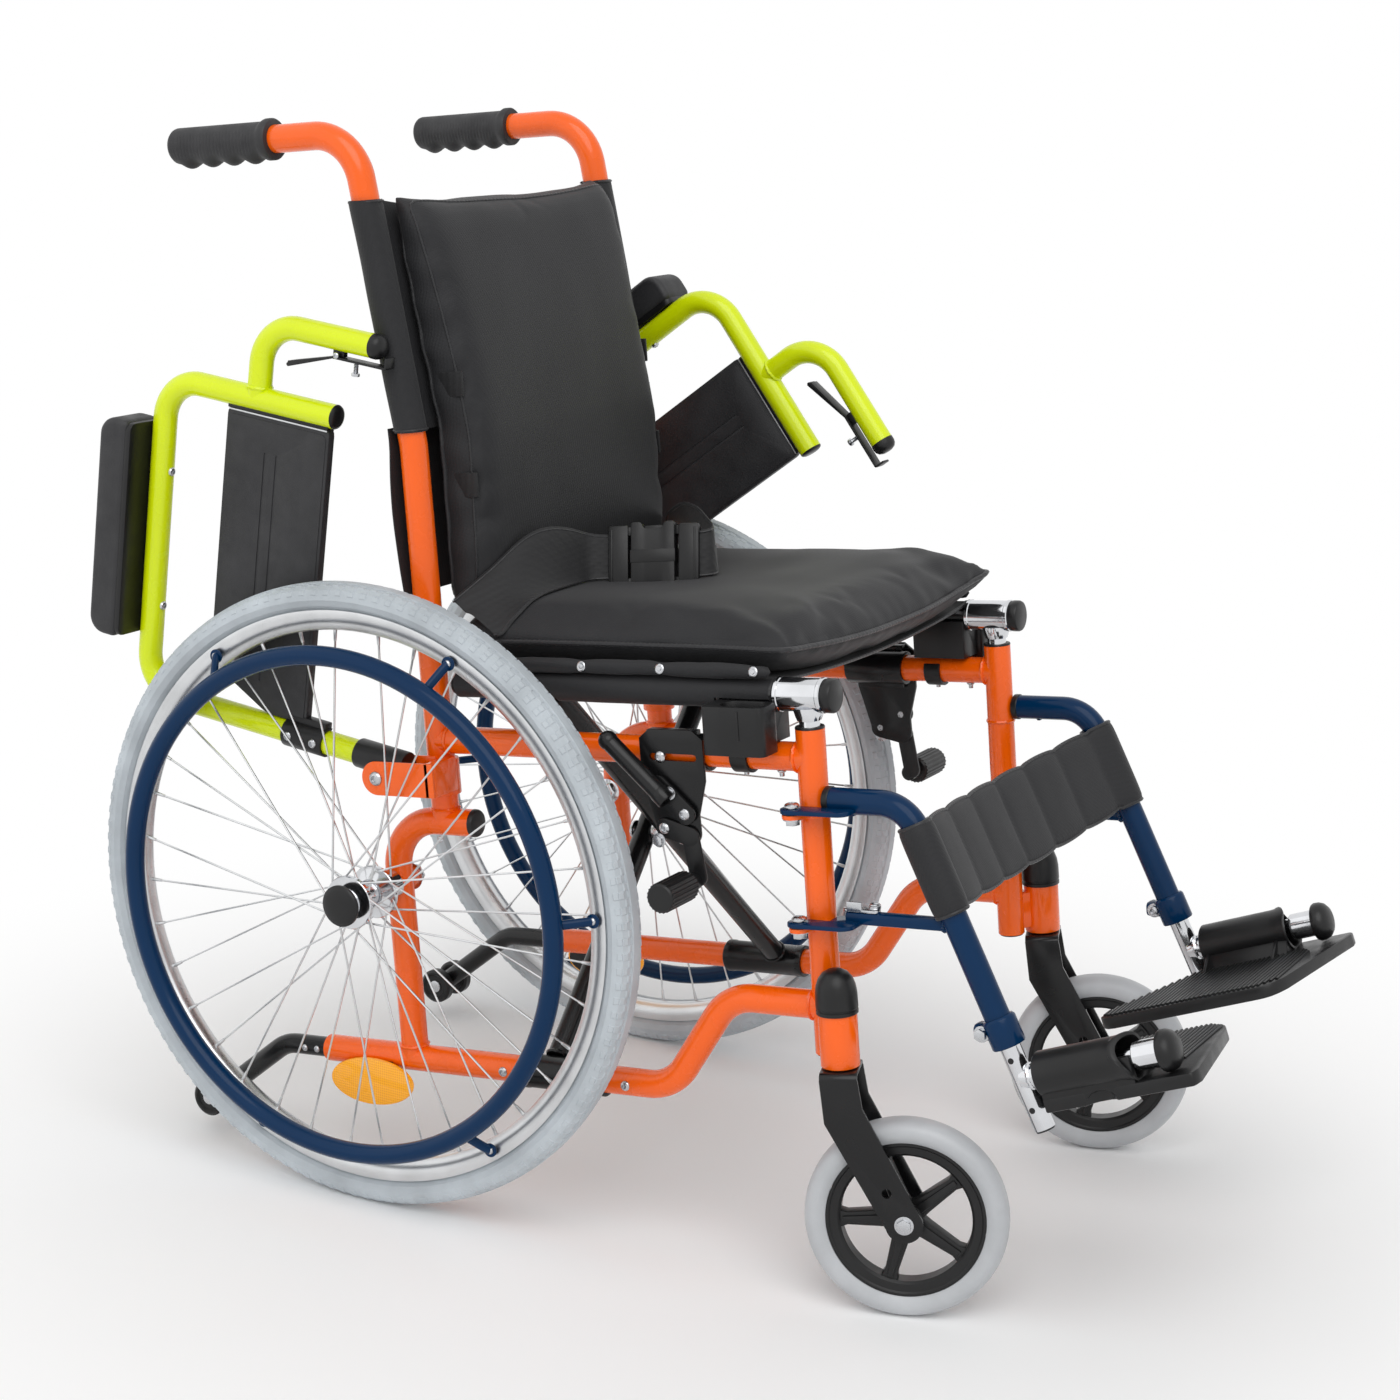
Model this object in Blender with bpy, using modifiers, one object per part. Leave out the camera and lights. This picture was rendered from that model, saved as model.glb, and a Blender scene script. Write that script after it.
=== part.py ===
"""Folding pediatric wheelchair, built from separate pieces on their own joint axes.

Metres, +Z up. The chair faces -Y and its left side is at +X. The side frames are
pitched nose-up, so most pieces are laid out in the chassis frame: its origin is
midway between the rear hubs, and a place is given as (out, ahead, up): outward from
the middle of the chair, forward along the rails, and square to the rails.
"""

import math

import bmesh
import bpy
from mathutils import Matrix, Vector

SIDES = {"right": -1, "left": 1}

# General fits
GAP = 0.0003
RUNNING_GAP = 0.0004
WELD = 0.00001
TUBE_SIDES = 8
BEND_STEP = math.radians(30)

# Stance
PITCH = math.radians(6.3)
FRAME_OUT = 0.192
FRAME_RADIUS = 0.0125

# Rear wheels
WHEEL_RADIUS = 0.2875
WHEEL_TO_FRAME = 0.0285
WHEEL_SIDES = 28
TYRE_WIDTH = 0.036
TYRE_DEPTH = 0.0292
RIM_DEPTH = 0.0135
RIM_WIDTH = 0.025
SPOKE_COUNT = 36
SPOKE_RADIUS = 0.0009
SPOKE_LACING = math.radians(50)
HUB_RADIUS = 0.014
HUB_FLANGE_RADIUS = 0.0225
HUB_FLANGE_OUT = 0.019
HUB_FLANGE_THICKNESS = 0.006
HUB_OUTER = 0.030
AXLE_RADIUS = 0.006
AXLE_NUT_RADIUS = 0.010
AXLE_NUT_LENGTH = 0.010
AXLE_CAP_RADIUS = 0.019
AXLE_CAP_DEPTH = 0.006
HANDRIM_RADIUS = 0.2286
HANDRIM_TUBE = 0.009
HANDRIM_OUT = 0.0402
HANDRIM_TABS = 6
TAB_RADIUS = 0.004

# Side frame
LOWER_UP = -0.169
LOWER_REAR = 0.098
LOWER_FRONT_UP = -0.0805
STEP_BEFORE_POST = 0.0947
STEP_RUN = 0.064
POST_BEFORE_TYRE = 0.1475
POST_TOP = 0.160
POST_BOTTOM = -0.122
RAIL_UP = 0.135
BACK_AHEAD = 0.058
BACK_BEND_UP = 0.40
HANDLE_UP = 0.673
HANDLE_AHEAD = 0.022
HANDLE_REAR = 0.170
AXLE_TUBE_UP = 0.059
AXLE_TUBE_FRONT = 0.088
FRAME_BEND = 0.047
RECEIVER_RADIUS = 0.011
RECEIVER_REACH = 0.0135
COLLAR_WALL = 0.0033
COLLAR_LOW = 0.085
COLLAR_HIGH = 0.118

# Push-handle grips
GRIP_LENGTH = 0.108
GRIP_RADIUS = 0.0162
GRIP_COLLAR_RADIUS = 0.0185
GRIP_COLLAR_LENGTH = 0.008
GRIP_END = 0.004
GRIP_WAVES = 4
GRIP_WAVE_DEPTH = 0.0045

# Anti-tip wheels
ANTI_TIP_RADIUS = 0.0095
ANTI_TIP_INSERT = 0.040
ANTI_TIP_BEND = 0.052
ANTI_TIP_AXLE_BACK = 0.236
ANTI_TIP_AXLE_UP = -0.227
ANTI_TIP_WHEEL_RADIUS = 0.018
ANTI_TIP_WHEEL_WIDTH = 0.012
ANTI_TIP_PIN = 0.003

# Casters
CASTER_RADIUS = 0.087
CASTER_WIDTH = 0.030
CASTER_TYRE_DEPTH = 0.0187
CASTER_SIDES = 20
CASTER_RIM_DEPTH = 0.012
CASTER_HUB_RADIUS = 0.0145
CASTER_HUB_WIDTH = 0.033
CASTER_SPOKES = 5
CASTER_TRAIL = 0.0484
CASTER_TURN = math.radians(19.5)
CASTER_OUT = 0.0245
CASTER_AHEAD = 0.022
HOUSING_RADIUS = 0.0167
HOUSING_LENGTH = 0.0465
HOUSING_CAP_RADIUS = 0.018
HOUSING_CAP_HEIGHT = 0.038
FORK_GAP = 0.0045
FORK_PLATE = 0.0035
FORK_WIDTH = 0.032
FORK_STEM = 0.006
CASTER_PIN = 0.004

# Seat tubes, cross brace and their guides
SEAT_TUBE_RADIUS = 0.0111
SEAT_TUBE_UP = 0.188
SEAT_TUBE_REAR = 0.085
BRACE_RADIUS = 0.0105
BRACE_AHEAD = 0.150
BRACE_SPACING = 0.029
BRACE_SLEEVE_WALL = 0.0035
BRACE_SLEEVE_LENGTH = 0.088
BRACE_BOLT = 0.005
GUIDE_STEM = 0.0088
GUIDE_STEM_LENGTH = 0.215
GUIDE_WALL = 0.0035
GUIDE_LENGTH = 0.044
GUIDE_BEHIND_POST = 0.027
SEAT_CAP_LENGTH = 0.010
SEAT_CAP_RADIUS = 0.0145
SADDLE_BEFORE_POST = 0.080
SADDLE_TOP = 0.184
PLUG_PROUD = 0.0002
SADDLE_WALL = 0.005
CATCH_PIN = 0.002

# Brakes
BRAKE_REACH = 0.0348
BRAKE_CLAMP_LENGTH = 0.062
BRAKE_PLATE = 0.003
LEVER_UP = 0.0854
LEVER_LENGTH = 0.092
LEVER_RADIUS = 0.0085
LEVER_REST = math.radians(43)
SHOE_PIVOT_BACK = 0.0229
SHOE_PIVOT_UP = 0.0714
SHOE_UP = 0.026
SHOE_AHEAD = 0.0027
SHOE_RADIUS = 0.0135
BRAKE_PIN = 0.003

# Armrests
ARM_OUT = 0.219
ARM_RADIUS = 0.0111
ARM_PIVOT_AHEAD = 0.0158
ARM_PIVOT_UP = 0.1064
ARM_REST = {"right": math.radians(77.8), "left": math.radians(31.5)}
ARM_REAR = 0.013
ARM_TOP = 0.2765
ARM_LEG_END = 0.087
ARM_BRANCH = 0.070
ARM_BRANCH_UP = 0.1725
ARM_BRANCH_END = 0.043
ARM_BEND = 0.038
ARM_SLEEVE_WALL = 0.0024
ARM_SLEEVE_LOW = -0.022
ARM_SLEEVE_HIGH = 0.031
ARM_TANG = 0.010
ARM_PIN = 0.004
EAR_THICKNESS = 0.0025
EAR_RADIUS = 0.0155
PAD_REAR = 0.065
PAD_BEFORE_LEG = 0.041
PAD_WIDTH = 0.046
PAD_OFFSET = 0.013
PAD_HEIGHT = 0.036
PANEL_LOW = 0.090
PANEL_HIGH = 0.203
PANEL_THICKNESS = 0.010
PANEL_CHAMFER = 0.034
CATCH_WIDTH = 0.012
CATCH_THICKNESS = 0.002
CATCH_PIVOT_UP = 0.088

# Legrests
LEG_OUT = 0.196
LEG_RADIUS = 0.0111
LEG_UP = 0.100
LEG_SLOPE = math.radians(22.4)
LEG_BEND = 0.035
LEG_BAR_HEIGHT = 0.0105
LEG_KNEE = 0.0967
LEG_DROP = 0.2153
LEG_COLLAR_RADIUS = 0.0145
LEG_COLLAR_LENGTH = 0.025
HINGE_OUT = 0.214
HINGE_BACK = 0.010
HINGE_PIN = 0.004
HINGE_PLATE = 0.004
LUG_RADIUS = 0.0090
LUG_UPPER = 0.0870
LUG_LOWER = -0.0105
LUG_THICKNESS = 0.004
LATCH_LENGTH = 0.024
FOOT_STEM_RADIUS = 0.009
FOOT_STEM_INSERT = 0.110
FOOT_STEM_END = 0.0733
SPIGOT_DROP = 0.0283
SPIGOT_RISE = math.radians(16)

# Footplates
BARREL_LENGTH = 0.0865
BARREL_RADIUS = 0.0195
FOOT_PIN_RADIUS = 0.0085
FOOT_PIN_TAIL = 0.0065
FOOT_SLEEVE_RADIUS = 0.012
FOOT_SLEEVE_LENGTH = 0.023
FOOT_CAP_RADIUS = 0.0175
FOOT_CAP_LENGTH = 0.015
SPIGOT_START = 0.0166
SLAB_DROP = 0.018
SLAB_THICKNESS = 0.0115
TREAD_HEIGHT = 0.0008
FOOT_WALL = 0.008
FOOT_OUTER = 0.0145
FOOT_INNER = 0.141
FOOT_FRONT = 0.137
FOOT_REAR = 0.062

# Soft parts
CLOTH = 0.003
SLEEVE_WALL = 0.002
CUSHION_REAR = 0.078
CUSHION_WIDTH = 0.400
CUSHION_SEAM_UP = 0.229
CUSHION_CROWN = 0.028
CUSHION_BELLY = 0.020
CUSHION_SAG = 0.010
BACK_LOW = 0.262
BACK_HIGH = 0.615
BACK_PAD_WIDTH = 0.330
BACK_PAD_CROWN = 0.034
BACK_PAD_CLEARANCE = 0.004
SLING_SAG = 0.017
STRAP_HEIGHT = 0.068
STRAP_CHANNELS = 7
STRAP_SAG = 0.030
BELT_WIDTH = 0.045
BELT_THICKNESS = 0.0025
BUCKLE_LENGTH = 0.085
BUCKLE_HEIGHT = 0.055
BUCKLE_THICKNESS = 0.018

# Places that follow from the sizes above
HUB_UP = WHEEL_RADIUS
WHEEL_OUT = FRAME_OUT + FRAME_RADIUS + WHEEL_TO_FRAME + TYRE_WIDTH / 2
POST_AHEAD = WHEEL_RADIUS + POST_BEFORE_TYRE
BEAD_RADIUS = WHEEL_RADIUS - TYRE_DEPTH
BRAKE_AHEAD = WHEEL_RADIUS + BRAKE_REACH
CASTER_BEAD = CASTER_RADIUS - CASTER_TYRE_DEPTH
SEAT_FRONT = POST_AHEAD + GUIDE_LENGTH - GUIDE_BEHIND_POST
SADDLE_FRONT = SEAT_FRONT - GUIDE_LENGTH - GAP
PLUG_AHEAD = SADDLE_FRONT - ARM_RADIUS + PLUG_PROUD
ARM_LEG = PLUG_AHEAD - ARM_PIVOT_AHEAD - ARM_BRANCH
PAD_FRONT = ARM_LEG - PAD_BEFORE_LEG

# Colours
ORANGE = ("orange paint", (1.0, 0.156, 0.026), 0.28, 0.0)
NAVY = ("navy paint", (0.004, 0.025, 0.075), 0.25, 0.0)
YELLOW = ("yellow paint", (0.75, 0.87, 0.013), 0.30, 0.0)
CHROME = ("chrome", (0.62, 0.63, 0.65), 0.12, 1.0)
SILVER = ("silver rim", (0.60, 0.61, 0.62), 0.30, 0.9)
TYRE_GREY = ("grey tyre", (0.42, 0.46, 0.49), 0.62, 0.0)
CASTER_GREY = ("light grey tyre", (0.52, 0.53, 0.54), 0.55, 0.0)
BLACK_PLASTIC = ("black plastic", (0.012, 0.012, 0.013), 0.42, 0.0)
BLACK_METAL = ("black metal", (0.010, 0.010, 0.011), 0.30, 0.2)
RUBBER = ("black rubber", (0.020, 0.020, 0.022), 0.65, 0.0)
NYLON = ("black nylon", (0.018, 0.018, 0.020), 0.80, 0.0)


def clear_scene():
    """Removes whatever the file opened with."""
    for thing in list(bpy.data.objects):
        bpy.data.objects.remove(thing, do_unlink=True)


def material(look):
    """The Principled material of a colour entry, made once."""
    name, colour, roughness, metallic = look
    found = bpy.data.materials.get(name)
    if found:
        return found
    made = bpy.data.materials.new(name)
    made.use_nodes = True
    shader = made.node_tree.nodes["Principled BSDF"]
    shader.inputs["Base Color"].default_value = (*colour, 1.0)
    shader.inputs["Roughness"].default_value = roughness
    shader.inputs["Metallic"].default_value = metallic
    made.diffuse_color = (*colour, 1.0)
    return made


def around(radius, sides=TUBE_SIDES, gap=RUNNING_GAP):
    """Radius of a bore whose flats clear a round piece of the given radius."""
    return (radius + gap) / math.cos(math.pi / sides)


def at(side, out, ahead, up):
    """A chassis-frame point of one side."""
    return Vector((side * out, -ahead, up))


def line(side, out, *places):
    """Chassis-frame points in the plane of a side frame."""
    return [at(side, out, ahead, up) for ahead, up in places]


def linked(data):
    """A new object of this data, in the collection where pieces are made."""
    piece = bpy.data.objects.new(data.name, data)
    bpy.data.collections["bench"].objects.link(piece)
    return piece


def face_outward(form):
    """Points every face of a closed form outward."""
    bmesh.ops.recalc_face_normals(form, faces=form.faces)
    if form.calc_volume(signed=True) < 0:
        bmesh.ops.reverse_faces(form, faces=form.faces)


def baked(source, weld=WELD):
    """Turns a curve or a mesh with modifiers into one plain welded mesh."""
    bpy.context.view_layer.update()
    depsgraph = bpy.context.evaluated_depsgraph_get()
    mesh = bpy.data.meshes.new_from_object(source.evaluated_get(depsgraph))
    mesh.transform(source.matrix_world)
    form = bmesh.new()
    form.from_mesh(mesh)
    bmesh.ops.remove_doubles(form, verts=form.verts, dist=weld)
    face_outward(form)
    form.to_mesh(mesh)
    form.free()
    bpy.data.objects.remove(source, do_unlink=True)
    return linked(mesh)


def poured(form, name="form"):
    """An object made from a bmesh, with its faces pointing out."""
    face_outward(form)
    mesh = bpy.data.meshes.new(name)
    form.to_mesh(mesh)
    form.free()
    return linked(mesh)


def box(low, high):
    """A box between two corners."""
    form = bmesh.new()
    low, high = Vector(low), Vector(high)
    size = Vector([abs(value) for value in high - low])
    place = Matrix.Translation((low + high) / 2) @ Matrix.Diagonal((*size, 1))
    bmesh.ops.create_cube(form, size=1, matrix=place)
    return poured(form)


def side_box(side, out, ahead, up):
    """A box of one side, from its ranges outward, forward and up."""
    return box(at(side, out[0], ahead[0], up[0]), at(side, out[1], ahead[1], up[1]))


def toward(start, end):
    """Matrix that stands the Z axis on the line between two points, centred on it."""
    run = Vector(end) - Vector(start)
    turn = run.to_track_quat("Z", "Y").to_matrix().to_4x4()
    return Matrix.Translation((Vector(start) + Vector(end)) / 2) @ turn


def rod(start, end, radius, sides=TUBE_SIDES, end_radius=None):
    """A round bar, or a cone where the second radius differs."""
    form = bmesh.new()
    bmesh.ops.create_cone(
        form,
        cap_ends=True,
        segments=sides,
        radius1=radius,
        radius2=radius if end_radius is None else end_radius,
        depth=(Vector(end) - Vector(start)).length,
        matrix=toward(start, end),
    )
    return poured(form)


def rounded(corners, bend):
    """A route whose inner corners are replaced by arcs."""
    route = [corners[0]]
    for before, corner, after in zip(corners, corners[1:], corners[2:]):
        arriving = (corner - before).normalized()
        leaving = (after - corner).normalized()
        turn = arriving.angle(leaving)
        axis = arriving.cross(leaving).normalized()
        start = corner - arriving * bend * math.tan(turn / 2)
        centre = start + axis.cross(arriving) * bend
        steps = max(1, round(turn / BEND_STEP))
        for step in range(steps + 1):
            swing = Matrix.Rotation(turn * step / steps, 3, axis)
            route.append(centre + swing @ (start - centre))
    route.append(corners[-1])
    return route


def tube(route, radius, sides=TUBE_SIDES):
    """A round tube along a route, closed at both ends."""
    curve = bpy.data.curves.new("route", "CURVE")
    curve.dimensions = "3D"
    curve.bevel_depth = radius
    curve.bevel_resolution = (sides - 4) // 2
    curve.use_fill_caps = True
    spline = curve.splines.new("POLY")
    spline.points.add(len(route) - 1)
    for knot, point in zip(spline.points, route):
        knot.co = (*point, 1)
    return baked(linked(curve))


def plate(outlines, thickness, place):
    """A flat piece: an outline and any holes in the XY plane of a placing matrix."""
    curve = bpy.data.curves.new("outline", "CURVE")
    curve.dimensions = "2D"
    curve.fill_mode = "BOTH"
    curve.extrude = thickness / 2
    for outline in outlines:
        spline = curve.splines.new("POLY")
        spline.points.add(len(outline) - 1)
        spline.use_cyclic_u = True
        for knot, point in zip(spline.points, outline):
            knot.co = (point[0], point[1], 0, 1)
    piece = linked(curve)
    piece.matrix_world = place
    return baked(piece)


def side_plane(side, out):
    """Places an (ahead, up) outline in a plane parallel to a side frame."""
    turn = Matrix(((0, 0, -1), (-1, 0, 0), (0, 1, 0))).to_4x4()
    return Matrix.Translation((side * out, 0, 0)) @ turn


def deck_plane(side, up):
    """Places an (out, ahead) outline in a plane square to the posts."""
    turn = Matrix(((side, 0, 0), (0, -1, 0), (0, 0, -side))).to_4x4()
    return Matrix.Translation((0, 0, up)) @ turn


def arc(centre, radius, start, end, steps):
    """Points along an arc, with its angles in degrees."""
    points = []
    for step in range(steps + 1):
        angle = math.radians(start + (end - start) * step / steps)
        points.append((centre[0] + radius * math.cos(angle), centre[1] + radius * math.sin(angle)))
    return points


def bar(start, end, width, round_start=True):
    """Outline of a flat bar between two points, with one or both ends round."""
    run = Vector(end) - Vector(start)
    heading = math.degrees(math.atan2(run.y, run.x))
    outline = arc(end, width / 2, heading - 90, heading + 90, 4)
    if round_start:
        outline += arc(start, width / 2, heading + 90, heading + 270, 4)
    else:
        square = Vector((-run.y, run.x)).normalized() * width / 2
        outline += [tuple(Vector(start) + square), tuple(Vector(start) - square)]
    return outline


def turned(profile, sides, closed=True):
    """A turned solid about Z, from (radius, height) points down its outer side."""
    form = bmesh.new()
    points = [form.verts.new((radius, 0, height)) for radius, height in profile]
    for first, second in zip(points, points[1:]):
        form.edges.new((first, second))
    if closed:
        form.edges.new((points[-1], points[0]))
    mesh = bpy.data.meshes.new("profile")
    form.to_mesh(mesh)
    form.free()
    piece = linked(mesh)
    screw = piece.modifiers.new("turned", "SCREW")
    screw.axis = "Z"
    screw.steps = sides
    screw.render_steps = sides
    screw.use_merge_vertices = True
    screw.merge_threshold = WELD
    return baked(piece)


def mirrored_profile(half):
    """A profile and its reflection in the plane of the wheel."""
    return half + [(radius, -height) for radius, height in reversed(half)]


def moved(piece, place):
    """Moves a piece's mesh by a matrix."""
    piece.data.transform(place)
    return piece


def combined(piece, others, operation):
    """Adds other solids to a piece or cuts them from it, one after another."""
    for other in others:
        step = piece.modifiers.new(operation.lower(), "BOOLEAN")
        step.operation = operation
        step.solver = "EXACT"
        step.object = other
    result = baked(piece, weld=WELD / 10)
    for other in others:
        bpy.data.objects.remove(other, do_unlink=True)
    return result


def joined(first, *others):
    return combined(first, others, "UNION")


def cut(piece, *cutters):
    return combined(piece, cutters, "DIFFERENCE")


def pivot(name, parent, origin, axis=(0, 0, 1)):
    """An empty at a joint, with its Z axis along the joint's axis."""
    empty = bpy.data.objects.new(name, None)
    empty.empty_display_size = 0.02
    bpy.data.collections["wheelchair"].objects.link(empty)
    empty.parent = parent
    turn = Vector((0, 0, 1)).rotation_difference(Vector(axis)).to_matrix().to_4x4()
    empty.matrix_local = Matrix.Translation(origin) @ turn
    bpy.context.view_layer.update()
    return empty


def fitted(name, piece, look, parent, frame, smooth=35):
    """Names a piece and hangs it on its pivot, its mesh read in the given frame."""
    piece.name = name
    piece.data.name = name
    piece.data.materials.clear()
    piece.data.materials.append(material(look))
    piece.data.shade_smooth()
    piece.data.set_sharp_from_angle(angle=math.radians(smooth))
    bpy.data.collections["bench"].objects.unlink(piece)
    bpy.data.collections["wheelchair"].objects.link(piece)
    piece.parent = parent
    piece.matrix_world = frame
    return piece


def copied(name, piece, parent, frame):
    """Another piece with the same mesh."""
    twin = bpy.data.objects.new(name, piece.data)
    bpy.data.collections["wheelchair"].objects.link(twin)
    twin.parent = parent
    twin.matrix_world = frame
    return twin


def back_post_ahead(up):
    """How far ahead of the hub the back post's axis is at a height."""
    lean = (BACK_AHEAD - HANDLE_AHEAD) / (HANDLE_UP - BACK_BEND_UP)
    return BACK_AHEAD - max(0.0, up - BACK_BEND_UP) * lean


def side_frame(side):
    """The welded frame of one side, with its bores cut."""
    step_end = POST_AHEAD - STEP_BEFORE_POST
    lower = line(
        side,
        FRAME_OUT,
        (-LOWER_REAR, LOWER_UP),
        (step_end - STEP_RUN, LOWER_UP),
        (step_end, LOWER_FRONT_UP),
        (POST_AHEAD, LOWER_FRONT_UP),
    )
    axle_tube = line(side, FRAME_OUT, (0, LOWER_UP), (0, AXLE_TUBE_UP), (AXLE_TUBE_FRONT, AXLE_TUBE_UP))
    back = line(
        side,
        FRAME_OUT,
        (BACK_AHEAD, AXLE_TUBE_UP),
        (BACK_AHEAD, BACK_BEND_UP),
        (HANDLE_AHEAD, HANDLE_UP),
        (-HANDLE_REAR, HANDLE_UP),
    )
    housing_out = FRAME_OUT + CASTER_OUT
    housing_ahead = POST_AHEAD + CASTER_AHEAD
    housing_low = POST_BOTTOM - 0.0015
    housing_top = housing_low + HOUSING_LENGTH
    hinge_ahead = POST_AHEAD - HINGE_BACK
    ear_reach = BACK_AHEAD + FRAME_RADIUS + COLLAR_WALL + 0.004
    pivot_place = (ARM_PIVOT_AHEAD, ARM_PIVOT_UP)
    inner_ear = ARM_OUT - ARM_RADIUS - ARM_SLEEVE_WALL - 0.0005 - EAR_THICKNESS / 2
    outer_ear = 2 * ARM_OUT - inner_ear
    parts = [
        tube(rounded(axle_tube, FRAME_BEND), FRAME_RADIUS),
        tube(rounded(back, FRAME_BEND), FRAME_RADIUS),
        rod(*line(side, FRAME_OUT, (POST_AHEAD, POST_BOTTOM), (POST_AHEAD, POST_TOP)), FRAME_RADIUS + 0.0001, 10),
        rod(*line(side, FRAME_OUT, (BACK_AHEAD, RAIL_UP), (POST_AHEAD, RAIL_UP)), FRAME_RADIUS - 0.0001),
        rod(
            *line(side, FRAME_OUT, (BACK_AHEAD, COLLAR_LOW), (BACK_AHEAD, COLLAR_HIGH)),
            FRAME_RADIUS + COLLAR_WALL,
        ),
        rod(
            at(side, FRAME_OUT - FRAME_RADIUS - 0.0035, 0, 0),
            at(side, FRAME_OUT + RECEIVER_REACH, 0, 0),
            RECEIVER_RADIUS,
            10,
        ),
        plate(
            [bar((BACK_AHEAD + 0.003, ARM_PIVOT_UP), pivot_place, 2 * EAR_RADIUS, False)],
            EAR_THICKNESS,
            side_plane(side, inner_ear),
        ),
        plate(
            [bar((ear_reach, ARM_PIVOT_UP), pivot_place, 2 * EAR_RADIUS, False)],
            EAR_THICKNESS,
            side_plane(side, outer_ear),
        ),
        side_box(
            side,
            (FRAME_OUT + FRAME_RADIUS / 2, outer_ear + EAR_THICKNESS / 2),
            (ear_reach - 0.009, ear_reach + 0.0001),
            (ARM_PIVOT_UP - EAR_RADIUS + 0.0002, ARM_PIVOT_UP + EAR_RADIUS - 0.0002),
        ),
        rod(at(side, inner_ear, *pivot_place), at(side, outer_ear, *pivot_place), ARM_PIN, 8),
        plate(
            [bar((FRAME_OUT, POST_AHEAD), (housing_out, housing_ahead), 0.014, False)],
            HOUSING_LENGTH - 0.012,
            deck_plane(side, housing_low + HOUSING_LENGTH / 2),
        ),
        rod(
            at(side, housing_out, housing_ahead, housing_low),
            at(side, housing_out, housing_ahead, housing_top),
            HOUSING_RADIUS,
            12,
        ),
        moved(
            turned(
                [
                    (0, HOUSING_CAP_HEIGHT),
                    (HOUSING_CAP_RADIUS * 0.55, HOUSING_CAP_HEIGHT * 0.95),
                    (HOUSING_CAP_RADIUS * 0.88, HOUSING_CAP_HEIGHT * 0.72),
                    (HOUSING_CAP_RADIUS, HOUSING_CAP_HEIGHT * 0.45),
                    (HOUSING_CAP_RADIUS, 0),
                    (0, 0),
                ],
                12,
                closed=False,
            ),
            Matrix.Translation(at(side, housing_out, housing_ahead, housing_top - 0.0005)),
        ),
    ]
    for lug_up in (LUG_UPPER, LUG_LOWER):
        parts.append(
            plate(
                [bar((FRAME_OUT, POST_AHEAD), (HINGE_OUT, hinge_ahead), 2 * LUG_RADIUS, False)],
                LUG_THICKNESS,
                deck_plane(side, lug_up + LUG_THICKNESS / 2),
            )
        )
        parts.append(
            rod(
                at(side, HINGE_OUT, hinge_ahead, lug_up + LUG_THICKNESS / 2),
                at(side, HINGE_OUT, hinge_ahead, lug_up + LUG_THICKNESS + HINGE_PLATE + 0.004),
                HINGE_PIN,
                8,
            )
        )
    frame = joined(tube(rounded(lower, FRAME_BEND), FRAME_RADIUS), *parts)
    stem_low = SEAT_TUBE_UP - GUIDE_STEM_LENGTH - 0.004
    return cut(
        frame,
        rod(
            *line(side, FRAME_OUT, (POST_AHEAD, stem_low), (POST_AHEAD, POST_TOP + 0.01)),
            around(GUIDE_STEM, 10),
            10,
        ),
        rod(
            *line(side, FRAME_OUT, (-LOWER_REAR - 0.01, LOWER_UP), (-LOWER_REAR + ANTI_TIP_INSERT + 0.001, LOWER_UP)),
            around(ANTI_TIP_RADIUS),
        ),
        rod(at(side, FRAME_OUT - 0.03, 0, 0), at(side, FRAME_OUT + 0.03, 0, 0), around(AXLE_RADIUS)),
        rod(
            at(side, housing_out, housing_ahead, housing_low - 0.01),
            at(side, housing_out, housing_ahead, housing_top - 0.006),
            around(FORK_STEM),
        ),
    )


def grip(side):
    """A rubber grip, blind at the rear, with finger waves underneath."""
    rings = 2 * GRIP_WAVES
    start = GRIP_LENGTH - GRIP_COLLAR_LENGTH - 0.004
    bore = around(FRAME_RADIUS)
    profile = [(0, -GAP), (bore, -GAP), (bore, GRIP_LENGTH), (GRIP_COLLAR_RADIUS, GRIP_LENGTH)]
    profile.append((GRIP_COLLAR_RADIUS, GRIP_LENGTH - GRIP_COLLAR_LENGTH))
    for ring in range(rings + 1):
        profile.append((GRIP_RADIUS, start * (1 - ring / rings)))
    profile += [(GRIP_RADIUS * 0.7, -GRIP_END), (0, -GRIP_END - 0.001)]
    piece = turned(profile, TUBE_SIDES, closed=False)
    for point in piece.data.vertices:
        if point.co.y < -0.006 and 0 < point.co.z < start and point.co.xy.length > bore + 0.0005:
            wave = 0.5 - 0.5 * math.cos(2 * math.pi * GRIP_WAVES * point.co.z / start)
            point.co.y += wave * GRIP_WAVE_DEPTH * point.co.y / GRIP_RADIUS
    turn = Matrix.Rotation(math.radians(90), 4, "X")
    return moved(piece, Matrix.Translation(at(side, FRAME_OUT, -HANDLE_REAR, HANDLE_UP)) @ turn)


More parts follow.
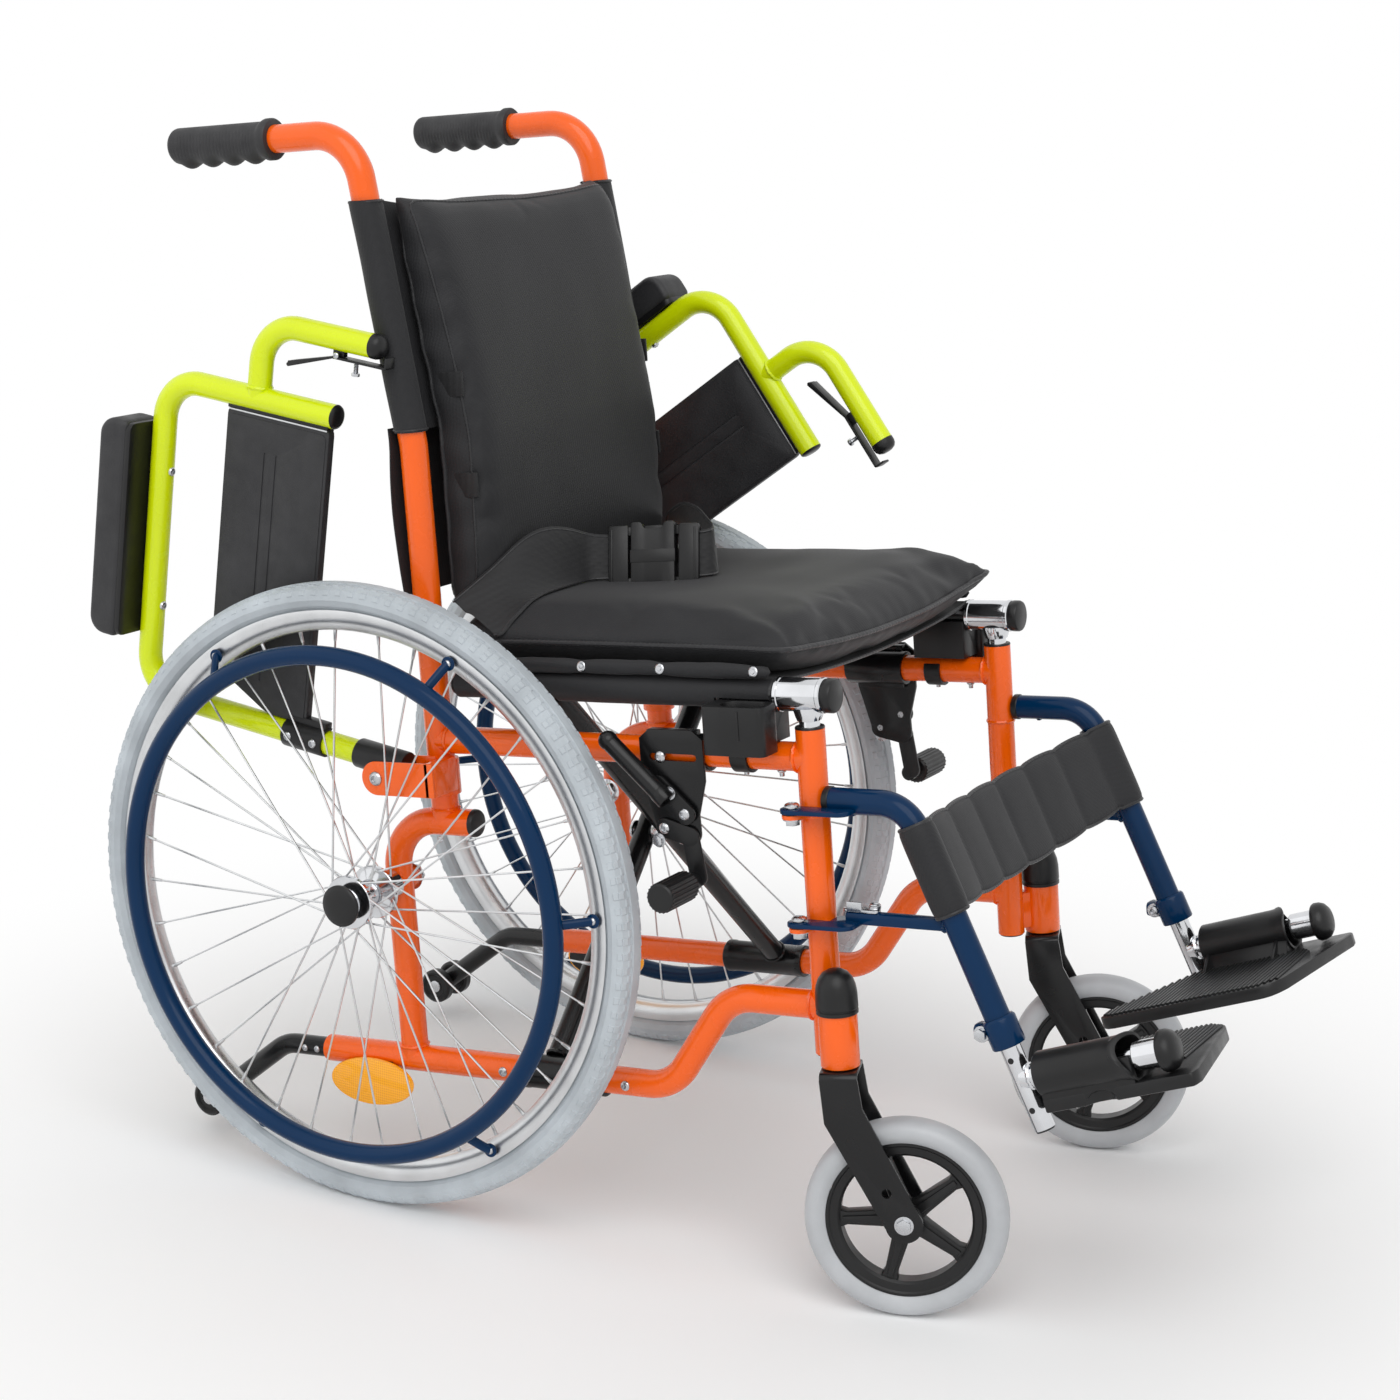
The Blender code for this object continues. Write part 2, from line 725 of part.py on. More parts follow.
def wheel():
    """Rim, spokes and hub in one piece, with its axis on Z and outward up."""
    inner = BEAD_RADIUS - RIM_DEPTH
    rim = turned(
        mirrored_profile(
            [
                (BEAD_RADIUS - GAP, RIM_WIDTH / 2 - 0.0022),
                (BEAD_RADIUS + 0.0055, RIM_WIDTH / 2 - 0.0022),
                (BEAD_RADIUS + 0.0055, RIM_WIDTH / 2),
                (inner, RIM_WIDTH / 2 - 0.006),
            ]
        ),
        WHEEL_SIDES,
    )
    flange = HUB_FLANGE_THICKNESS / 2
    inner_end = FRAME_OUT + RECEIVER_REACH + 0.0008 - WHEEL_OUT
    bore = around(AXLE_RADIUS, 10)
    hub = turned(
        [
            (bore, HUB_OUTER),
            (HUB_RADIUS, HUB_OUTER),
            (HUB_RADIUS, HUB_FLANGE_OUT + flange),
            (HUB_FLANGE_RADIUS, HUB_FLANGE_OUT + flange),
            (HUB_FLANGE_RADIUS, HUB_FLANGE_OUT - flange),
            (HUB_RADIUS, HUB_FLANGE_OUT - flange),
            (HUB_RADIUS, flange - HUB_FLANGE_OUT),
            (HUB_FLANGE_RADIUS, flange - HUB_FLANGE_OUT),
            (HUB_FLANGE_RADIUS, -flange - HUB_FLANGE_OUT),
            (HUB_RADIUS, -flange - HUB_FLANGE_OUT),
            (HUB_RADIUS, inner_end),
            (bore, inner_end),
        ],
        10,
    )
    spokes = bmesh.new()
    for count in range(SPOKE_COUNT):
        flange_side = 1 if count % 2 == 0 else -1
        leading = 1 if count % 4 < 2 else -1
        rim_angle = 2 * math.pi * count / SPOKE_COUNT
        hub_angle = rim_angle + leading * SPOKE_LACING
        hub_radius = HUB_FLANGE_RADIUS - 0.0035
        start = Vector(
            (
                hub_radius * math.cos(hub_angle),
                hub_radius * math.sin(hub_angle),
                flange_side * HUB_FLANGE_OUT + leading * 0.0019,
            )
        )
        reach = inner + 0.004
        end = Vector((reach * math.cos(rim_angle), reach * math.sin(rim_angle), flange_side * 0.002))
        bmesh.ops.create_cone(
            spokes,
            cap_ends=True,
            segments=3,
            radius1=SPOKE_RADIUS,
            radius2=SPOKE_RADIUS,
            depth=(end - start).length,
            matrix=toward(start, end),
        )
    return joined(rim, poured(spokes), hub)


def tyre():
    """The rear tyre, seated between the rim's flanges."""
    crown = WHEEL_RADIUS
    half = TYRE_WIDTH / 2
    return turned(
        mirrored_profile(
            [
                (BEAD_RADIUS, RIM_WIDTH / 2 - 0.0025),
                (BEAD_RADIUS + 0.0060, RIM_WIDTH / 2 - 0.0025),
                (crown - 0.0130, half),
                (crown - 0.0045, half * 0.78),
                (crown, half * 0.25),
            ]
        ),
        WHEEL_SIDES,
    )


def handrim():
    """The push ring with the tabs that hold it off the rim."""
    ring = turned(
        [
            (HANDRIM_RADIUS + radius, HANDRIM_OUT + height)
            for radius, height in arc((0, 0), HANDRIM_TUBE, 60, -240, 5)
        ],
        WHEEL_SIDES,
    )
    tabs = []
    for count in range(HANDRIM_TABS):
        turn = Matrix.Rotation(2 * math.pi * (count + 0.5) / HANDRIM_TABS, 4, "Z")
        start = Vector((HANDRIM_RADIUS + 0.002, 0, HANDRIM_OUT - 0.004))
        end = Vector((BEAD_RADIUS - 0.004, 0, RIM_WIDTH / 2 + GAP + TAB_RADIUS * 0.55))
        tabs.append(moved(rod(start, end, TAB_RADIUS, 6), turn))
    floor = RIM_WIDTH / 2 + GAP
    keep = rod((0, 0, floor), (0, 0, floor + 0.1), WHEEL_RADIUS, 24)
    return combined(joined(ring, *tabs), [keep], "INTERSECT")


def axle():
    """The wheel's axle with its inner nut and outer cap, on Z with outward up."""
    inner = FRAME_OUT - FRAME_RADIUS - 0.004 - WHEEL_OUT
    outer = HUB_OUTER + 0.001
    return turned(
        [
            (0, outer + AXLE_CAP_DEPTH),
            (AXLE_CAP_RADIUS * 0.85, outer + AXLE_CAP_DEPTH),
            (AXLE_CAP_RADIUS, outer + AXLE_CAP_DEPTH * 0.6),
            (AXLE_CAP_RADIUS, outer),
            (AXLE_RADIUS, outer),
            (AXLE_RADIUS, inner),
            (AXLE_NUT_RADIUS, inner),
            (AXLE_NUT_RADIUS, inner - AXLE_NUT_LENGTH),
            (0, inner - AXLE_NUT_LENGTH),
        ],
        10,
        closed=False,
    )


def anti_tip_tube(side):
    """The bent tube plugged into the rear of the lower tube."""
    start = -LOWER_REAR + ANTI_TIP_INSERT
    end_run = Vector((-ANTI_TIP_AXLE_BACK, ANTI_TIP_AXLE_UP)) - Vector((-LOWER_REAR - ANTI_TIP_BEND, LOWER_UP))
    end = Vector((-ANTI_TIP_AXLE_BACK, ANTI_TIP_AXLE_UP)) + end_run.normalized() * 0.006
    route = line(side, FRAME_OUT, (start, LOWER_UP), (-LOWER_REAR - ANTI_TIP_BEND, LOWER_UP), tuple(end))
    hole = [
        at(side, FRAME_OUT + shift, -ANTI_TIP_AXLE_BACK, ANTI_TIP_AXLE_UP)
        for shift in (-0.02, 0.02)
    ]
    return cut(tube(rounded(route, 0.040), ANTI_TIP_RADIUS), rod(*hole, around(ANTI_TIP_PIN, 8), 8))


def anti_tip_wheels():
    """The pair of small wheels on their pin, on Z."""
    near = ANTI_TIP_RADIUS + 0.001
    far = near + ANTI_TIP_WHEEL_WIDTH
    return turned(
        mirrored_profile(
            [
                (0, far),
                (ANTI_TIP_WHEEL_RADIUS * 0.85, far),
                (ANTI_TIP_WHEEL_RADIUS, far - 0.003),
                (ANTI_TIP_WHEEL_RADIUS, near + 0.003),
                (ANTI_TIP_WHEEL_RADIUS * 0.85, near),
                (ANTI_TIP_PIN, near),
            ]
        ),
        10,
        closed=False,
    )


def caster_drop():
    """Height of the swivel's lower end above the caster's axle, along the post."""
    rise = POST_AHEAD + CASTER_AHEAD
    base_up = HUB_UP + rise * math.sin(PITCH) + (POST_BOTTOM - 0.0015) * math.cos(PITCH)
    lift = CASTER_TRAIL * math.cos(CASTER_TURN) * math.sin(PITCH)
    return (base_up + lift - CASTER_RADIUS) / math.cos(PITCH)


def fork():
    """A bent-plate fork with its stem and axle bolt, from the swivel's lower end."""
    inner = CASTER_WIDTH / 2 + FORK_GAP
    outer = inner + FORK_PLATE
    drop = caster_drop()
    half = FORK_WIDTH / 2
    foot = (CASTER_TRAIL, -drop)
    outline = [(half, -GAP - 0.0005), (half + 0.003, -0.030)]
    outline += arc(foot, half, 18, -162, 6)
    outline += [(-half + 0.002, -0.042), (-half, -GAP - 0.0005)]
    legs = [plate([outline], FORK_PLATE, side_plane(1, way * (inner + FORK_PLATE / 2))) for way in (-1, 1)]
    top = box((-outer + 0.001, -half + 0.0004, -0.0045), (outer - 0.001, half - 0.0004, -GAP - 0.0006))
    stem = rod((0, 0, -0.003), (0, 0, HOUSING_LENGTH - 0.0085), FORK_STEM)
    bolt = rod((-outer - 0.003, -foot[0], foot[1]), (outer + 0.003, -foot[0], foot[1]), CASTER_PIN, 8)
    return joined(top, *legs, stem, bolt)


def caster_tyre():
    """The solid caster tyre, on Z."""
    half = CASTER_WIDTH / 2
    return turned(
        mirrored_profile(
            [
                (CASTER_BEAD, half - 0.0035),
                (CASTER_BEAD + 0.0055, half),
                (CASTER_RADIUS - 0.0040, half * 0.83),
                (CASTER_RADIUS, half * 0.30),
            ]
        ),
        CASTER_SIDES,
    )


def caster_rim():
    """The caster's rim, spokes and hub in one moulding, on Z."""
    outer = CASTER_BEAD - GAP
    half = CASTER_WIDTH / 2 - 0.004
    ring = turned(
        mirrored_profile([(outer - CASTER_RIM_DEPTH, half), (outer, half)]),
        CASTER_SIDES,
    )
    hub_half = CASTER_HUB_WIDTH / 2
    hub = rod((0, 0, -hub_half), (0, 0, hub_half), CASTER_HUB_RADIUS, 12)
    spokes = []
    for count in range(CASTER_SPOKES):
        angle = 2 * math.pi * (count + 0.25) / CASTER_SPOKES
        start = (math.cos(angle) * CASTER_HUB_RADIUS * 0.6, math.sin(angle) * CASTER_HUB_RADIUS * 0.6)
        end_radius = outer - CASTER_RIM_DEPTH + 0.004
        end = (math.cos(angle) * end_radius, math.sin(angle) * end_radius)
        square = Vector((-math.sin(angle), math.cos(angle)))
        outline = [
            tuple(Vector(start) - square * 0.0085),
            tuple(Vector(end) - square * 0.0055),
            tuple(Vector(end) + square * 0.0055),
            tuple(Vector(start) + square * 0.0085),
        ]
        spokes.append(plate([outline], half * 1.3, Matrix()))
    bore = rod((0, 0, -0.05), (0, 0, 0.05), around(CASTER_PIN, 8), 8)
    return cut(joined(ring, hub, *spokes), bore)


def brace(low_side, ahead, bolt_ahead, other_ahead, holds_bolt):
    """One arm of the cross brace: sleeve below, seat tube above on the other side."""
    high_side = -low_side
    low = at(low_side, FRAME_OUT, ahead, LOWER_UP)
    high = at(high_side, FRAME_OUT, ahead, SEAT_TUBE_UP)
    sleeve_radius = FRAME_RADIUS + BRACE_SLEEVE_WALL
    sleeve_rear = BRACE_AHEAD + BRACE_SPACING / 2 - BRACE_SLEEVE_LENGTH / 2
    sleeve_front = sleeve_rear + BRACE_SLEEVE_LENGTH
    seat_tube = line(high_side, FRAME_OUT, (SEAT_TUBE_REAR, SEAT_TUBE_UP), (SEAT_FRONT + 0.004, SEAT_TUBE_UP))
    cap = line(
        high_side,
        FRAME_OUT,
        (SEAT_FRONT + GAP, SEAT_TUBE_UP),
        (SEAT_FRONT + SEAT_CAP_LENGTH, SEAT_TUBE_UP),
    )
    piece = joined(
        rod(low + (high - low) * 0.012, high - (high - low) * 0.004, BRACE_RADIUS),
        rod(*line(low_side, FRAME_OUT, (sleeve_rear, LOWER_UP), (sleeve_front, LOWER_UP)), sleeve_radius, 12),
        rod(*seat_tube, SEAT_TUBE_RADIUS, 12),
        rod(*cap, SEAT_CAP_RADIUS, 12),
    )
    piece = cut(
        piece,
        rod(
            *line(low_side, FRAME_OUT, (sleeve_rear - 0.01, LOWER_UP), (sleeve_front + 0.01, LOWER_UP)),
            around(FRAME_RADIUS, 12),
            12,
        ),
    )
    middle_up = (LOWER_UP + SEAT_TUBE_UP) / 2
    if holds_bolt:
        bolt = [at(1, 0, bolt_ahead, middle_up), at(1, 0, other_ahead, middle_up)]
        return joined(piece, rod(*bolt, BRACE_BOLT, 8))
    hole = [at(1, 0, ahead - 0.03, middle_up), at(1, 0, ahead + 0.03, middle_up)]
    return cut(piece, rod(*hole, around(BRACE_BOLT, 8), 8))


def seat_guide(side):
    """The chrome sleeve on a seat tube, with its stem down into the front post."""
    rear = SEAT_FRONT - GUIDE_LENGTH
    sleeve = rod(
        *line(side, FRAME_OUT, (rear, SEAT_TUBE_UP), (SEAT_FRONT, SEAT_TUBE_UP)),
        SEAT_TUBE_RADIUS + GUIDE_WALL,
        12,
    )
    stem = rod(
        *line(
            side,
            FRAME_OUT,
            (POST_AHEAD, SEAT_TUBE_UP - GUIDE_STEM_LENGTH),
            (POST_AHEAD, SEAT_TUBE_UP - SEAT_TUBE_RADIUS),
        ),
        GUIDE_STEM,
        10,
    )
    bore = rod(
        *line(side, FRAME_OUT, (rear - 0.01, SEAT_TUBE_UP), (SEAT_FRONT + 0.01, SEAT_TUBE_UP)),
        around(SEAT_TUBE_RADIUS, 12),
        12,
    )
    return cut(joined(sleeve, stem), bore)


def catch_place():
    """(ahead, up) of the pin across the saddle's socket, under the plug."""
    return (PLUG_AHEAD - 0.0083, RAIL_UP + FRAME_RADIUS - CATCH_PIN)


def saddle(side):
    """The block the seat tube rests in, with the socket of the armrest's plug."""
    rear = POST_AHEAD - SADDLE_BEFORE_POST
    socket = ARM_RADIUS + 0.0006
    block = side_box(
        side,
        (FRAME_OUT - FRAME_RADIUS - 0.003, ARM_OUT + socket + SADDLE_WALL),
        (rear, SADDLE_FRONT),
        (RAIL_UP + FRAME_RADIUS + 2 * GAP, SADDLE_TOP),
    )
    pocket = side_box(
        side,
        (FRAME_OUT + SEAT_TUBE_RADIUS + GUIDE_WALL + 0.0008, ARM_OUT + socket + SADDLE_WALL - GAP),
        (rear + GAP, PLUG_AHEAD + socket + SADDLE_WALL),
        (RAIL_UP + FRAME_RADIUS - 0.005, SADDLE_TOP - GAP),
    )
    groove = rod(
        *line(side, FRAME_OUT, (rear - 0.01, SEAT_TUBE_UP), (SADDLE_FRONT + 0.01, SEAT_TUBE_UP)),
        around(SEAT_TUBE_RADIUS, 12),
        12,
    )
    slot = plate(
        [bar((ARM_OUT, PLUG_AHEAD - 0.017), (ARM_OUT, PLUG_AHEAD), 2 * socket)],
        0.12,
        deck_plane(side, SADDLE_TOP),
    )
    pin = rod(
        at(side, ARM_OUT - socket - 0.001, *catch_place()),
        at(side, ARM_OUT + socket + 0.001, *catch_place()),
        CATCH_PIN,
        6,
    )
    return joined(cut(joined(block, pocket), groove, slot), pin)


def brake_layers():
    """Outward distances of the brake's bracket, shoe arm and lever plates."""
    bracket = FRAME_OUT + FRAME_RADIUS + 0.002
    arm = bracket + BRAKE_PLATE + GAP
    lever = arm + BRAKE_PLATE + GAP
    return bracket, arm, lever


def brake_bracket(side):
    """The clamp on the top rail, with the plate that holds the brake's pivots."""
    bracket, arm, lever = brake_layers()
    front = BRAKE_AHEAD + 0.018
    rear = front - BRAKE_CLAMP_LENGTH
    shoe_ahead = BRAKE_AHEAD - SHOE_PIVOT_BACK
    clamp_radius = FRAME_RADIUS + 0.0035
    outline = [
        (rear, RAIL_UP + 0.014),
        (rear + 0.010, RAIL_UP + 0.022),
        (front - 0.010, RAIL_UP + 0.022),
        (front, RAIL_UP + 0.014),
        (front, RAIL_UP - 0.022),
        (BRAKE_AHEAD + 0.010, LEVER_UP - 0.002),
    ]
    outline += arc((BRAKE_AHEAD, LEVER_UP - 0.018), 0.0105, 0, -100, 3)
    outline += arc((shoe_ahead, SHOE_PIVOT_UP), 0.0095, -100, -190, 3)
    outline += [(rear, RAIL_UP - 0.022)]
    slot_up = RAIL_UP - 0.002
    plate_piece = plate(
        [outline, bar((rear + 0.012, slot_up), (front - 0.010, slot_up), 0.005)],
        BRAKE_PLATE,
        side_plane(side, bracket + BRAKE_PLATE / 2),
    )
    ring = rod(*line(side, FRAME_OUT, (rear + 0.001, RAIL_UP), (front - 0.001, RAIL_UP)), clamp_radius, 12)
    lever_pin = rod(
        at(side, bracket + 0.001, BRAKE_AHEAD, LEVER_UP),
        at(side, lever + BRAKE_PLATE + 0.003, BRAKE_AHEAD, LEVER_UP),
        BRAKE_PIN,
        8,
    )
    shoe_pin = rod(
        at(side, bracket + 0.001, shoe_ahead, SHOE_PIVOT_UP),
        at(side, arm + BRAKE_PLATE + 0.001, shoe_ahead, SHOE_PIVOT_UP),
        BRAKE_PIN,
        8,
    )
    bore = rod(
        *line(side, FRAME_OUT, (rear - 0.01, RAIL_UP), (front + 0.01, RAIL_UP)),
        around(FRAME_RADIUS, 12),
        12,
    )
    return cut(joined(plate_piece, ring, lever_pin, shoe_pin), bore)


def brake_lever(side):
    """The brake's hand lever, a plate on the pivot and a round-ended bar."""
    lever = brake_layers()[2]
    heading = Vector((-math.cos(LEVER_REST), math.sin(LEVER_REST)))
    hub = Vector((BRAKE_AHEAD, LEVER_UP))
    tip = hub + heading * LEVER_LENGTH
    root = hub + heading * 0.020
    bar_out = lever + BRAKE_PLATE / 2 + LEVER_RADIUS * 0.85
    plate_piece = plate(
        [bar(tuple(hub), tuple(hub + heading * 0.034), 0.019)],
        BRAKE_PLATE,
        side_plane(side, lever + BRAKE_PLATE / 2),
    )
    shaft = rod(at(side, bar_out, *root), at(side, bar_out, *tip), LEVER_RADIUS * 0.85, 8, LEVER_RADIUS)
    knob = bmesh.new()
    bmesh.ops.create_uvsphere(
        knob,
        u_segments=8,
        v_segments=5,
        radius=LEVER_RADIUS * 1.02,
        matrix=Matrix.Translation(at(side, bar_out, *tip)),
    )
    hole = [at(side, lever + shift, *hub) for shift in (-0.01, 0.01)]
    plate_piece = cut(plate_piece, rod(*hole, around(BRAKE_PIN, 8), 8))
    return joined(plate_piece, shaft, poured(knob))


def brake_shoe_arm(side):
    """The arm that swings the brake's shoe against the tyre."""
    arm = brake_layers()[1]
    shoe_pivot = (BRAKE_AHEAD - SHOE_PIVOT_BACK, SHOE_PIVOT_UP)
    elbow = (BRAKE_AHEAD + 0.0015, LEVER_UP - 0.0205)
    shoe = (BRAKE_AHEAD + SHOE_AHEAD, SHOE_UP)
    place = side_plane(side, arm + BRAKE_PLATE / 2)
    link = plate([bar(shoe_pivot, elbow, 0.017)], BRAKE_PLATE, place)
    blade = plate([bar(elbow, (shoe[0] + 0.004, shoe[1] + 0.004), 0.0165)], BRAKE_PLATE, place)
    shoe_outer = WHEEL_OUT + TYRE_WIDTH / 2 + 0.003
    cylinder = rod(at(side, arm + 0.0015, *shoe), at(side, shoe_outer, *shoe), SHOE_RADIUS, 12)
    hole = [at(side, arm + shift, *shoe_pivot) for shift in (-0.01, 0.01)]
    return cut(joined(link, blade, cylinder), rod(*hole, around(BRAKE_PIN, 8), 8))


def arm_frame(side):
    """The armrest's tube, as it stands when the armrest is down, from its pivot."""
    main = line(
        side,
        ARM_OUT,
        (ARM_REAR, ARM_SLEEVE_LOW + 0.004),
        (ARM_REAR, ARM_TOP),
        (ARM_LEG, ARM_TOP),
        (ARM_LEG, ARM_LEG_END),
    )
    branch = line(
        side,
        ARM_OUT,
        (ARM_LEG, ARM_BRANCH_UP),
        (ARM_LEG + ARM_BRANCH, ARM_BRANCH_UP),
        (ARM_LEG + ARM_BRANCH, ARM_BRANCH_END),
    )
    sleeve = rod(
        *line(side, ARM_OUT, (ARM_REAR, ARM_SLEEVE_LOW), (ARM_REAR, ARM_SLEEVE_HIGH)),
        ARM_RADIUS + ARM_SLEEVE_WALL,
    )
    tang = plate([bar((ARM_REAR, 0), (0, 0), 0.024)], ARM_TANG, side_plane(side, ARM_OUT))
    catch_ahead = ARM_LEG + ARM_BRANCH - ARM_RADIUS
    boss = side_box(
        side,
        (ARM_OUT - 0.003, ARM_OUT + 0.003),
        (catch_ahead - 0.004, catch_ahead + 0.004),
        (CATCH_PIVOT_UP - 0.006, CATCH_PIVOT_UP + 0.006),
    )
    hole = rod(at(side, ARM_OUT - 0.015, 0, 0), at(side, ARM_OUT + 0.015, 0, 0), around(ARM_PIN, 8), 8)
    frame = joined(
        tube(rounded(main, ARM_BEND), ARM_RADIUS),
        tube(rounded(branch, ARM_BEND), ARM_RADIUS - 0.0001),
        sleeve,
        tang,
        boss,
    )
    return cut(frame, hole)


def arm_pad(side):
    """The armrest's moulded pad."""
    floor = ARM_TOP + ARM_RADIUS + GAP
    middle = ARM_OUT + PAD_OFFSET
    pad = side_box(
        side,
        (middle - PAD_WIDTH / 2, middle + PAD_WIDTH / 2),
        (PAD_REAR, PAD_FRONT),
        (floor, floor + PAD_HEIGHT),
    )
    edges = pad.modifiers.new("rounded", "BEVEL")
    edges.width = 0.009
    edges.segments = 2
    edges.limit_method = "ANGLE"
    return baked(pad)


def arm_panel(side):
    """The skirt panel between the armrest's tubes, with its chamfered rear corner."""
    rear = ARM_REAR + ARM_RADIUS + 2 * GAP
    front = ARM_LEG - ARM_RADIUS - 2 * GAP
    outline = [
        (rear, PANEL_LOW),
        (front, PANEL_LOW),
        (front, PANEL_HIGH),
        (rear + PANEL_CHAMFER, PANEL_HIGH),
        (rear, PANEL_HIGH - 2 * PANEL_CHAMFER),
    ]
    return plate([outline], PANEL_THICKNESS, side_plane(side, ARM_OUT))


def arm_catch(side):
    """The sprung lever behind the front branch, with the claw that grips the saddle."""
    pin = (catch_place()[0] - ARM_PIVOT_AHEAD, catch_place()[1] - ARM_PIVOT_UP)
    face = pin[0] - CATCH_PIN - 0.0055
    rear = face - CATCH_THICKNESS
    claw = pin[0] + CATCH_PIN / 2
    floor = pin[1] - CATCH_PIN - 0.0008
    outline = [
        (rear - 0.016, ARM_BRANCH_UP - 0.033),
        (rear, CATCH_PIVOT_UP + 0.004),
        (rear, floor - CATCH_THICKNESS),
        (claw, floor - CATCH_THICKNESS),
        (claw, floor),
        (face, floor),
        (face, CATCH_PIVOT_UP + 0.004),
        (face - 0.014, ARM_BRANCH_UP - 0.033),
    ]
    return plate([outline], CATCH_WIDTH, side_plane(side, ARM_OUT))


def leg_place(along):
    """(ahead, up) of a point down the hanger's sloping run, from its knee."""
    knee = POST_AHEAD + LEG_KNEE - FRAME_RADIUS + 0.0025
    return (knee + along * math.sin(LEG_SLOPE), LEG_UP - along * math.cos(LEG_SLOPE))


def hinge_outline(front, inner):
    """Outline of a hinge plate, round about its pin and clear of the post."""
    hinge_ahead = POST_AHEAD - HINGE_BACK
    clear = FRAME_OUT + FRAME_RADIUS + 0.001
    radius = 0.0102
    post_front = POST_AHEAD + FRAME_RADIUS + 0.0016
    outline = arc((HINGE_OUT, hinge_ahead), radius, 0, -150, 5)
    outline += [
        (clear, hinge_ahead + 0.003),
        (clear, post_front),
        (inner, post_front),
        (inner, front),
        (HINGE_OUT + radius * 0.9, front),
    ]
    return outline


def hanger(side):
    """The swing-away hanger with its two hinge plates and clamp collar."""
    start = POST_AHEAD + FRAME_RADIUS + 0.0018
    knee = leg_place(0)
    end = leg_place(LEG_DROP)
    hinge_ahead = POST_AHEAD - HINGE_BACK
    route = line(side, LEG_OUT, (start, LEG_UP), knee, end)
    upper = LUG_UPPER + LUG_THICKNESS + 0.001
    lower = LUG_LOWER + LUG_THICKNESS + 0.001
    crossing = leg_place((LEG_UP - 0.0025) / math.cos(LEG_SLOPE))
    parts = [
        plate(
            [hinge_outline(start + 0.020, LEG_OUT - 0.006)],
            HINGE_PLATE,
            deck_plane(side, upper + HINGE_PLATE / 2),
        ),
        plate(
            [hinge_outline(start + 0.024, LEG_OUT - 0.006)],
            HINGE_PLATE,
            deck_plane(side, lower + HINGE_PLATE / 2),
        ),
        side_box(
            side,
            (LEG_OUT - 0.0055, LEG_OUT + 0.0055),
            (start + 0.014, crossing[0]),
            (lower + 0.0005, lower + 0.0005 + LEG_BAR_HEIGHT),
        ),
        rod(
            at(side, LEG_OUT, *leg_place(LEG_DROP - LEG_COLLAR_LENGTH)),
            at(side, LEG_OUT, *leg_place(LEG_DROP - 0.0004)),
            LEG_COLLAR_RADIUS,
            12,
        ),
        side_box(
            side,
            (LEG_OUT - 0.008, LEG_OUT + 0.008),
            (end[0] - 0.030, end[0] - 0.006),
            (end[1] + 0.004, end[1] + 0.018),
        ),
    ]
    piece = joined(tube(rounded(route, LEG_BEND), LEG_RADIUS, 10), *parts)
    bores = [
        rod(
            at(side, LEG_OUT, *leg_place(LEG_DROP - FOOT_STEM_INSERT - 0.002)),
            at(side, LEG_OUT, *leg_place(LEG_DROP + 0.02)),
            around(FOOT_STEM_RADIUS, 10, GAP),
            10,
        )
    ]
    for plate_up in (upper, lower):
        bores.append(
            rod(
                at(side, HINGE_OUT, hinge_ahead, plate_up - 0.002),
                at(side, HINGE_OUT, hinge_ahead, plate_up + HINGE_PLATE + 0.002),
                around(HINGE_PIN, 8),
                8,
            )
        )
    return cut(piece, *bores)


def latch_place():
    """(ahead, up) of the latch's pivot on top of the hanger's lower arm."""
    return (POST_AHEAD + FRAME_RADIUS + 0.040, LUG_LOWER + LUG_THICKNESS + 0.0015 + LEG_BAR_HEIGHT)


def hanger_latch(side):
    """The sprung latch lever lying on the hanger's lower arm."""
    ahead, up = latch_place()
    low = up + GAP
    lever = plate(
        [bar((LEG_OUT, ahead - LATCH_LENGTH), (LEG_OUT, ahead), 0.010)],
        0.0025,
        deck_plane(side, low + 0.00125),
    )
    tab = side_box(
        side,
        (LEG_OUT + 0.003, LEG_OUT + 0.0055),
        (ahead - LATCH_LENGTH, ahead - LATCH_LENGTH * 0.4),
        (low + 0.001, low + 0.009),
    )
    return joined(lever, tab)


def spigot_place():
    """(ahead, up) of the point where the footplate's axis meets the stem."""
    return leg_place(LEG_DROP + SPIGOT_DROP)


def foot_frame(side):
    """Frame at the footplate's axis: -Y runs along it and +Z is square to it."""
    ahead, up = spigot_place()
    start = at(side, LEG_OUT, ahead, up)
    return Matrix.Translation(start) @ Matrix.Rotation(-SPIGOT_RISE, 4, "X")


def foot_stem(side):
    """The chrome stem that slides in the hanger, with the boss of the footplate's pin."""
    top = at(side, LEG_OUT, *leg_place(LEG_DROP - FOOT_STEM_INSERT))
    bottom = at(side, LEG_OUT, *leg_place(LEG_DROP + FOOT_STEM_END))
    turn = foot_frame(side)
    boss = moved(rod((0, 0, 0), (0, -SPIGOT_START + 0.0012, 0), 0.0105, 12), turn)
    bore = moved(rod((0, -0.001, 0), (0, -0.03, 0), around(FOOT_PIN_TAIL)), turn)
    return cut(joined(rod(top, bottom, FOOT_STEM_RADIUS, 10), boss), bore)


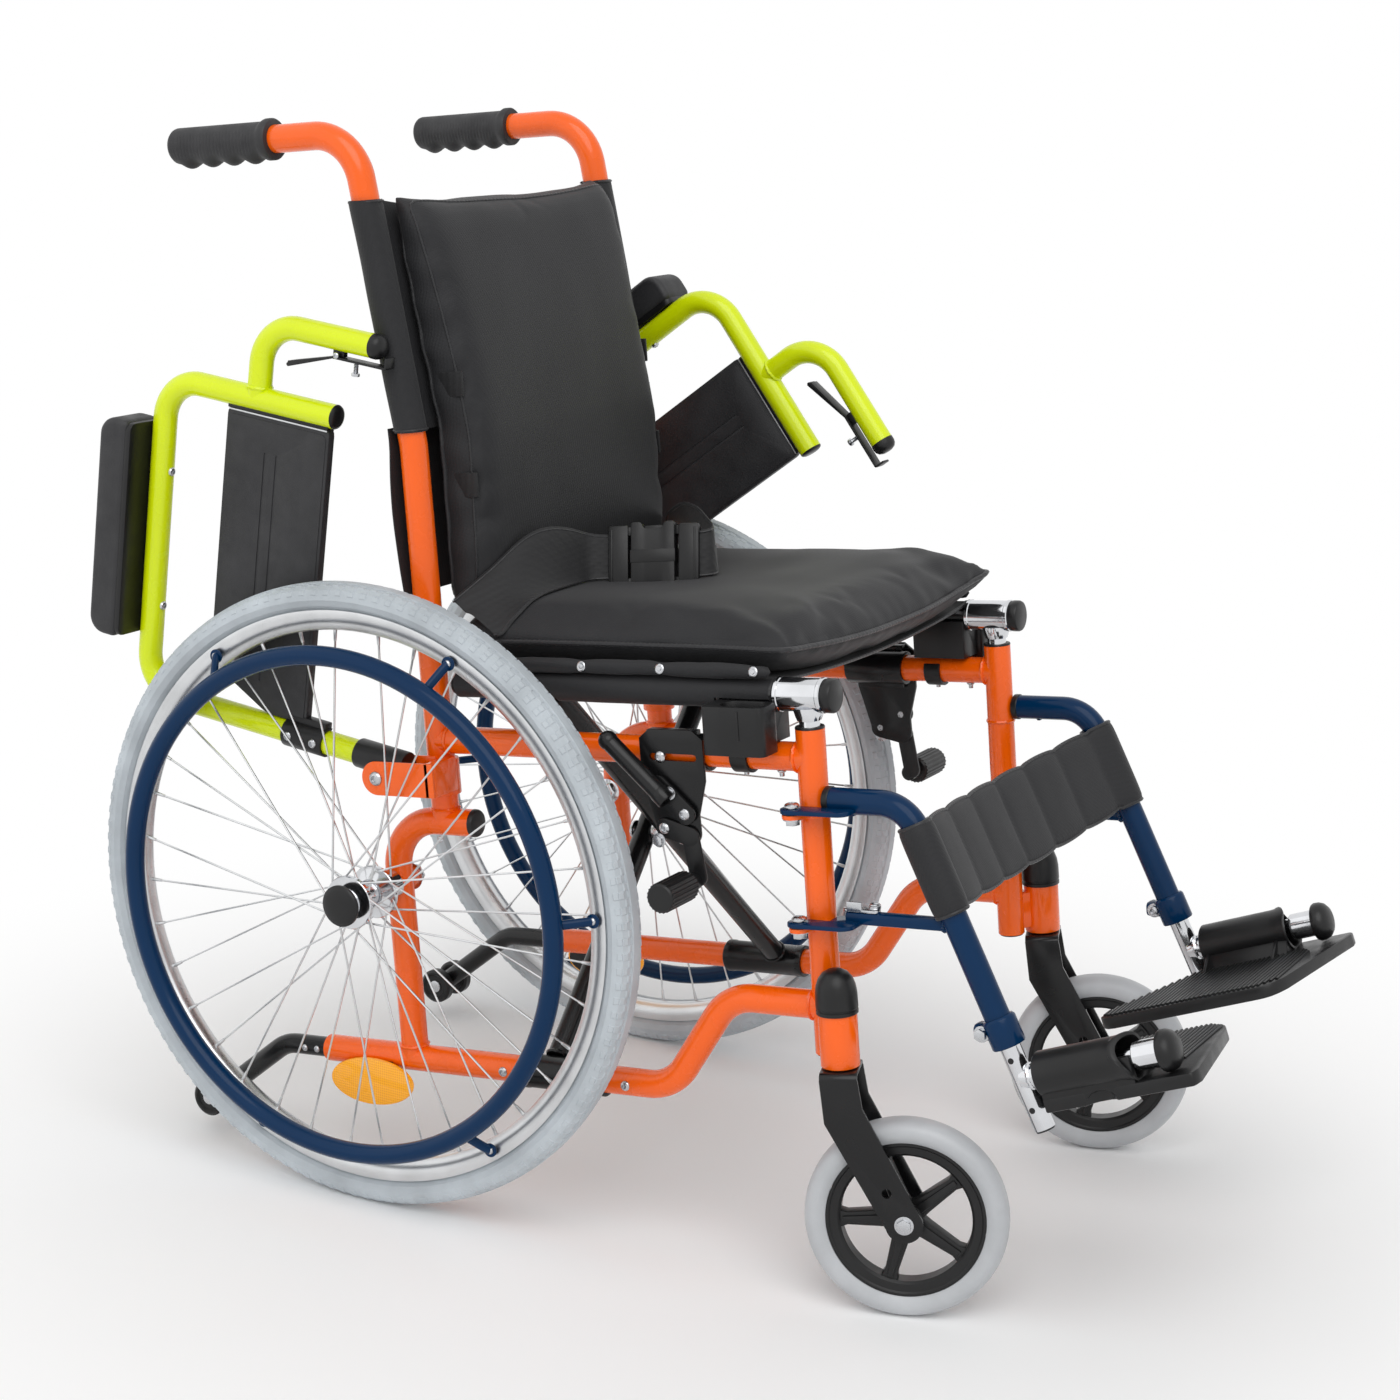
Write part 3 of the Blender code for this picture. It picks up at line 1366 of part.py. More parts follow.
def foot_pin():
    """The footplate's pivot pin with its sleeve and cap, along -Y of the foot frame."""
    shoulder = SPIGOT_START
    barrel_end = shoulder + BARREL_LENGTH + GAP
    sleeve_end = barrel_end + FOOT_SLEEVE_LENGTH
    profile = [
        (0, sleeve_end + FOOT_CAP_LENGTH),
        (FOOT_CAP_RADIUS * 0.8, sleeve_end + FOOT_CAP_LENGTH * 0.85),
        (FOOT_CAP_RADIUS, sleeve_end + FOOT_CAP_LENGTH * 0.5),
        (FOOT_CAP_RADIUS, sleeve_end),
        (FOOT_SLEEVE_RADIUS, sleeve_end),
        (FOOT_SLEEVE_RADIUS, barrel_end),
        (FOOT_PIN_RADIUS, barrel_end),
        (FOOT_PIN_RADIUS, shoulder),
        (FOOT_PIN_TAIL, shoulder),
        (FOOT_PIN_TAIL, 0.002),
        (0, 0.002),
    ]
    return moved(turned(profile, 10, closed=False), Matrix.Rotation(math.radians(90), 4, "X"))


def footplate(side):
    """The flip-up plate with its raised tread, barrel and outer wall, in the foot frame."""
    start = SPIGOT_START + GAP
    end = start + BARREL_LENGTH - GAP
    barrel = rod((0, -start, 0), (0, -end, 0), BARREL_RADIUS, 14)
    top = -SLAB_DROP
    front = SPIGOT_START + FOOT_FRONT
    outline = [
        (FOOT_OUTER, start + 0.0005),
        (FOOT_OUTER, front - 0.004),
        (FOOT_OUTER - 0.012, front),
        (-FOOT_INNER + 0.022, front - 0.022),
        (-FOOT_INNER + 0.004, front - 0.032),
        (-FOOT_INNER, front - 0.045),
        (-FOOT_INNER, SPIGOT_START - FOOT_REAR + 0.014),
        (-FOOT_INNER + 0.008, SPIGOT_START - FOOT_REAR),
        (-FOOT_INNER + 0.020, SPIGOT_START - FOOT_REAR + 0.001),
        (-FOOT_SLEEVE_RADIUS - 0.002, start + 0.0005),
    ]
    outline = [(side * out, ahead) for out, ahead in outline]
    slab = plate([outline], SLAB_THICKNESS, deck_plane(1, top - SLAB_THICKNESS / 2))
    wall = box(
        (side * (FOOT_OUTER - FOOT_WALL), -start - 0.001, top - SLAB_THICKNESS + 0.001),
        (side * (FOOT_OUTER - 0.0005), -end + 0.001, 0.004),
    )
    tread_inner = side * (-FOOT_INNER + 0.013)
    tread_outer = side * (-BARREL_RADIUS - 0.0065)
    tread_rear = SPIGOT_START - FOOT_REAR + 0.0165
    tread_outline = [
        (tread_outer, end),
        (tread_inner, end),
        (tread_inner, tread_rear),
        (side * (-FOOT_INNER + 0.041), tread_rear),
        (tread_outer, start - 0.003),
    ]
    tread_place = deck_plane(1, top + TREAD_HEIGHT - SLAB_THICKNESS / 4)
    tread = plate([tread_outline], SLAB_THICKNESS / 2, tread_place)
    bore = rod((0, 0, 0), (0, -0.2, 0), around(FOOT_PIN_RADIUS, 10), 10)
    cap_room = rod((0, -end - 0.0005, 0), (0, -0.2, 0), FOOT_CAP_RADIUS + 0.0025, 12)
    return cut(joined(barrel, slab, wall, tread), bore, cap_room)


def band(half, eyelet, hole, thickness, attach, sag, bulge=0.0, channels=1):
    """Cross-section of a sheet held by round eyelets at plus and minus half.

    The sheet leaves each eyelet at the height attach and sags between them. Its
    upper face bulges between sewn channels. Returns the outline and the two holes.
    """
    radius = eyelet
    high = math.degrees(math.asin((attach + thickness / 2) / radius))
    low = math.degrees(math.asin((attach - thickness / 2) / radius))
    start = half - radius * math.cos(math.radians((high + low) / 2))
    per_channel = 3 if channels > 1 else 10
    count = channels * per_channel
    upper, lower = [], []
    for step in range(1, count):
        across = -start + 2 * start * step / count
        droop = sag * (1 - (across / start) ** 2)
        swell = bulge * abs(math.sin(math.pi * step / per_channel))
        upper.append((across, attach + thickness / 2 - droop + swell))
        lower.append((across, attach - thickness / 2 - droop))
    outline = arc((-half, 0), radius, high, 360 + low, 10)
    outline += lower
    outline += arc((half, 0), radius, 180 - low, 540 - high, 10)
    outline += list(reversed(upper))
    holes = [arc((way * half, 0), hole, 0, 330, 11) for way in (-1, 1)]
    return [outline, *holes]


def seat_sling():
    """The sling between the seat tubes, sagging in the middle."""
    rear = SEAT_TUBE_REAR + 0.002
    front = POST_AHEAD - SADDLE_BEFORE_POST - 0.003
    hole = around(SEAT_TUBE_RADIUS, 12)
    section = band(FRAME_OUT, hole + CLOTH * 0.8, hole, CLOTH, 0.009, SLING_SAG)
    turn = Matrix(((1, 0, 0), (0, 0, -1), (0, 1, 0))).to_4x4()
    place = Matrix.Translation((0, -(rear + front) / 2, SEAT_TUBE_UP)) @ turn
    slots = [
        rod(at(-way, FRAME_OUT, ahead, LOWER_UP), at(way, FRAME_OUT, ahead, SEAT_TUBE_UP), BRACE_RADIUS + 0.002)
        for way, ahead in ((1, BRACE_AHEAD), (-1, BRACE_AHEAD + BRACE_SPACING))
    ]
    return cut(plate(section, front - rear, place), *slots)


def back_sling():
    """The back sling: sleeves round the leaning posts and a flap below them."""
    low, high = BACK_BEND_UP + 0.012, BACK_HIGH
    hole = around(FRAME_RADIUS, 12)
    section = band(FRAME_OUT, hole + SLEEVE_WALL, hole, CLOTH, 0.002, 0.003)
    lean = math.atan2(BACK_AHEAD - HANDLE_AHEAD, HANDLE_UP - BACK_BEND_UP)
    middle = (low + high) / 2
    spot = at(1, 0, back_post_ahead(middle), middle)
    turn = Matrix.Rotation(-lean, 4, "X") @ Matrix(((1, 0, 0), (0, -1, 0), (0, 0, -1))).to_4x4()
    sleeve = plate(section, (high - low) / math.cos(lean), Matrix.Translation(spot) @ turn)
    flap_out = FRAME_OUT - FRAME_RADIUS - 0.0025
    flap_ahead = back_post_ahead(BACK_BEND_UP)
    flap = box(
        (-flap_out, -flap_ahead - 0.0005, BACK_LOW + 0.004),
        (flap_out, -flap_ahead + CLOTH, low + 0.006),
    )
    return joined(sleeve, flap)


def pillow(columns, rows, upper, lower):
    """A sewn pad: two subdivided faces that meet in a seam, given over (-1..1)."""
    form = bmesh.new()
    for face in (upper, lower):
        made = bmesh.ops.create_grid(form, x_segments=columns, y_segments=rows, size=1)
        for point in made["verts"]:
            across = math.sin(point.co.x * math.pi / 2)
            along = math.sin(point.co.y * math.pi / 2)
            point.co = face(across, along)
    bmesh.ops.remove_doubles(form, verts=form.verts, dist=WELD)
    pad = poured(form)
    soft = pad.modifiers.new("soft", "SUBSURF")
    soft.levels = 1
    soft.render_levels = 1
    return baked(pad)


def crown(across, along, power=4):
    """Height factor of a stuffed pad: 0 at its seam and 1 in the middle."""
    return math.sqrt(max(0.0, (1 - abs(across) ** power) * (1 - abs(along) ** power)))


def cushion_seam(across, along):
    """Chassis-frame point on the seat cushion's seam plane."""
    front = POST_AHEAD - 0.012 + 0.010 * (1 - across ** 2)
    ahead = CUSHION_REAR + (front - CUSHION_REAR) * (along + 1) / 2
    drawn = 0.006 * (1 - along ** 2)
    up = CUSHION_SEAM_UP - CUSHION_SAG * (1 - across ** 2)
    return Vector((across * (CUSHION_WIDTH / 2 - drawn), -ahead, up))


def seat_cushion():
    """The seat cushion: a crowned pad with drawn-in sides and two sewn channels."""

    def upper(across, along):
        channel = 0.004 * max(0.0, 1 - abs(abs(across) - 0.38) / 0.08)
        lift = CUSHION_CROWN * crown(across, along) - channel * crown(across, along)
        return cushion_seam(across, along) + Vector((0, 0, lift))

    def lower(across, along):
        return cushion_seam(across, along) - Vector((0, 0, CUSHION_BELLY * crown(across, along)))

    return pillow(8, 7, upper, lower)


def back_pad():
    """The back pad, fullest at the lower back and thin at its top edge."""
    rear = 0.002 + CLOTH / 2 + BACK_PAD_CLEARANCE

    def seam(across, along):
        up = BACK_LOW + (BACK_HIGH - BACK_LOW) * (along + 1) / 2
        drawn = 0.005 * (1 - along ** 2)
        ahead = back_post_ahead(up) + rear
        return Vector((across * (BACK_PAD_WIDTH / 2 - drawn), -ahead, up))

    def upper(across, along):
        fullness = BACK_PAD_CROWN * crown(across, along, 6) * (1 - 0.45 * max(0.0, along) ** 2)
        return seam(across, along) - Vector((0, fullness, 0))

    def lower(across, along):
        return seam(across, along) + Vector((0, 0.002 * crown(across, along, 6), 0))

    return pillow(6, 8, upper, lower)


def calf_strap():
    """The quilted strap round both hangers, its channels along the hangers."""
    hole = around(LEG_RADIUS, 12, GAP)
    section = band(LEG_OUT, hole + 0.005, hole, 0.007, 0.006, STRAP_SAG, 0.004, STRAP_CHANNELS)
    bend_reach = LEG_BEND * math.tan((math.pi / 2 - LEG_SLOPE) / 2)
    ahead, up = leg_place(bend_reach + 0.001 + STRAP_HEIGHT / 2)
    turn = Matrix.Rotation(-LEG_SLOPE, 4, "X") @ Matrix(((1, 0, 0), (0, -1, 0), (0, 0, -1))).to_4x4()
    return plate(section, STRAP_HEIGHT, Matrix.Translation(at(1, 0, ahead, up)) @ turn)


def webbing(edge, other_edge, thickness):
    """A strap of cloth between two edges, given as lists of points."""
    form = bmesh.new()
    made = bmesh.ops.create_grid(form, x_segments=len(edge) - 1, y_segments=1, size=1)
    for point in made["verts"]:
        step = round((point.co.x + 1) / 2 * (len(edge) - 1))
        point.co = edge[step] if point.co.y < 0 else other_edge[step]
    strap = poured(form)
    solid = strap.modifiers.new("thick", "SOLIDIFY")
    solid.thickness = thickness
    solid.offset = 0
    return baked(strap)


def cushion_top(across, along):
    return CUSHION_SEAM_UP - CUSHION_SAG * (1 - across ** 2) + CUSHION_CROWN * crown(across, along)


def buckle_frame():
    """Frame at the buckle's centre: X along the belt, Z out of its face."""
    centre = at(1, -0.035, 0.195, cushion_top(0, -0.1) + BUCKLE_HEIGHT / 2 + 0.004)
    along = Vector((0.30, -0.95, 0.0)).normalized()
    face = Vector((-0.87, -0.28, 0.28))
    rise = face.cross(along).normalized()
    face = along.cross(rise).normalized()
    turn = Matrix((along, rise, face)).transposed().to_4x4()
    return Matrix.Translation(centre) @ turn


def lap_belt(side):
    """One half of the lap belt, from the corner of the seat to the buckle."""
    frame = buckle_frame()
    end_x = side * (BUCKLE_LENGTH / 2 + 0.001)
    out_x = end_x + side * 0.016
    hip_low = at(side, CUSHION_WIDTH / 2 - 0.020, CUSHION_REAR + 0.045, CUSHION_SEAM_UP + 0.026)
    hip_high = at(side, CUSHION_WIDTH / 2 - 0.030, CUSHION_REAR + 0.022, CUSHION_SEAM_UP + 0.064)
    lower, upper = [], []
    steps = 6
    for step in range(steps + 1):
        part = step / steps
        lift = Vector((0, 0, 0.012 * math.sin(math.pi * part)))
        lower.append(hip_low.lerp(frame @ Vector((out_x, -BELT_WIDTH / 2, 0)), part) + lift)
        upper.append(hip_high.lerp(frame @ Vector((out_x, BELT_WIDTH / 2, 0)), part) + lift)
    lower.append(frame @ Vector((end_x, -BELT_WIDTH / 2, 0)))
    upper.append(frame @ Vector((end_x, BELT_WIDTH / 2, 0)))
    return webbing(lower, upper, BELT_THICKNESS)


def buckle():
    """The belt's side-release buckle."""
    half = Vector((BUCKLE_LENGTH / 2, BUCKLE_HEIGHT / 2, BUCKLE_THICKNESS / 2))
    body = box(-half, half)
    edges = body.modifiers.new("rounded", "BEVEL")
    edges.width = 0.004
    edges.segments = 1
    return moved(baked(body), buckle_frame())


def build():
    clear_scene()
    for name in ("wheelchair", "bench"):
        bpy.context.scene.collection.children.link(bpy.data.collections.new(name))
    root = pivot("wheelchair_root", None, (0, 0, 0))
    chassis = pivot("chassis", root, (0, 0, 0))
    chassis.matrix_local = Matrix.Translation((0, 0, HUB_UP)) @ Matrix.Rotation(-PITCH, 4, "X")
    bpy.context.view_layer.update()
    frame = chassis.matrix_world.copy()
    forward = (0, -1, 0)

    fold = pivot("fold", chassis, at(-1, FRAME_OUT, BRACE_AHEAD, LOWER_UP), forward)
    brace_a_ahead = BRACE_AHEAD
    brace_b_ahead = BRACE_AHEAD + BRACE_SPACING
    bolt_start = brace_a_ahead - BRACE_RADIUS - 0.004
    bolt_end = brace_b_ahead + BRACE_RADIUS + 0.006
    brace_a = brace(-1, brace_a_ahead, bolt_start, bolt_end, True)
    fitted("brace_a", brace_a, BLACK_METAL, fold, frame)
    middle_up = (LOWER_UP + SEAT_TUBE_UP) / 2
    crossing = pivot("brace_crossing", fold, (0, 0, 0))
    crossing.matrix_world = frame @ Matrix.Translation(at(1, 0, brace_b_ahead, middle_up))
    brace_b = brace(1, brace_b_ahead, 0, 0, False)
    fitted("brace_b", brace_b, BLACK_METAL, crossing, frame)
    bpy.context.view_layer.update()
    left_hinge = pivot("left_frame_hinge", crossing, (0, 0, 0))
    left_hinge.matrix_world = frame @ Matrix.Translation(at(1, FRAME_OUT, BRACE_AHEAD, LOWER_UP))
    bpy.context.view_layer.update()
    frames = {"right": chassis, "left": left_hinge}
    rests = {"right": crossing, "left": fold}

    shared = {}
    for name, side in SIDES.items():
        base = frames[name]
        fitted(f"side_frame_{name}", side_frame(side), ORANGE, base, frame)
        fitted(f"grip_{name}", grip(side), RUBBER, base, frame)
        fitted(f"saddle_{name}", saddle(side), BLACK_PLASTIC, base, frame)
        fitted(f"brake_bracket_{name}", brake_bracket(side), BLACK_METAL, base, frame)
        fitted(f"anti_tip_tube_{name}", anti_tip_tube(side), BLACK_METAL, base, frame)

        guide_pivot = pivot(f"seat_guide_axis_{name}", rests[name], (0, 0, 0))
        guide_pivot.matrix_world = frame @ Matrix.Translation(at(side, FRAME_OUT, POST_AHEAD, SEAT_TUBE_UP))
        bpy.context.view_layer.update()
        fitted(f"seat_guide_{name}", seat_guide(side), CHROME, guide_pivot, frame)

        outward = Matrix.Rotation(side * math.radians(90), 4, "Y")
        hub = pivot(f"wheel_axis_{name}", base, (0, 0, 0))
        hub.matrix_world = frame @ Matrix.Translation(at(side, WHEEL_OUT, 0, 0)) @ outward
        anti_tip = pivot(f"anti_tip_axis_{name}", base, (0, 0, 0))
        anti_tip_spot = at(side, FRAME_OUT, -ANTI_TIP_AXLE_BACK, ANTI_TIP_AXLE_UP)
        anti_tip.matrix_world = frame @ Matrix.Translation(anti_tip_spot) @ outward
        swivel = pivot(f"caster_swivel_{name}", base, (0, 0, 0))
        swivel_spot = at(side, FRAME_OUT + CASTER_OUT, POST_AHEAD + CASTER_AHEAD, POST_BOTTOM - 0.0015)
        swivel.matrix_world = (
            frame @ Matrix.Translation(swivel_spot) @ Matrix.Rotation(CASTER_TURN, 4, "Z")
        )
        bpy.context.view_layer.update()
        spin = pivot(f"caster_spin_{name}", swivel, (0, 0, 0))
        spin.matrix_world = (
            swivel.matrix_world @ Matrix.Translation((0, -CASTER_TRAIL, -caster_drop())) @ outward
        )
        bpy.context.view_layer.update()
        turning = {
            "wheel": (wheel, SILVER, hub),
            "tyre": (tyre, TYRE_GREY, hub),
            "handrim": (handrim, NAVY, hub),
            "axle": (axle, CHROME, hub),
            "anti_tip_wheels": (anti_tip_wheels, BLACK_PLASTIC, anti_tip),
            "fork": (fork, BLACK_METAL, swivel),
            "caster_rim": (caster_rim, BLACK_PLASTIC, spin),
            "caster_tyre": (caster_tyre, CASTER_GREY, spin),
        }
        for piece_name, (make, look, parent) in turning.items():
            holder = base if piece_name == "axle" else parent
            place = parent.matrix_world.copy()
            if piece_name in shared:
                copied(f"{piece_name}_{name}", shared[piece_name], holder, place)
            else:
                piece = fitted(f"{piece_name}_{name}", make(), look, holder, place)
                shared[piece_name] = piece

        lever_pivot = pivot(f"brake_lever_axis_{name}", base, (0, 0, 0))
        lever_pivot.matrix_world = frame @ Matrix.Translation(at(side, FRAME_OUT, BRAKE_AHEAD, LEVER_UP))
        shoe_pivot = pivot(f"brake_shoe_axis_{name}", base, (0, 0, 0))
        shoe_spot = at(side, FRAME_OUT, BRAKE_AHEAD - SHOE_PIVOT_BACK, SHOE_PIVOT_UP)
        shoe_pivot.matrix_world = frame @ Matrix.Translation(shoe_spot)
        bpy.context.view_layer.update()
        fitted(f"brake_lever_{name}", brake_lever(side), BLACK_PLASTIC, lever_pivot, frame)
        fitted(f"brake_shoe_arm_{name}", brake_shoe_arm(side), BLACK_METAL, shoe_pivot, frame)

        arm_pivot = pivot(f"armrest_axis_{name}", base, (0, 0, 0))
        arm_spot = at(side, 0, ARM_PIVOT_AHEAD, ARM_PIVOT_UP)
        arm_pivot.matrix_world = (
            frame @ Matrix.Translation(arm_spot) @ Matrix.Rotation(-ARM_REST[name], 4, "X")
        )
        bpy.context.view_layer.update()
        arm_place = arm_pivot.matrix_world.copy()
        fitted(f"arm_frame_{name}", arm_frame(side), YELLOW, arm_pivot, arm_place)
        fitted(f"arm_pad_{name}", arm_pad(side), BLACK_PLASTIC, arm_pivot, arm_place)
        fitted(f"arm_panel_{name}", arm_panel(side), BLACK_PLASTIC, arm_pivot, arm_place)
        catch_spot = at(side, ARM_OUT, ARM_LEG + ARM_BRANCH - ARM_RADIUS - 0.004, CATCH_PIVOT_UP)
        catch_pivot = pivot(f"arm_catch_axis_{name}", arm_pivot, catch_spot)
        fitted(f"arm_catch_{name}", arm_catch(side), BLACK_METAL, catch_pivot, arm_place)

        leg_pivot = pivot(f"legrest_axis_{name}", base, (0, 0, 0))
        leg_spot = at(side, HINGE_OUT, POST_AHEAD - HINGE_BACK, LEG_UP)
        leg_pivot.matrix_world = frame @ Matrix.Translation(leg_spot)
        bpy.context.view_layer.update()
        fitted(f"hanger_{name}", hanger(side), NAVY, leg_pivot, frame)
        latch_pivot = pivot(f"latch_axis_{name}", leg_pivot, (0, 0, 0))
        latch_pivot.matrix_world = frame @ Matrix.Translation(at(side, LEG_OUT, *latch_place()))
        bpy.context.view_layer.update()
        fitted(f"hanger_latch_{name}", hanger_latch(side), CHROME, latch_pivot, frame)
        stem_pivot = pivot(f"foot_stem_axis_{name}", leg_pivot, (0, 0, 0))
        stem_pivot.matrix_world = (
            frame
            @ Matrix.Translation(at(side, LEG_OUT, *leg_place(LEG_DROP)))
            @ Matrix.Rotation(-LEG_SLOPE, 4, "X")
        )
        foot_place = frame @ foot_frame(side)
        bpy.context.view_layer.update()
        fitted(f"foot_stem_{name}", foot_stem(side), CHROME, stem_pivot, frame)
        pin_pivot = pivot(f"foot_pin_axis_{name}", stem_pivot, (0, 0, 0))
        pin_pivot.matrix_world = foot_place
        bpy.context.view_layer.update()
        flip = pivot(f"footplate_axis_{name}", pin_pivot, (0, 0, 0))
        fitted(f"foot_pin_{name}", foot_pin(), CHROME, pin_pivot, foot_place)
        fitted(f"footplate_{name}", footplate(side), BLACK_PLASTIC, flip, foot_place)

    seat = bpy.data.objects["seat_guide_axis_right"]
    for name, side in SIDES.items():
        fitted(f"lap_belt_{name}", lap_belt(side), NYLON, seat, frame)
    fitted("seat_sling", seat_sling(), NYLON, seat, frame)
    fitted("seat_cushion", seat_cushion(), NYLON, seat, frame)
    fitted("back_sling", back_sling(), NYLON, chassis, frame)
    fitted("back_pad", back_pad(), NYLON, chassis, frame)
    fitted("calf_strap", calf_strap(), NYLON, bpy.data.objects["legrest_axis_right"], frame)
    buckle_slide = pivot("buckle_slide", seat, (0, 0, 0))
    buckle_slide.matrix_world = frame @ buckle_frame()
    bpy.context.view_layer.update()
    fitted("buckle", buckle(), BLACK_PLASTIC, buckle_slide, frame)

    bpy.data.collections.remove(bpy.data.collections["bench"])
    bpy.context.view_layer.update()
    corners = []
    for piece in bpy.data.collections["wheelchair"].objects:
        if piece.type == "MESH":
            corners += [piece.matrix_world @ point.co for point in piece.data.vertices]
    middle = (min(point.y for point in corners) + max(point.y for point in corners)) / 2
    root.location = (0, -middle, -min(point.z for point in corners))
    bpy.context.view_layer.update()


build()
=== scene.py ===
"""Looks of the folding child's wheelchair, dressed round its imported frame.

Metres, +Z up. The chair faces -Y and its left side is at +X. The side frames are
pitched nose-up, so most pieces are laid out in the chassis frame: its origin is
midway between the rear hubs, and a place is (out, ahead, up).
"""

import logging
import math
from collections.abc import Callable
from dataclasses import dataclass, field
from enum import Enum

import bmesh
import bpy
from mathutils import Matrix, Vector, noise
from mathutils.bvhtree import BVHTree


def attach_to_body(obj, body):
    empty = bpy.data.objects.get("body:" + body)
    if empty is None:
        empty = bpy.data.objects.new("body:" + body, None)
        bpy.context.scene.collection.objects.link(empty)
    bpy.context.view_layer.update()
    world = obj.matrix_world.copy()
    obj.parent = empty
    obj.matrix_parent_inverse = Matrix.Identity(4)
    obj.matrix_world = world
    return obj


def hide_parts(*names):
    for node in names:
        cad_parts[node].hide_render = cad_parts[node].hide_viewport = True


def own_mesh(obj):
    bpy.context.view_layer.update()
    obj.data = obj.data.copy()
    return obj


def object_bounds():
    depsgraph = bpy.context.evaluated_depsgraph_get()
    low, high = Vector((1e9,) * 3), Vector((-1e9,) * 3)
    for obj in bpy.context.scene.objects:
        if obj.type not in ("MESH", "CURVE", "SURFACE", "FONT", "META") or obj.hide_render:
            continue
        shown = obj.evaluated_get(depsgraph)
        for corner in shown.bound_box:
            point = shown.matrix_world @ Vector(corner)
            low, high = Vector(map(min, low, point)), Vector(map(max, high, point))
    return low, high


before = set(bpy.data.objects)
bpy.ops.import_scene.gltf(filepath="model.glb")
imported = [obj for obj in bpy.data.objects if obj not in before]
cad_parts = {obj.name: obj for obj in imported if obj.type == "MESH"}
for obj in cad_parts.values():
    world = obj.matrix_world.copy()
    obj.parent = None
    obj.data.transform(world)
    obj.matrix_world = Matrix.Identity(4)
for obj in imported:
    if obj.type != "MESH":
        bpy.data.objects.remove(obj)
CAD_BOX = [list(corner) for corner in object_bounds()]
LOG = logging.getLogger("wheelchair")
THICKEN = ("SOLIDIFY", {"thickness": 0.0014, "offset": 0})
SWELL_FRAMES = 20


class Side(Enum):
    """A side of the chair, with the sign of its X."""

    RIGHT = -1
    LEFT = 1

    @property
    def tag(self) -> str:
        """The side's name as pieces and bodies end."""
        return self.name.lower()

    def at(self, out: float, ahead: float, up: float) -> Vector:
        """A chassis-frame point of this side.

        Args:
            out: Distance outward from the middle of the chair.
            ahead: Distance ahead of the rear hubs, along the rails.
            up: Distance above the rear hubs, square to the rails.

        Returns:
            The point.
        """
        return Vector((self.value * out, -ahead, up))

    def line(self, out: float, *places: tuple[float, float]) -> list[Vector]:
        """Chassis-frame points in a plane parallel to the side frame.

        Args:
            out: Distance of the plane outward from the middle.
            places: The points as (ahead, up).

        Returns:
            The points in order.
        """
        return [self.at(out, ahead, up) for ahead, up in places]


@dataclass(frozen=True)
class Chassis:
    """Sizes that several sub-assemblies share."""

    pitch: float = math.radians(6.3)
    hub: Vector = field(default_factory=lambda: Vector((0, 0.233658, 0.287139)))
    out: float = 0.192
    tube: float = 0.0125
    lower_up: float = -0.169
    lower_front_up: float = -0.0805
    rail_up: float = 0.135
    post: float = 0.435
    post_top: float = 0.160
    post_low: float = -0.122
    back: float = 0.058
    back_bend_up: float = 0.40
    handle_ahead: float = 0.022
    handle_up: float = 0.673
    handle_rear: float = -0.170
    seat_tube: float = 0.0111
    seat_up: float = 0.188
    seat_front: float = 0.452
    wheel: float = 0.2875
    wheel_out: float = 0.251
    tyre_half: float = 0.018
    leg_out: float = 0.196
    leg_up: float = 0.100
    leg_slope: float = math.radians(22.4)
    braces: tuple[float, float] = (0.150, 0.179)

    @property
    def place(self) -> Matrix:
        """The chassis frame in the chair's own frame."""
        return Matrix.Translation(self.hub) @ Matrix.Rotation(-self.pitch, 4, "X")

    def leg(self, along: float) -> tuple[float, float]:
        """A point down the legrest's sloping run.

        Args:
            along: Distance from the knee.

        Returns:
            Its (ahead, up).
        """
        knee = self.post + 0.0867
        return (knee + along * math.sin(self.leg_slope), self.leg_up - along * math.cos(self.leg_slope))

    def back_ahead(self, up: float) -> float:
        """How far ahead of the hubs the back post's axis is.

        Args:
            up: Height of the place.

        Returns:
            The distance ahead.
        """
        lean = (self.back - self.handle_ahead) / (self.handle_up - self.back_bend_up)
        return self.back - max(0.0, up - self.back_bend_up) * lean


CHAIR = Chassis()


# Geometry

def rounded(corners: list[Vector], bend: float, step: float = 6.0) -> list[Vector]:
    """A route whose inner corners are replaced by arcs.

    Args:
        corners: The route's corners.
        bend: Radius of the arcs.
        step: Largest turn between two points, in degrees.

    Returns:
        The points of the route.
    """
    route = [corners[0]]
    for before, corner, after in zip(corners, corners[1:], corners[2:]):
        arriving = (corner - before).normalized()
        leaving = (after - corner).normalized()
        turn = arriving.angle(leaving)
        axis = arriving.cross(leaving).normalized()
        start = corner - arriving * bend * math.tan(turn / 2)
        centre = start + axis.cross(arriving) * bend
        steps = max(2, math.ceil(math.degrees(turn) / step))
        for count in range(steps + 1):
            route.append(centre + Matrix.Rotation(turn * count / steps, 3, axis) @ (start - centre))
    route.append(corners[-1])
    return route


def toward(start: Vector, end: Vector) -> Matrix:
    """Stands the Z axis on a line, with the origin at its start.

    Args:
        start: The line's start.
        end: The line's end.

    Returns:
        The placing matrix.
    """
    run = Vector(end) - Vector(start)
    return Matrix.Translation(Vector(start)) @ run.to_track_quat("Z", "Y").to_matrix().to_4x4()


def arc(centre: tuple[float, float], radius: float, start: float, end: float, steps: int) -> list[tuple]:
    """Points along an arc.

    Args:
        centre: The arc's centre.
        radius: Its radius.
        start: First angle in degrees.
        end: Last angle in degrees.
        steps: Number of pieces.

    Returns:
        The points.
    """
    angles = [math.radians(start + (end - start) * count / steps) for count in range(steps + 1)]
    return [(centre[0] + radius * math.cos(angle), centre[1] + radius * math.sin(angle)) for angle in angles]


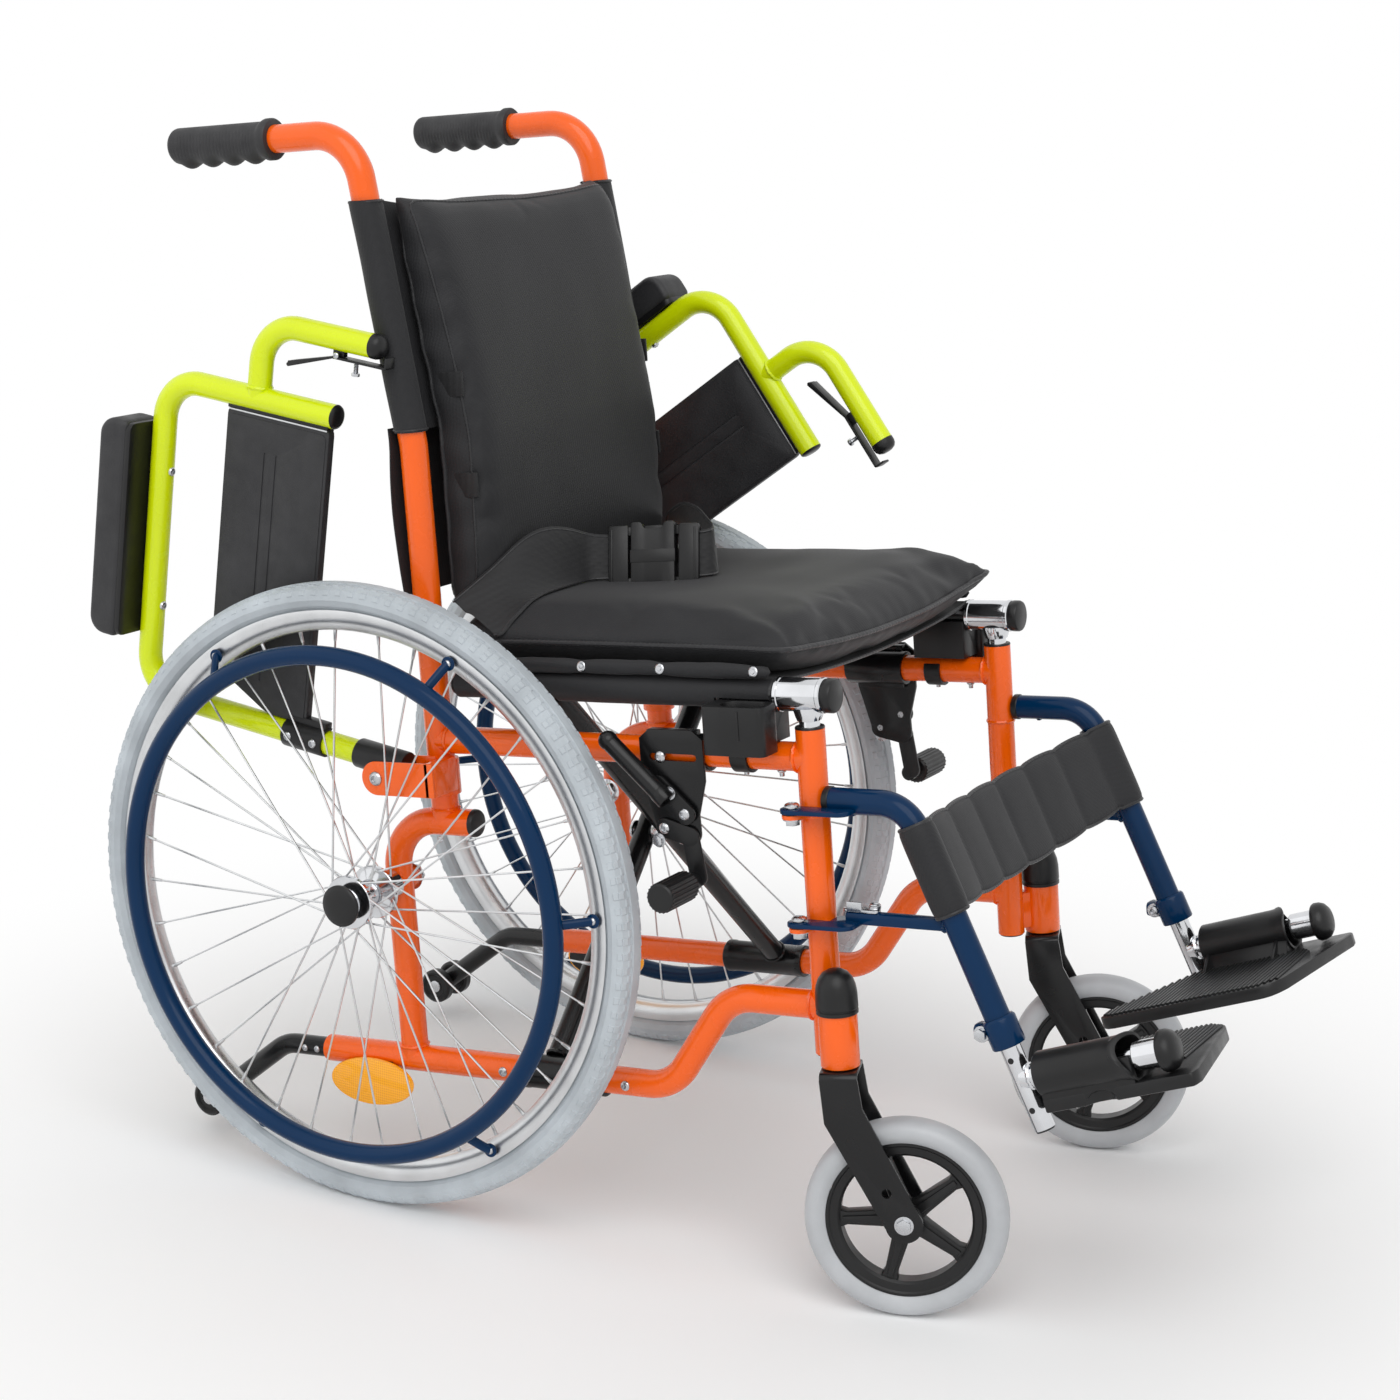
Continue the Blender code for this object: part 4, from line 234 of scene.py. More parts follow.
def bar(start: tuple[float, float], end: tuple[float, float], width: float, steps: int = 12) -> list[tuple]:
    """Outline of a flat bar with round ends.

    Args:
        start: Centre of one end.
        end: Centre of the other end.
        width: The bar's width.
        steps: Pieces of each round end.

    Returns:
        The outline.
    """
    heading = math.degrees(math.atan2(end[1] - start[1], end[0] - start[0]))
    outline = arc(end, width / 2, heading - 90, heading + 90, steps)
    return outline + arc(start, width / 2, heading + 90, heading + 270, steps)


def eased(corners: list[tuple[float, float]], bend: float) -> list[tuple]:
    """A closed outline with its corners rounded.

    Args:
        corners: The outline's corners.
        bend: How far from each corner its curve starts.

    Returns:
        The outline.
    """
    outline = []
    for index, corner in enumerate(corners):
        spot = Vector(corner)
        before = Vector(corners[index - 1]) - spot
        after = Vector(corners[(index + 1) % len(corners)]) - spot
        start = spot + before.normalized() * min(bend, before.length * 0.45)
        end = spot + after.normalized() * min(bend, after.length * 0.45)
        for count in range(5):
            part = count / 4
            outline.append(tuple(start.lerp(spot, part).lerp(spot.lerp(end, part), part)))
    return outline


def mirrored(section: list[tuple]) -> list[tuple]:
    """Section of a wheel from its outer half: the half, then its mirror image."""
    return section + [(radius, -height) for radius, height in reversed(section)]


def merge(form: bmesh.types.BMesh, part: bmesh.types.BMesh) -> None:
    """Adds a shape to another one.

    Args:
        form: The shape that grows.
        part: The shape that is added, which is used up.
    """
    mesh = bpy.data.meshes.new("part")
    part.to_mesh(mesh)
    part.free()
    form.from_mesh(mesh)
    bpy.data.meshes.remove(mesh)


def side_plane(side: Side, out: float) -> Matrix:
    """Places an (ahead, up) outline parallel to a side frame.

    Args:
        side: The side of the chair.
        out: Distance of the plane outward.

    Returns:
        The placing matrix.
    """
    turn = Matrix(((0, 0, -1), (-1, 0, 0), (0, 1, 0))).to_4x4()
    return Matrix.Translation((side.value * out, 0, 0)) @ turn


def deck_plane(side: Side, up: float) -> Matrix:
    """Places an (out, ahead) outline square to the posts.

    Args:
        side: The side of the chair.
        up: Height of the plane.

    Returns:
        The placing matrix.
    """
    sign = side.value
    return Matrix.Translation((0, 0, up)) @ Matrix(((sign, 0, 0), (0, -1, 0), (0, 0, -sign))).to_4x4()


class Form:
    """A piece's mesh, put together from simple shapes in one frame."""

    def __init__(self, place: Matrix | None = None) -> None:
        """Starts an empty form.

        Args:
            place: The form's frame in the chair, or the chassis frame if none is given.
        """
        self.place = CHAIR.place if place is None else place
        self.shape = bmesh.new()

    def take(self, part: bmesh.types.BMesh, place: Matrix | None = None, soft: float = 0.0) -> "Form":
        """Adds a shape, with its sharp edges rounded first.

        Args:
            part: The shape, which is used up.
            place: Where it goes in the form's frame.
            soft: Width of the rounding, or 0 for none.

        Returns:
            The form.
        """
        bmesh.ops.recalc_face_normals(part, faces=part.faces)
        if soft:
            edges = [edge for edge in part.edges if edge.calc_face_angle(0) > 0.6]
            bmesh.ops.bevel(
                part, geom=edges, offset=soft, offset_type="OFFSET", segments=2, profile=0.5,
                affect="EDGES", clamp_overlap=True, material=-1,
            )
        if place is not None:
            bmesh.ops.transform(part, matrix=place, verts=part.verts)
            bmesh.ops.recalc_face_normals(part, faces=part.faces)
        merge(self.shape, part)
        return self

    def pipe(self, route: list[Vector], radius: float, sides: int = 24, flat: float = 1.0) -> "Form":
        """Runs a round or oval tube along a route.

        Args:
            route: The tube's centre line.
            radius: Its radius.
            sides: Number of its sides.
            flat: Height of its section as a share of its width.

        Returns:
            The form.
        """
        part = bmesh.new()
        heading = (route[1] - route[0]).normalized()
        normal = heading.orthogonal().normalized()
        if abs(heading.x) < 0.9:
            normal = heading.cross(Vector((1, 0, 0))).cross(heading).normalized()
        places = []
        for index, point in enumerate(route):
            before = route[max(0, index - 1)]
            after = route[min(len(route) - 1, index + 1)]
            heading = (after - before).normalized()
            normal = (normal - heading * normal.dot(heading)).normalized()
            turn = Matrix((normal, heading.cross(normal), heading)).transposed().to_4x4()
            places.append(Matrix.Translation(point) @ turn @ Matrix.Diagonal((1, flat, 1, 1)))
        made = bmesh.ops.create_circle(part, segments=sides, radius=radius, matrix=places[0])
        edges = list({edge for point in made["verts"] for edge in point.link_edges})
        bmesh.ops.contextual_create(part, geom=edges)
        for previous, following in zip(places, places[1:]):
            made = bmesh.ops.extrude_edge_only(part, edges=edges)["geom"]
            points = {item for item in made if isinstance(item, bmesh.types.BMVert)}
            edges = [
                item for item in made
                if isinstance(item, bmesh.types.BMEdge) and set(item.verts) <= points
            ]
            bmesh.ops.transform(part, matrix=following @ previous.inverted(), verts=list(points))
        bmesh.ops.contextual_create(part, geom=edges)
        return self.take(part)

    def rod(
        self, start: Vector, end: Vector, radius: float, sides: int = 24, soft: float = 0.0006,
        end_radius: float | None = None,
    ) -> "Form":
        """Adds a round bar or a cone with rounded rims.

        Args:
            start: Centre of one end.
            end: Centre of the other end.
            radius: Radius at the start.
            sides: Number of sides.
            soft: Width of the rims' rounding.
            end_radius: Radius at the end, where it differs.

        Returns:
            The form.
        """
        part = bmesh.new()
        length = (Vector(end) - Vector(start)).length
        bmesh.ops.create_cone(
            part, cap_ends=True, segments=sides, radius1=radius,
            radius2=radius if end_radius is None else end_radius, depth=length,
            matrix=Matrix.Translation((0, 0, length / 2)),
        )
        return self.take(part, toward(start, end), soft)

    def turned(
        self, profile: list[tuple[float, float]], place: Matrix | None = None, steps: int = 48, closed: bool = True,
    ) -> "Form":
        """Adds a shape turned about Z.

        Args:
            profile: Its section as (radius, height) points.
            place: Where it goes in the form's frame.
            steps: Number of steps round.
            closed: Whether the section closes on itself, or ends on the axis.

        Returns:
            The form.
        """
        part = bmesh.new()
        points = [part.verts.new((radius, 0, height)) for radius, height in profile]
        pairs = list(zip(points, points[1:])) + ([(points[-1], points[0])] if closed else [])
        edges = [part.edges.new(pair) for pair in pairs]
        bmesh.ops.spin(
            part, geom=points + edges, cent=(0, 0, 0), axis=(0, 0, 1), angle=2 * math.pi,
            steps=steps, use_merge=True,
        )
        bmesh.ops.remove_doubles(part, verts=part.verts, dist=0.000005)
        return self.take(part, place)

    def slab(
        self, outline: list[tuple], thickness: float, place: Matrix, soft: float = 0.0005,
        holes: tuple[list[tuple], ...] = (),
    ) -> "Form":
        """Adds a flat plate, centred on its plane.

        Args:
            outline: Its outline in the XY plane.
            thickness: Its thickness.
            place: Where the plane goes in the form's frame.
            soft: Width of the edges' rounding.
            holes: Outlines of its holes.

        Returns:
            The form.
        """
        part = bmesh.new()
        edges = []
        for ring in (outline, *holes):
            points = [part.verts.new((spot[0], spot[1], -thickness / 2)) for spot in ring]
            edges += [part.edges.new(pair) for pair in zip(points, points[1:] + points[:1])]
        if holes:
            bmesh.ops.triangle_fill(part, use_beauty=True, edges=edges)
        else:
            bmesh.ops.contextual_create(part, geom=edges)
        made = bmesh.ops.extrude_face_region(part, geom=list(part.faces))["geom"]
        raised = [item for item in made if isinstance(item, bmesh.types.BMVert)]
        bmesh.ops.translate(part, vec=(0, 0, thickness), verts=raised)
        return self.take(part, place, soft)

    def block(self, low: Vector, high: Vector, soft: float = 0.001, place: Matrix | None = None) -> "Form":
        """Adds a block between two corners.

        Args:
            low: One corner.
            high: The opposite corner.
            soft: Width of the edges' rounding.
            place: Where its corners are read, in the form's frame.

        Returns:
            The form.
        """
        part = bmesh.new()
        low, high = Vector(low), Vector(high)
        size = Vector([abs(value) for value in high - low])
        bmesh.ops.create_cube(part, size=1, matrix=Matrix.Translation((low + high) / 2) @ Matrix.Diagonal((*size, 1)))
        bmesh.ops.recalc_face_normals(part, faces=part.faces)
        return self.take(part, place or Matrix(), soft)

    def screw(self, spot: Vector, heading: Vector, radius: float, height: float = 0.0025) -> "Form":
        """Adds a domed screw head with its socket.

        Args:
            spot: Centre of the seat under the head.
            heading: Direction in which the head looks.
            radius: The head's radius.
            height: The head's height.

        Returns:
            The form.
        """
        profile = [(0, height * 0.35), (radius * 0.42, height * 0.35), (radius * 0.48, height)]
        profile += [(radius * 0.8, height * 0.78), (radius * 0.97, height * 0.4), (radius, 0), (0, 0)]
        return self.turned(profile, toward(spot, spot + heading), 20, closed=False)

    def nut(self, spot: Vector, heading: Vector, radius: float, height: float = 0.004) -> "Form":
        """Adds a six-sided nut on a washer.

        Args:
            spot: Centre of the washer's seat.
            heading: Direction in which the nut looks.
            radius: Radius over the nut's corners.
            height: The nut's height.

        Returns:
            The form.
        """
        step = heading.normalized()
        self.rod(spot, spot + step * 0.001, radius * 1.25, 24, 0.0002)
        return self.rod(spot + step * 0.001, spot + step * (0.001 + height), radius, 6, 0.0004)

    def piece(
        self, name: str, body: str, finish: "Finish", replaces: tuple = (), smooth: float = 32
    ) -> bpy.types.Object:
        """Makes the form an object that rides on a body.

        Args:
            name: The piece's name.
            body: The body it rides on.
            finish: Its finish.
            replaces: CAD nodes that it stands for.
            smooth: Angle in degrees above which an edge stays sharp.

        Returns:
            The object.
        """
        mesh = bpy.data.meshes.new(name)
        bmesh.ops.transform(self.shape, matrix=self.place, verts=self.shape.verts)
        self.shape.to_mesh(mesh)
        self.shape.free()
        return dress(mesh, name, body, finish, replaces, smooth)


def dress(
    mesh: bpy.types.Mesh, name: str, body: str, finish: "Finish", replaces: tuple = (), smooth: float = 32,
) -> bpy.types.Object:
    """Gives a mesh in the chair's frame its object, finish and body.

    Args:
        mesh: The finished mesh.
        name: The piece's name.
        body: The body it rides on.
        finish: Its finish.
        replaces: CAD nodes that it stands for.
        smooth: Angle in degrees above which an edge stays sharp.

    Returns:
        The object.
    """
    mesh.materials.clear()
    mesh.materials.append(finish.material())
    mesh.shade_smooth()
    mesh.set_sharp_from_angle(angle=math.radians(smooth))
    piece = bpy.data.objects.new(name, mesh)
    bpy.context.scene.collection.objects.link(piece)
    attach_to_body(piece, body)
    if replaces:
        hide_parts(*replaces)
    LOG.info("%s: %d faces on %s", name, len(mesh.polygons), body)
    return piece


# Finishes

@dataclass(frozen=True)
class Finish:
    """A material made once, with its name, slot and base colour."""

    name: str
    slot: str
    colour: tuple[float, float, float]
    roughness: float = 0.4

    def material(self) -> bpy.types.Material:
        """The finish's material, made the first time it is asked for.

        Returns:
            The material.
        """
        found = bpy.data.materials.get(self.name)
        if found:
            return found
        made = bpy.data.materials.new(self.name)
        made.use_nodes = True
        shader = made.node_tree.nodes["Principled BSDF"]
        shader.inputs["Base Color"].default_value = (*self.colour, 1)
        shader.inputs["Roughness"].default_value = self.roughness
        self.wire(made.node_tree, shader)
        return made

    def wire(self, tree: bpy.types.NodeTree, shader: bpy.types.Node) -> None:
        """Adds the finish's own nodes.

        Args:
            tree: The material's nodes.
            shader: Its Principled shader.
        """

    def noise(
        self, tree: bpy.types.NodeTree, scale: float, detail: float = 3.0, stretch: tuple = (1, 1, 1)
    ) -> bpy.types.NodeSocket:
        """A noise pattern on the object's own coordinates.

        Args:
            tree: The material's nodes.
            scale: The pattern's scale per metre.
            detail: Its detail.
            stretch: Factors along the three axes.

        Returns:
            The pattern's value.
        """
        coords = tree.nodes.new("ShaderNodeTexCoord")
        mapping = tree.nodes.new("ShaderNodeMapping")
        mapping.inputs["Scale"].default_value = stretch
        pattern = tree.nodes.new("ShaderNodeTexNoise")
        pattern.inputs["Scale"].default_value = scale
        pattern.inputs["Detail"].default_value = detail
        tree.links.new(coords.outputs["Object"], mapping.inputs["Vector"])
        tree.links.new(mapping.outputs["Vector"], pattern.inputs["Vector"])
        return pattern.outputs["Fac"]

    def ramp(
        self, tree: bpy.types.NodeTree, value: bpy.types.NodeSocket, low: tuple, high: tuple, span: tuple = (0.3, 0.7)
    ) -> bpy.types.NodeSocket:
        """Turns a value into a colour between two others.

        Args:
            tree: The material's nodes.
            value: The value.
            low: Colour at the span's start.
            high: Colour at the span's end.
            span: The values between which the colour changes.

        Returns:
            The colour.
        """
        ramp = tree.nodes.new("ShaderNodeValToRGB")
        ramp.color_ramp.elements[0].position, ramp.color_ramp.elements[1].position = span
        ramp.color_ramp.elements[0].color = (*low, 1)
        ramp.color_ramp.elements[1].color = (*high, 1)
        tree.links.new(value, ramp.inputs["Fac"])
        return ramp.outputs["Color"]

    def spread(
        self, tree: bpy.types.NodeTree, value: bpy.types.NodeSocket, low: float, high: float
    ) -> bpy.types.NodeSocket:
        """Fits a pattern's value between two limits.

        Args:
            tree: The material's nodes.
            value: The pattern's value.
            low: The result where the pattern is low.
            high: The result where it is high.

        Returns:
            The fitted value.
        """
        fit = tree.nodes.new("ShaderNodeMapRange")
        fit.inputs["From Min"].default_value = 0.3
        fit.inputs["From Max"].default_value = 0.7
        fit.inputs["To Min"].default_value = low
        fit.inputs["To Max"].default_value = high
        tree.links.new(value, fit.inputs["Value"])
        return fit.outputs["Result"]

    def relief(
        self,
        tree: bpy.types.NodeTree,
        shader: bpy.types.Node,
        height: bpy.types.NodeSocket,
        strength: float,
        depth: float,
    ) -> None:
        """Raises the surface by a pattern.

        Args:
            tree: The material's nodes.
            shader: The Principled shader.
            height: The pattern's value.
            strength: How strongly it shows.
            depth: The height of the pattern in metres.
        """
        bump = tree.nodes.new("ShaderNodeBump")
        bump.inputs["Strength"].default_value = strength
        bump.inputs["Distance"].default_value = depth
        tree.links.new(height, bump.inputs["Height"])
        tree.links.new(bump.outputs["Normal"], shader.inputs["Normal"])

    def tinted(self, factor: float) -> tuple[float, float, float]:
        """The base colour made darker or lighter by a factor."""
        return tuple(min(1.0, value * factor) for value in self.colour)


@dataclass(frozen=True)
class Paint(Finish):
    """Gloss paint with a clear coat, a slight orange peel and faint wear."""

    gloss: float = 0.34

    def wire(self, tree: bpy.types.NodeTree, shader: bpy.types.Node) -> None:
        """Adds the paint's coat, tone and peel.

        Args:
            tree: The material's nodes.
            shader: Its Principled shader.
        """
        shader.inputs["Specular IOR Level"].default_value = self.gloss
        shader.inputs["Coat Weight"].default_value = self.gloss
        shader.inputs["Coat Roughness"].default_value = 0.06
        tone = self.noise(tree, 9)
        colour = self.ramp(tree, tone, self.tinted(0.965), self.tinted(1.03))
        tree.links.new(colour, shader.inputs["Base Color"])
        dust = self.noise(tree, 55, 5)
        rough = self.spread(tree, dust, self.roughness * 0.8, self.roughness * 1.35)
        tree.links.new(rough, shader.inputs["Roughness"])
        self.relief(tree, shader, self.noise(tree, 420, 1), 0.10, 0.0004)


@dataclass(frozen=True)
class Metal(Finish):
    """Bare or plated metal with fine marks along one axis."""

    grain: tuple[float, float, float] = (1, 1, 1)
    marks: float = 0.06

    def wire(self, tree: bpy.types.NodeTree, shader: bpy.types.Node) -> None:
        """Adds the metal's tone and marks.

        Args:
            tree: The material's nodes.
            shader: Its Principled shader.
        """
        shader.inputs["Metallic"].default_value = 1.0
        tone = self.noise(tree, 30, 4)
        colour = self.ramp(tree, tone, self.tinted(0.9), self.tinted(1.06))
        tree.links.new(colour, shader.inputs["Base Color"])
        marks = self.noise(tree, 600, 2, self.grain)
        rough = self.spread(tree, marks, self.roughness * 0.7, self.roughness * 1.5)
        tree.links.new(rough, shader.inputs["Roughness"])
        self.relief(tree, shader, marks, self.marks, 0.0002)


@dataclass(frozen=True)
class Moulded(Finish):
    """Plastic or rubber with a moulded grain."""

    grain: float = 1100.0
    depth: float = 0.22
    speckle: float = 1.25
    shine: float = 0.5

    def wire(self, tree: bpy.types.NodeTree, shader: bpy.types.Node) -> None:
        """Adds the grain, tone and rubbed places.

        Args:
            tree: The material's nodes.
            shader: Its Principled shader.
        """
        shader.inputs["Specular IOR Level"].default_value = self.shine
        tone = self.noise(tree, 22, 5)
        colour = self.ramp(tree, tone, self.tinted(0.85), self.tinted(self.speckle))
        tree.links.new(colour, shader.inputs["Base Color"])
        rough = self.spread(tree, self.noise(tree, 60, 4), self.roughness * 0.85, self.roughness * 1.2)
        tree.links.new(rough, shader.inputs["Roughness"])
        self.relief(tree, shader, self.noise(tree, self.grain, 2), self.depth, 0.0004)


@dataclass(frozen=True)
class Cloth(Finish):
    """Woven cloth: two sets of threads, a little fluff, and painted sheen in large, soft lighter and darker patches."""

    pitch: float = 0.0009
    depth: float = 0.22

    def wire(self, tree: bpy.types.NodeTree, shader: bpy.types.Node) -> None:
        """Adds the weave, the sheen, and painted sheen as large, soft patches of lighter and darker colour.

        Args:
            tree: The material's nodes.
            shader: Its Principled shader.
        """
        shader.inputs["Sheen Weight"].default_value = 0.08
        shader.inputs["Specular IOR Level"].default_value = 0.35
        shader.inputs["Sheen Roughness"].default_value = 0.5
        coords = tree.nodes.new("ShaderNodeTexCoord")
        threads = []
        for turn in ((0.0, 0.0, 0.785), (0.0, 0.785, 0.0), (0.785, 0.0, 0.0)):
            mapping = tree.nodes.new("ShaderNodeMapping")
            mapping.inputs["Rotation"].default_value = turn
            wave = tree.nodes.new("ShaderNodeTexWave")
            wave.bands_direction = "DIAGONAL"
            wave.inputs["Scale"].default_value = 0.16 / self.pitch
            wave.inputs["Distortion"].default_value = 0.6
            wave.inputs["Detail"].default_value = 1.0
            tree.links.new(coords.outputs["Object"], mapping.inputs["Vector"])
            tree.links.new(mapping.outputs["Vector"], wave.inputs["Vector"])
            threads.append(wave.outputs["Fac"])
        both = tree.nodes.new("ShaderNodeMath")
        both.operation = "MULTIPLY"
        tree.links.new(threads[0], both.inputs[0])
        tree.links.new(threads[1], both.inputs[1])
        weave = tree.nodes.new("ShaderNodeMath")
        weave.operation = "ADD"
        tree.links.new(both.outputs[0], weave.inputs[0])
        tree.links.new(threads[2], weave.inputs[1])
        # Painted sheen: a large, soft noise added to the faint thread pattern makes the colour lighter and darker in
        # patches.
        threads_and_painted_sheen = tree.nodes.new("ShaderNodeMath")
        threads_and_painted_sheen.operation = "MULTIPLY_ADD"
        threads_and_painted_sheen.inputs[1].default_value = 0.16
        tree.links.new(weave.outputs[0], threads_and_painted_sheen.inputs[0])
        tree.links.new(self.noise(tree, 14, 5), threads_and_painted_sheen.inputs[2])
        colour = self.ramp(tree, threads_and_painted_sheen.outputs[0], self.tinted(0.86), self.tinted(1.2), (0.35, 1.05))
        tree.links.new(colour, shader.inputs["Base Color"])
        self.relief(tree, shader, weave.outputs[0], self.depth, 0.0003)


@dataclass(frozen=True)
class Reflector(Finish):
    """Amber reflector plastic with its small prisms, and a painted glow from an amber emission."""

    def wire(self, tree: bpy.types.NodeTree, shader: bpy.types.Node) -> None:
        """Adds the prisms, the clear coat and a painted glow: an amber emission that brightens the reflector though it
        is no lamp.

        Args:
            tree: The material's nodes.
            shader: Its Principled shader.
        """
        shader.inputs["Coat Weight"].default_value = 0.6
        shader.inputs["Coat Roughness"].default_value = 0.05
        # Painted glow: this amber emission makes the reflector shine though it is no lamp.
        shader.inputs["Emission Color"].default_value = (1.0, 0.36, 0.0, 1)
        shader.inputs["Emission Strength"].default_value = 0.35
        coords = tree.nodes.new("ShaderNodeTexCoord")
        cells = tree.nodes.new("ShaderNodeTexVoronoi")
        cells.inputs["Scale"].default_value = 420
        cells.inputs["Randomness"].default_value = 0.0
        tree.links.new(coords.outputs["Object"], cells.inputs["Vector"])
        colour = self.ramp(tree, cells.outputs["Distance"], self.tinted(1.15), self.tinted(0.55), (0.0, 0.6))
        tree.links.new(colour, shader.inputs["Base Color"])
        self.relief(tree, shader, cells.outputs["Distance"], 0.6, 0.001)


ORANGE = Paint("orange paint", "orange_paint", (1.0, 0.128, 0.0), 0.24)
NAVY = Paint("navy paint", "navy_paint", (0.0, 0.025, 0.083), 0.20, 0.12)
YELLOW = Paint("yellow paint", "yellow_paint", (0.72, 0.86, 0.0), 0.24)
CHROME = Metal("bright chrome", "chrome", (0.66, 0.67, 0.69), 0.10)
SILVER = Metal("satin rim", "silver_rim", (0.66, 0.67, 0.68), 0.30, (1, 6, 6), 0.10)
STEEL = Metal("plated screws", "chrome", (0.55, 0.56, 0.58), 0.24)
TYRE = Moulded("grey tyre rubber", "grey_tyre", (0.49, 0.535, 0.57), 0.55, 420, 0.8, 1.12)
CASTER_GREY = Moulded("light grey tyre", "caster_tyre", (0.50, 0.515, 0.535), 0.40, 500, 0.12, 1.04)
PLASTIC = Moulded("black moulded plastic", "black_plastic", (0.009, 0.009, 0.0095), 0.34, shine=0.34)
PAD = Moulded("grained armrest foam", "black_plastic", (0.020, 0.020, 0.022), 0.55, 620, 0.5)
POWDER = Moulded("black powder coat", "black_metal", (0.006, 0.006, 0.0065), 0.24, 900, 0.12, shine=0.34)
RUBBER = Moulded("black grip rubber", "grip_rubber", (0.022, 0.022, 0.024), 0.60, 800, 0.35)
NYLON = Cloth("charcoal nylon", "nylon", (0.0135, 0.0137, 0.0155), 0.62)
WEBBING = Cloth("black webbing", "nylon", (0.012, 0.012, 0.013), 0.62, 0.0024, 0.5)
# The binding is a little lighter than the nylon as a painted highlight, standing in for the pale gleam along the
# piping.
PIPING = Cloth("black binding", "nylon", (0.022, 0.022, 0.024), 0.40, 0.0016, 0.4)
AMBER = Reflector("amber reflector", "black_plastic", (1.0, 0.42, 0.005), 0.2)


# Wheels

@dataclass
class RearWheel:
    """A rear wheel: treaded tyre, rim, crossed spokes, hub, axle and bolted handrim."""

    side: Side
    bead: float = 0.2583
    rim_half: float = 0.0125
    rim_depth: float = 0.0135
    spokes: int = 36
    spoke: float = 0.00095
    lacing: float = math.radians(50)
    flange: float = 0.0245
    flange_out: float = 0.019
    hub: float = 0.014
    handrim: float = 0.2286
    handrim_tube: float = 0.009
    handrim_out: float = 0.0402
    tabs: int = 6
    steps: int = 264
    treads: int = 132

    @property
    def body(self) -> str:
        """The body the wheel turns with."""
        return f"rear_wheel_{self.side.tag}"

    @property
    def place(self) -> Matrix:
        """The wheel's frame: its axle on Z, with outward up."""
        turn = Matrix.Rotation(self.side.value * math.radians(90), 4, "Y")
        return CHAIR.place @ Matrix.Translation(self.side.at(CHAIR.wheel_out, 0, 0)) @ turn

    def tyre(self) -> None:
        """Turns the tyre, then raises blocks on both shoulders and a band on the crown."""
        crown, half = CHAIR.wheel, CHAIR.tyre_half
        upper = [
            (self.bead, 0.0098), (self.bead + 0.006, 0.0102), (self.bead + 0.0095, 0.0150),
            (self.bead + 0.0150, half - 0.0006), (crown - 0.0100, half - 0.0012), (crown - 0.0052, half * 0.80),
            (crown - 0.0024, half * 0.56), (crown - 0.0016, half * 0.36), (crown - 0.0012, half * 0.30),
            (crown - 0.0002, half * 0.26), (crown, half * 0.10),
        ]
        form = Form(self.place)
        form.turned(mirrored(upper), None, self.steps)
        shoulders = []
        for face in form.shape.faces:
            centre = face.calc_center_median()
            reach = centre.xy.length
            if crown - 0.0078 < reach < crown - 0.0010 and abs(centre.z) > half * 0.30:
                turn = math.atan2(centre.y, centre.x) / (2 * math.pi) * self.treads
                row = (1 if centre.z > 0 else 0) + sum(reach > crown - step for step in (0.0036, 0.0019))
                if (turn + 0.5 * row) % 1.0 < 0.5:
                    shoulders.append(face)
        bmesh.ops.inset_individual(form.shape, faces=shoulders, thickness=0.0007, depth=0.0008, use_even_offset=True)
        form.piece(f"tyre_tread_{self.side.tag}", self.body, TYRE, (f"tyre_{self.side.tag}",), 28)

    def rim(self) -> None:
        """Turns the rim and its hub, and laces the spokes with their nipples."""
        inner = self.bead - self.rim_depth
        half = self.rim_half
        upper = [
            (self.bead - 0.0004, half - 0.0022), (self.bead + 0.0040, half - 0.0022),
            (self.bead + 0.0055, half - 0.0016),
            (self.bead + 0.0055, half - 0.0004), (self.bead + 0.0042, half), (self.bead - 0.0035, half - 0.0002),
            (self.bead - 0.0075, half - 0.0022), (inner + 0.0015, half - 0.0052), (inner, half - 0.0080),
        ]
        form = Form(self.place)
        form.turned(mirrored(upper), None, 144)
        for count in range(self.spokes):
            way = 1 if count % 2 == 0 else -1
            leading = 1 if count % 4 < 2 else -1
            rim_angle = 2 * math.pi * count / self.spokes
            hub_angle = rim_angle + leading * self.lacing
            reach = self.flange - 0.0035
            start = Vector(
                (reach * math.cos(hub_angle), reach * math.sin(hub_angle), way * self.flange_out + leading * 0.0019)
            )
            heading = Vector((math.cos(rim_angle), math.sin(rim_angle), 0))
            end = heading * (inner + 0.003) + Vector((0, 0, way * 0.002))
            form.rod(start, end, self.spoke, 6, 0)
            form.rod(end - (end - start).normalized() * 0.013, end, self.spoke * 1.5, 8, 0.0002, self.spoke * 2.1)
        form.piece(f"rim_and_spokes_{self.side.tag}", self.body, SILVER, (f"wheel_{self.side.tag}",))
        hub = Form(self.place)
        flange, out = self.flange, self.flange_out
        half = [
            (0.0068, 0.0300), (self.hub - 0.0016, 0.0300), (self.hub, 0.0286), (self.hub, out + 0.0040),
            (flange - 0.0050, out + 0.0030), (flange - 0.0006, out + 0.0026), (flange, out + 0.0018),
            (flange, out - 0.0018), (flange - 0.0006, out - 0.0026), (flange - 0.0050, out - 0.0030),
            (self.hub - 0.0010, out - 0.0062), (self.hub - 0.0020, 0.004),
        ]
        inner_half = [(radius, -min(height, 0.0300)) for radius, height in reversed(half)]
        inner_half[-3:] = [(self.hub, -0.0448), (self.hub - 0.0012, -0.0456), (0.0068, -0.0456)]
        hub.turned(half + inner_half, None, 48)
        hub.piece(f"hub_shell_{self.side.tag}", self.body, CHROME)

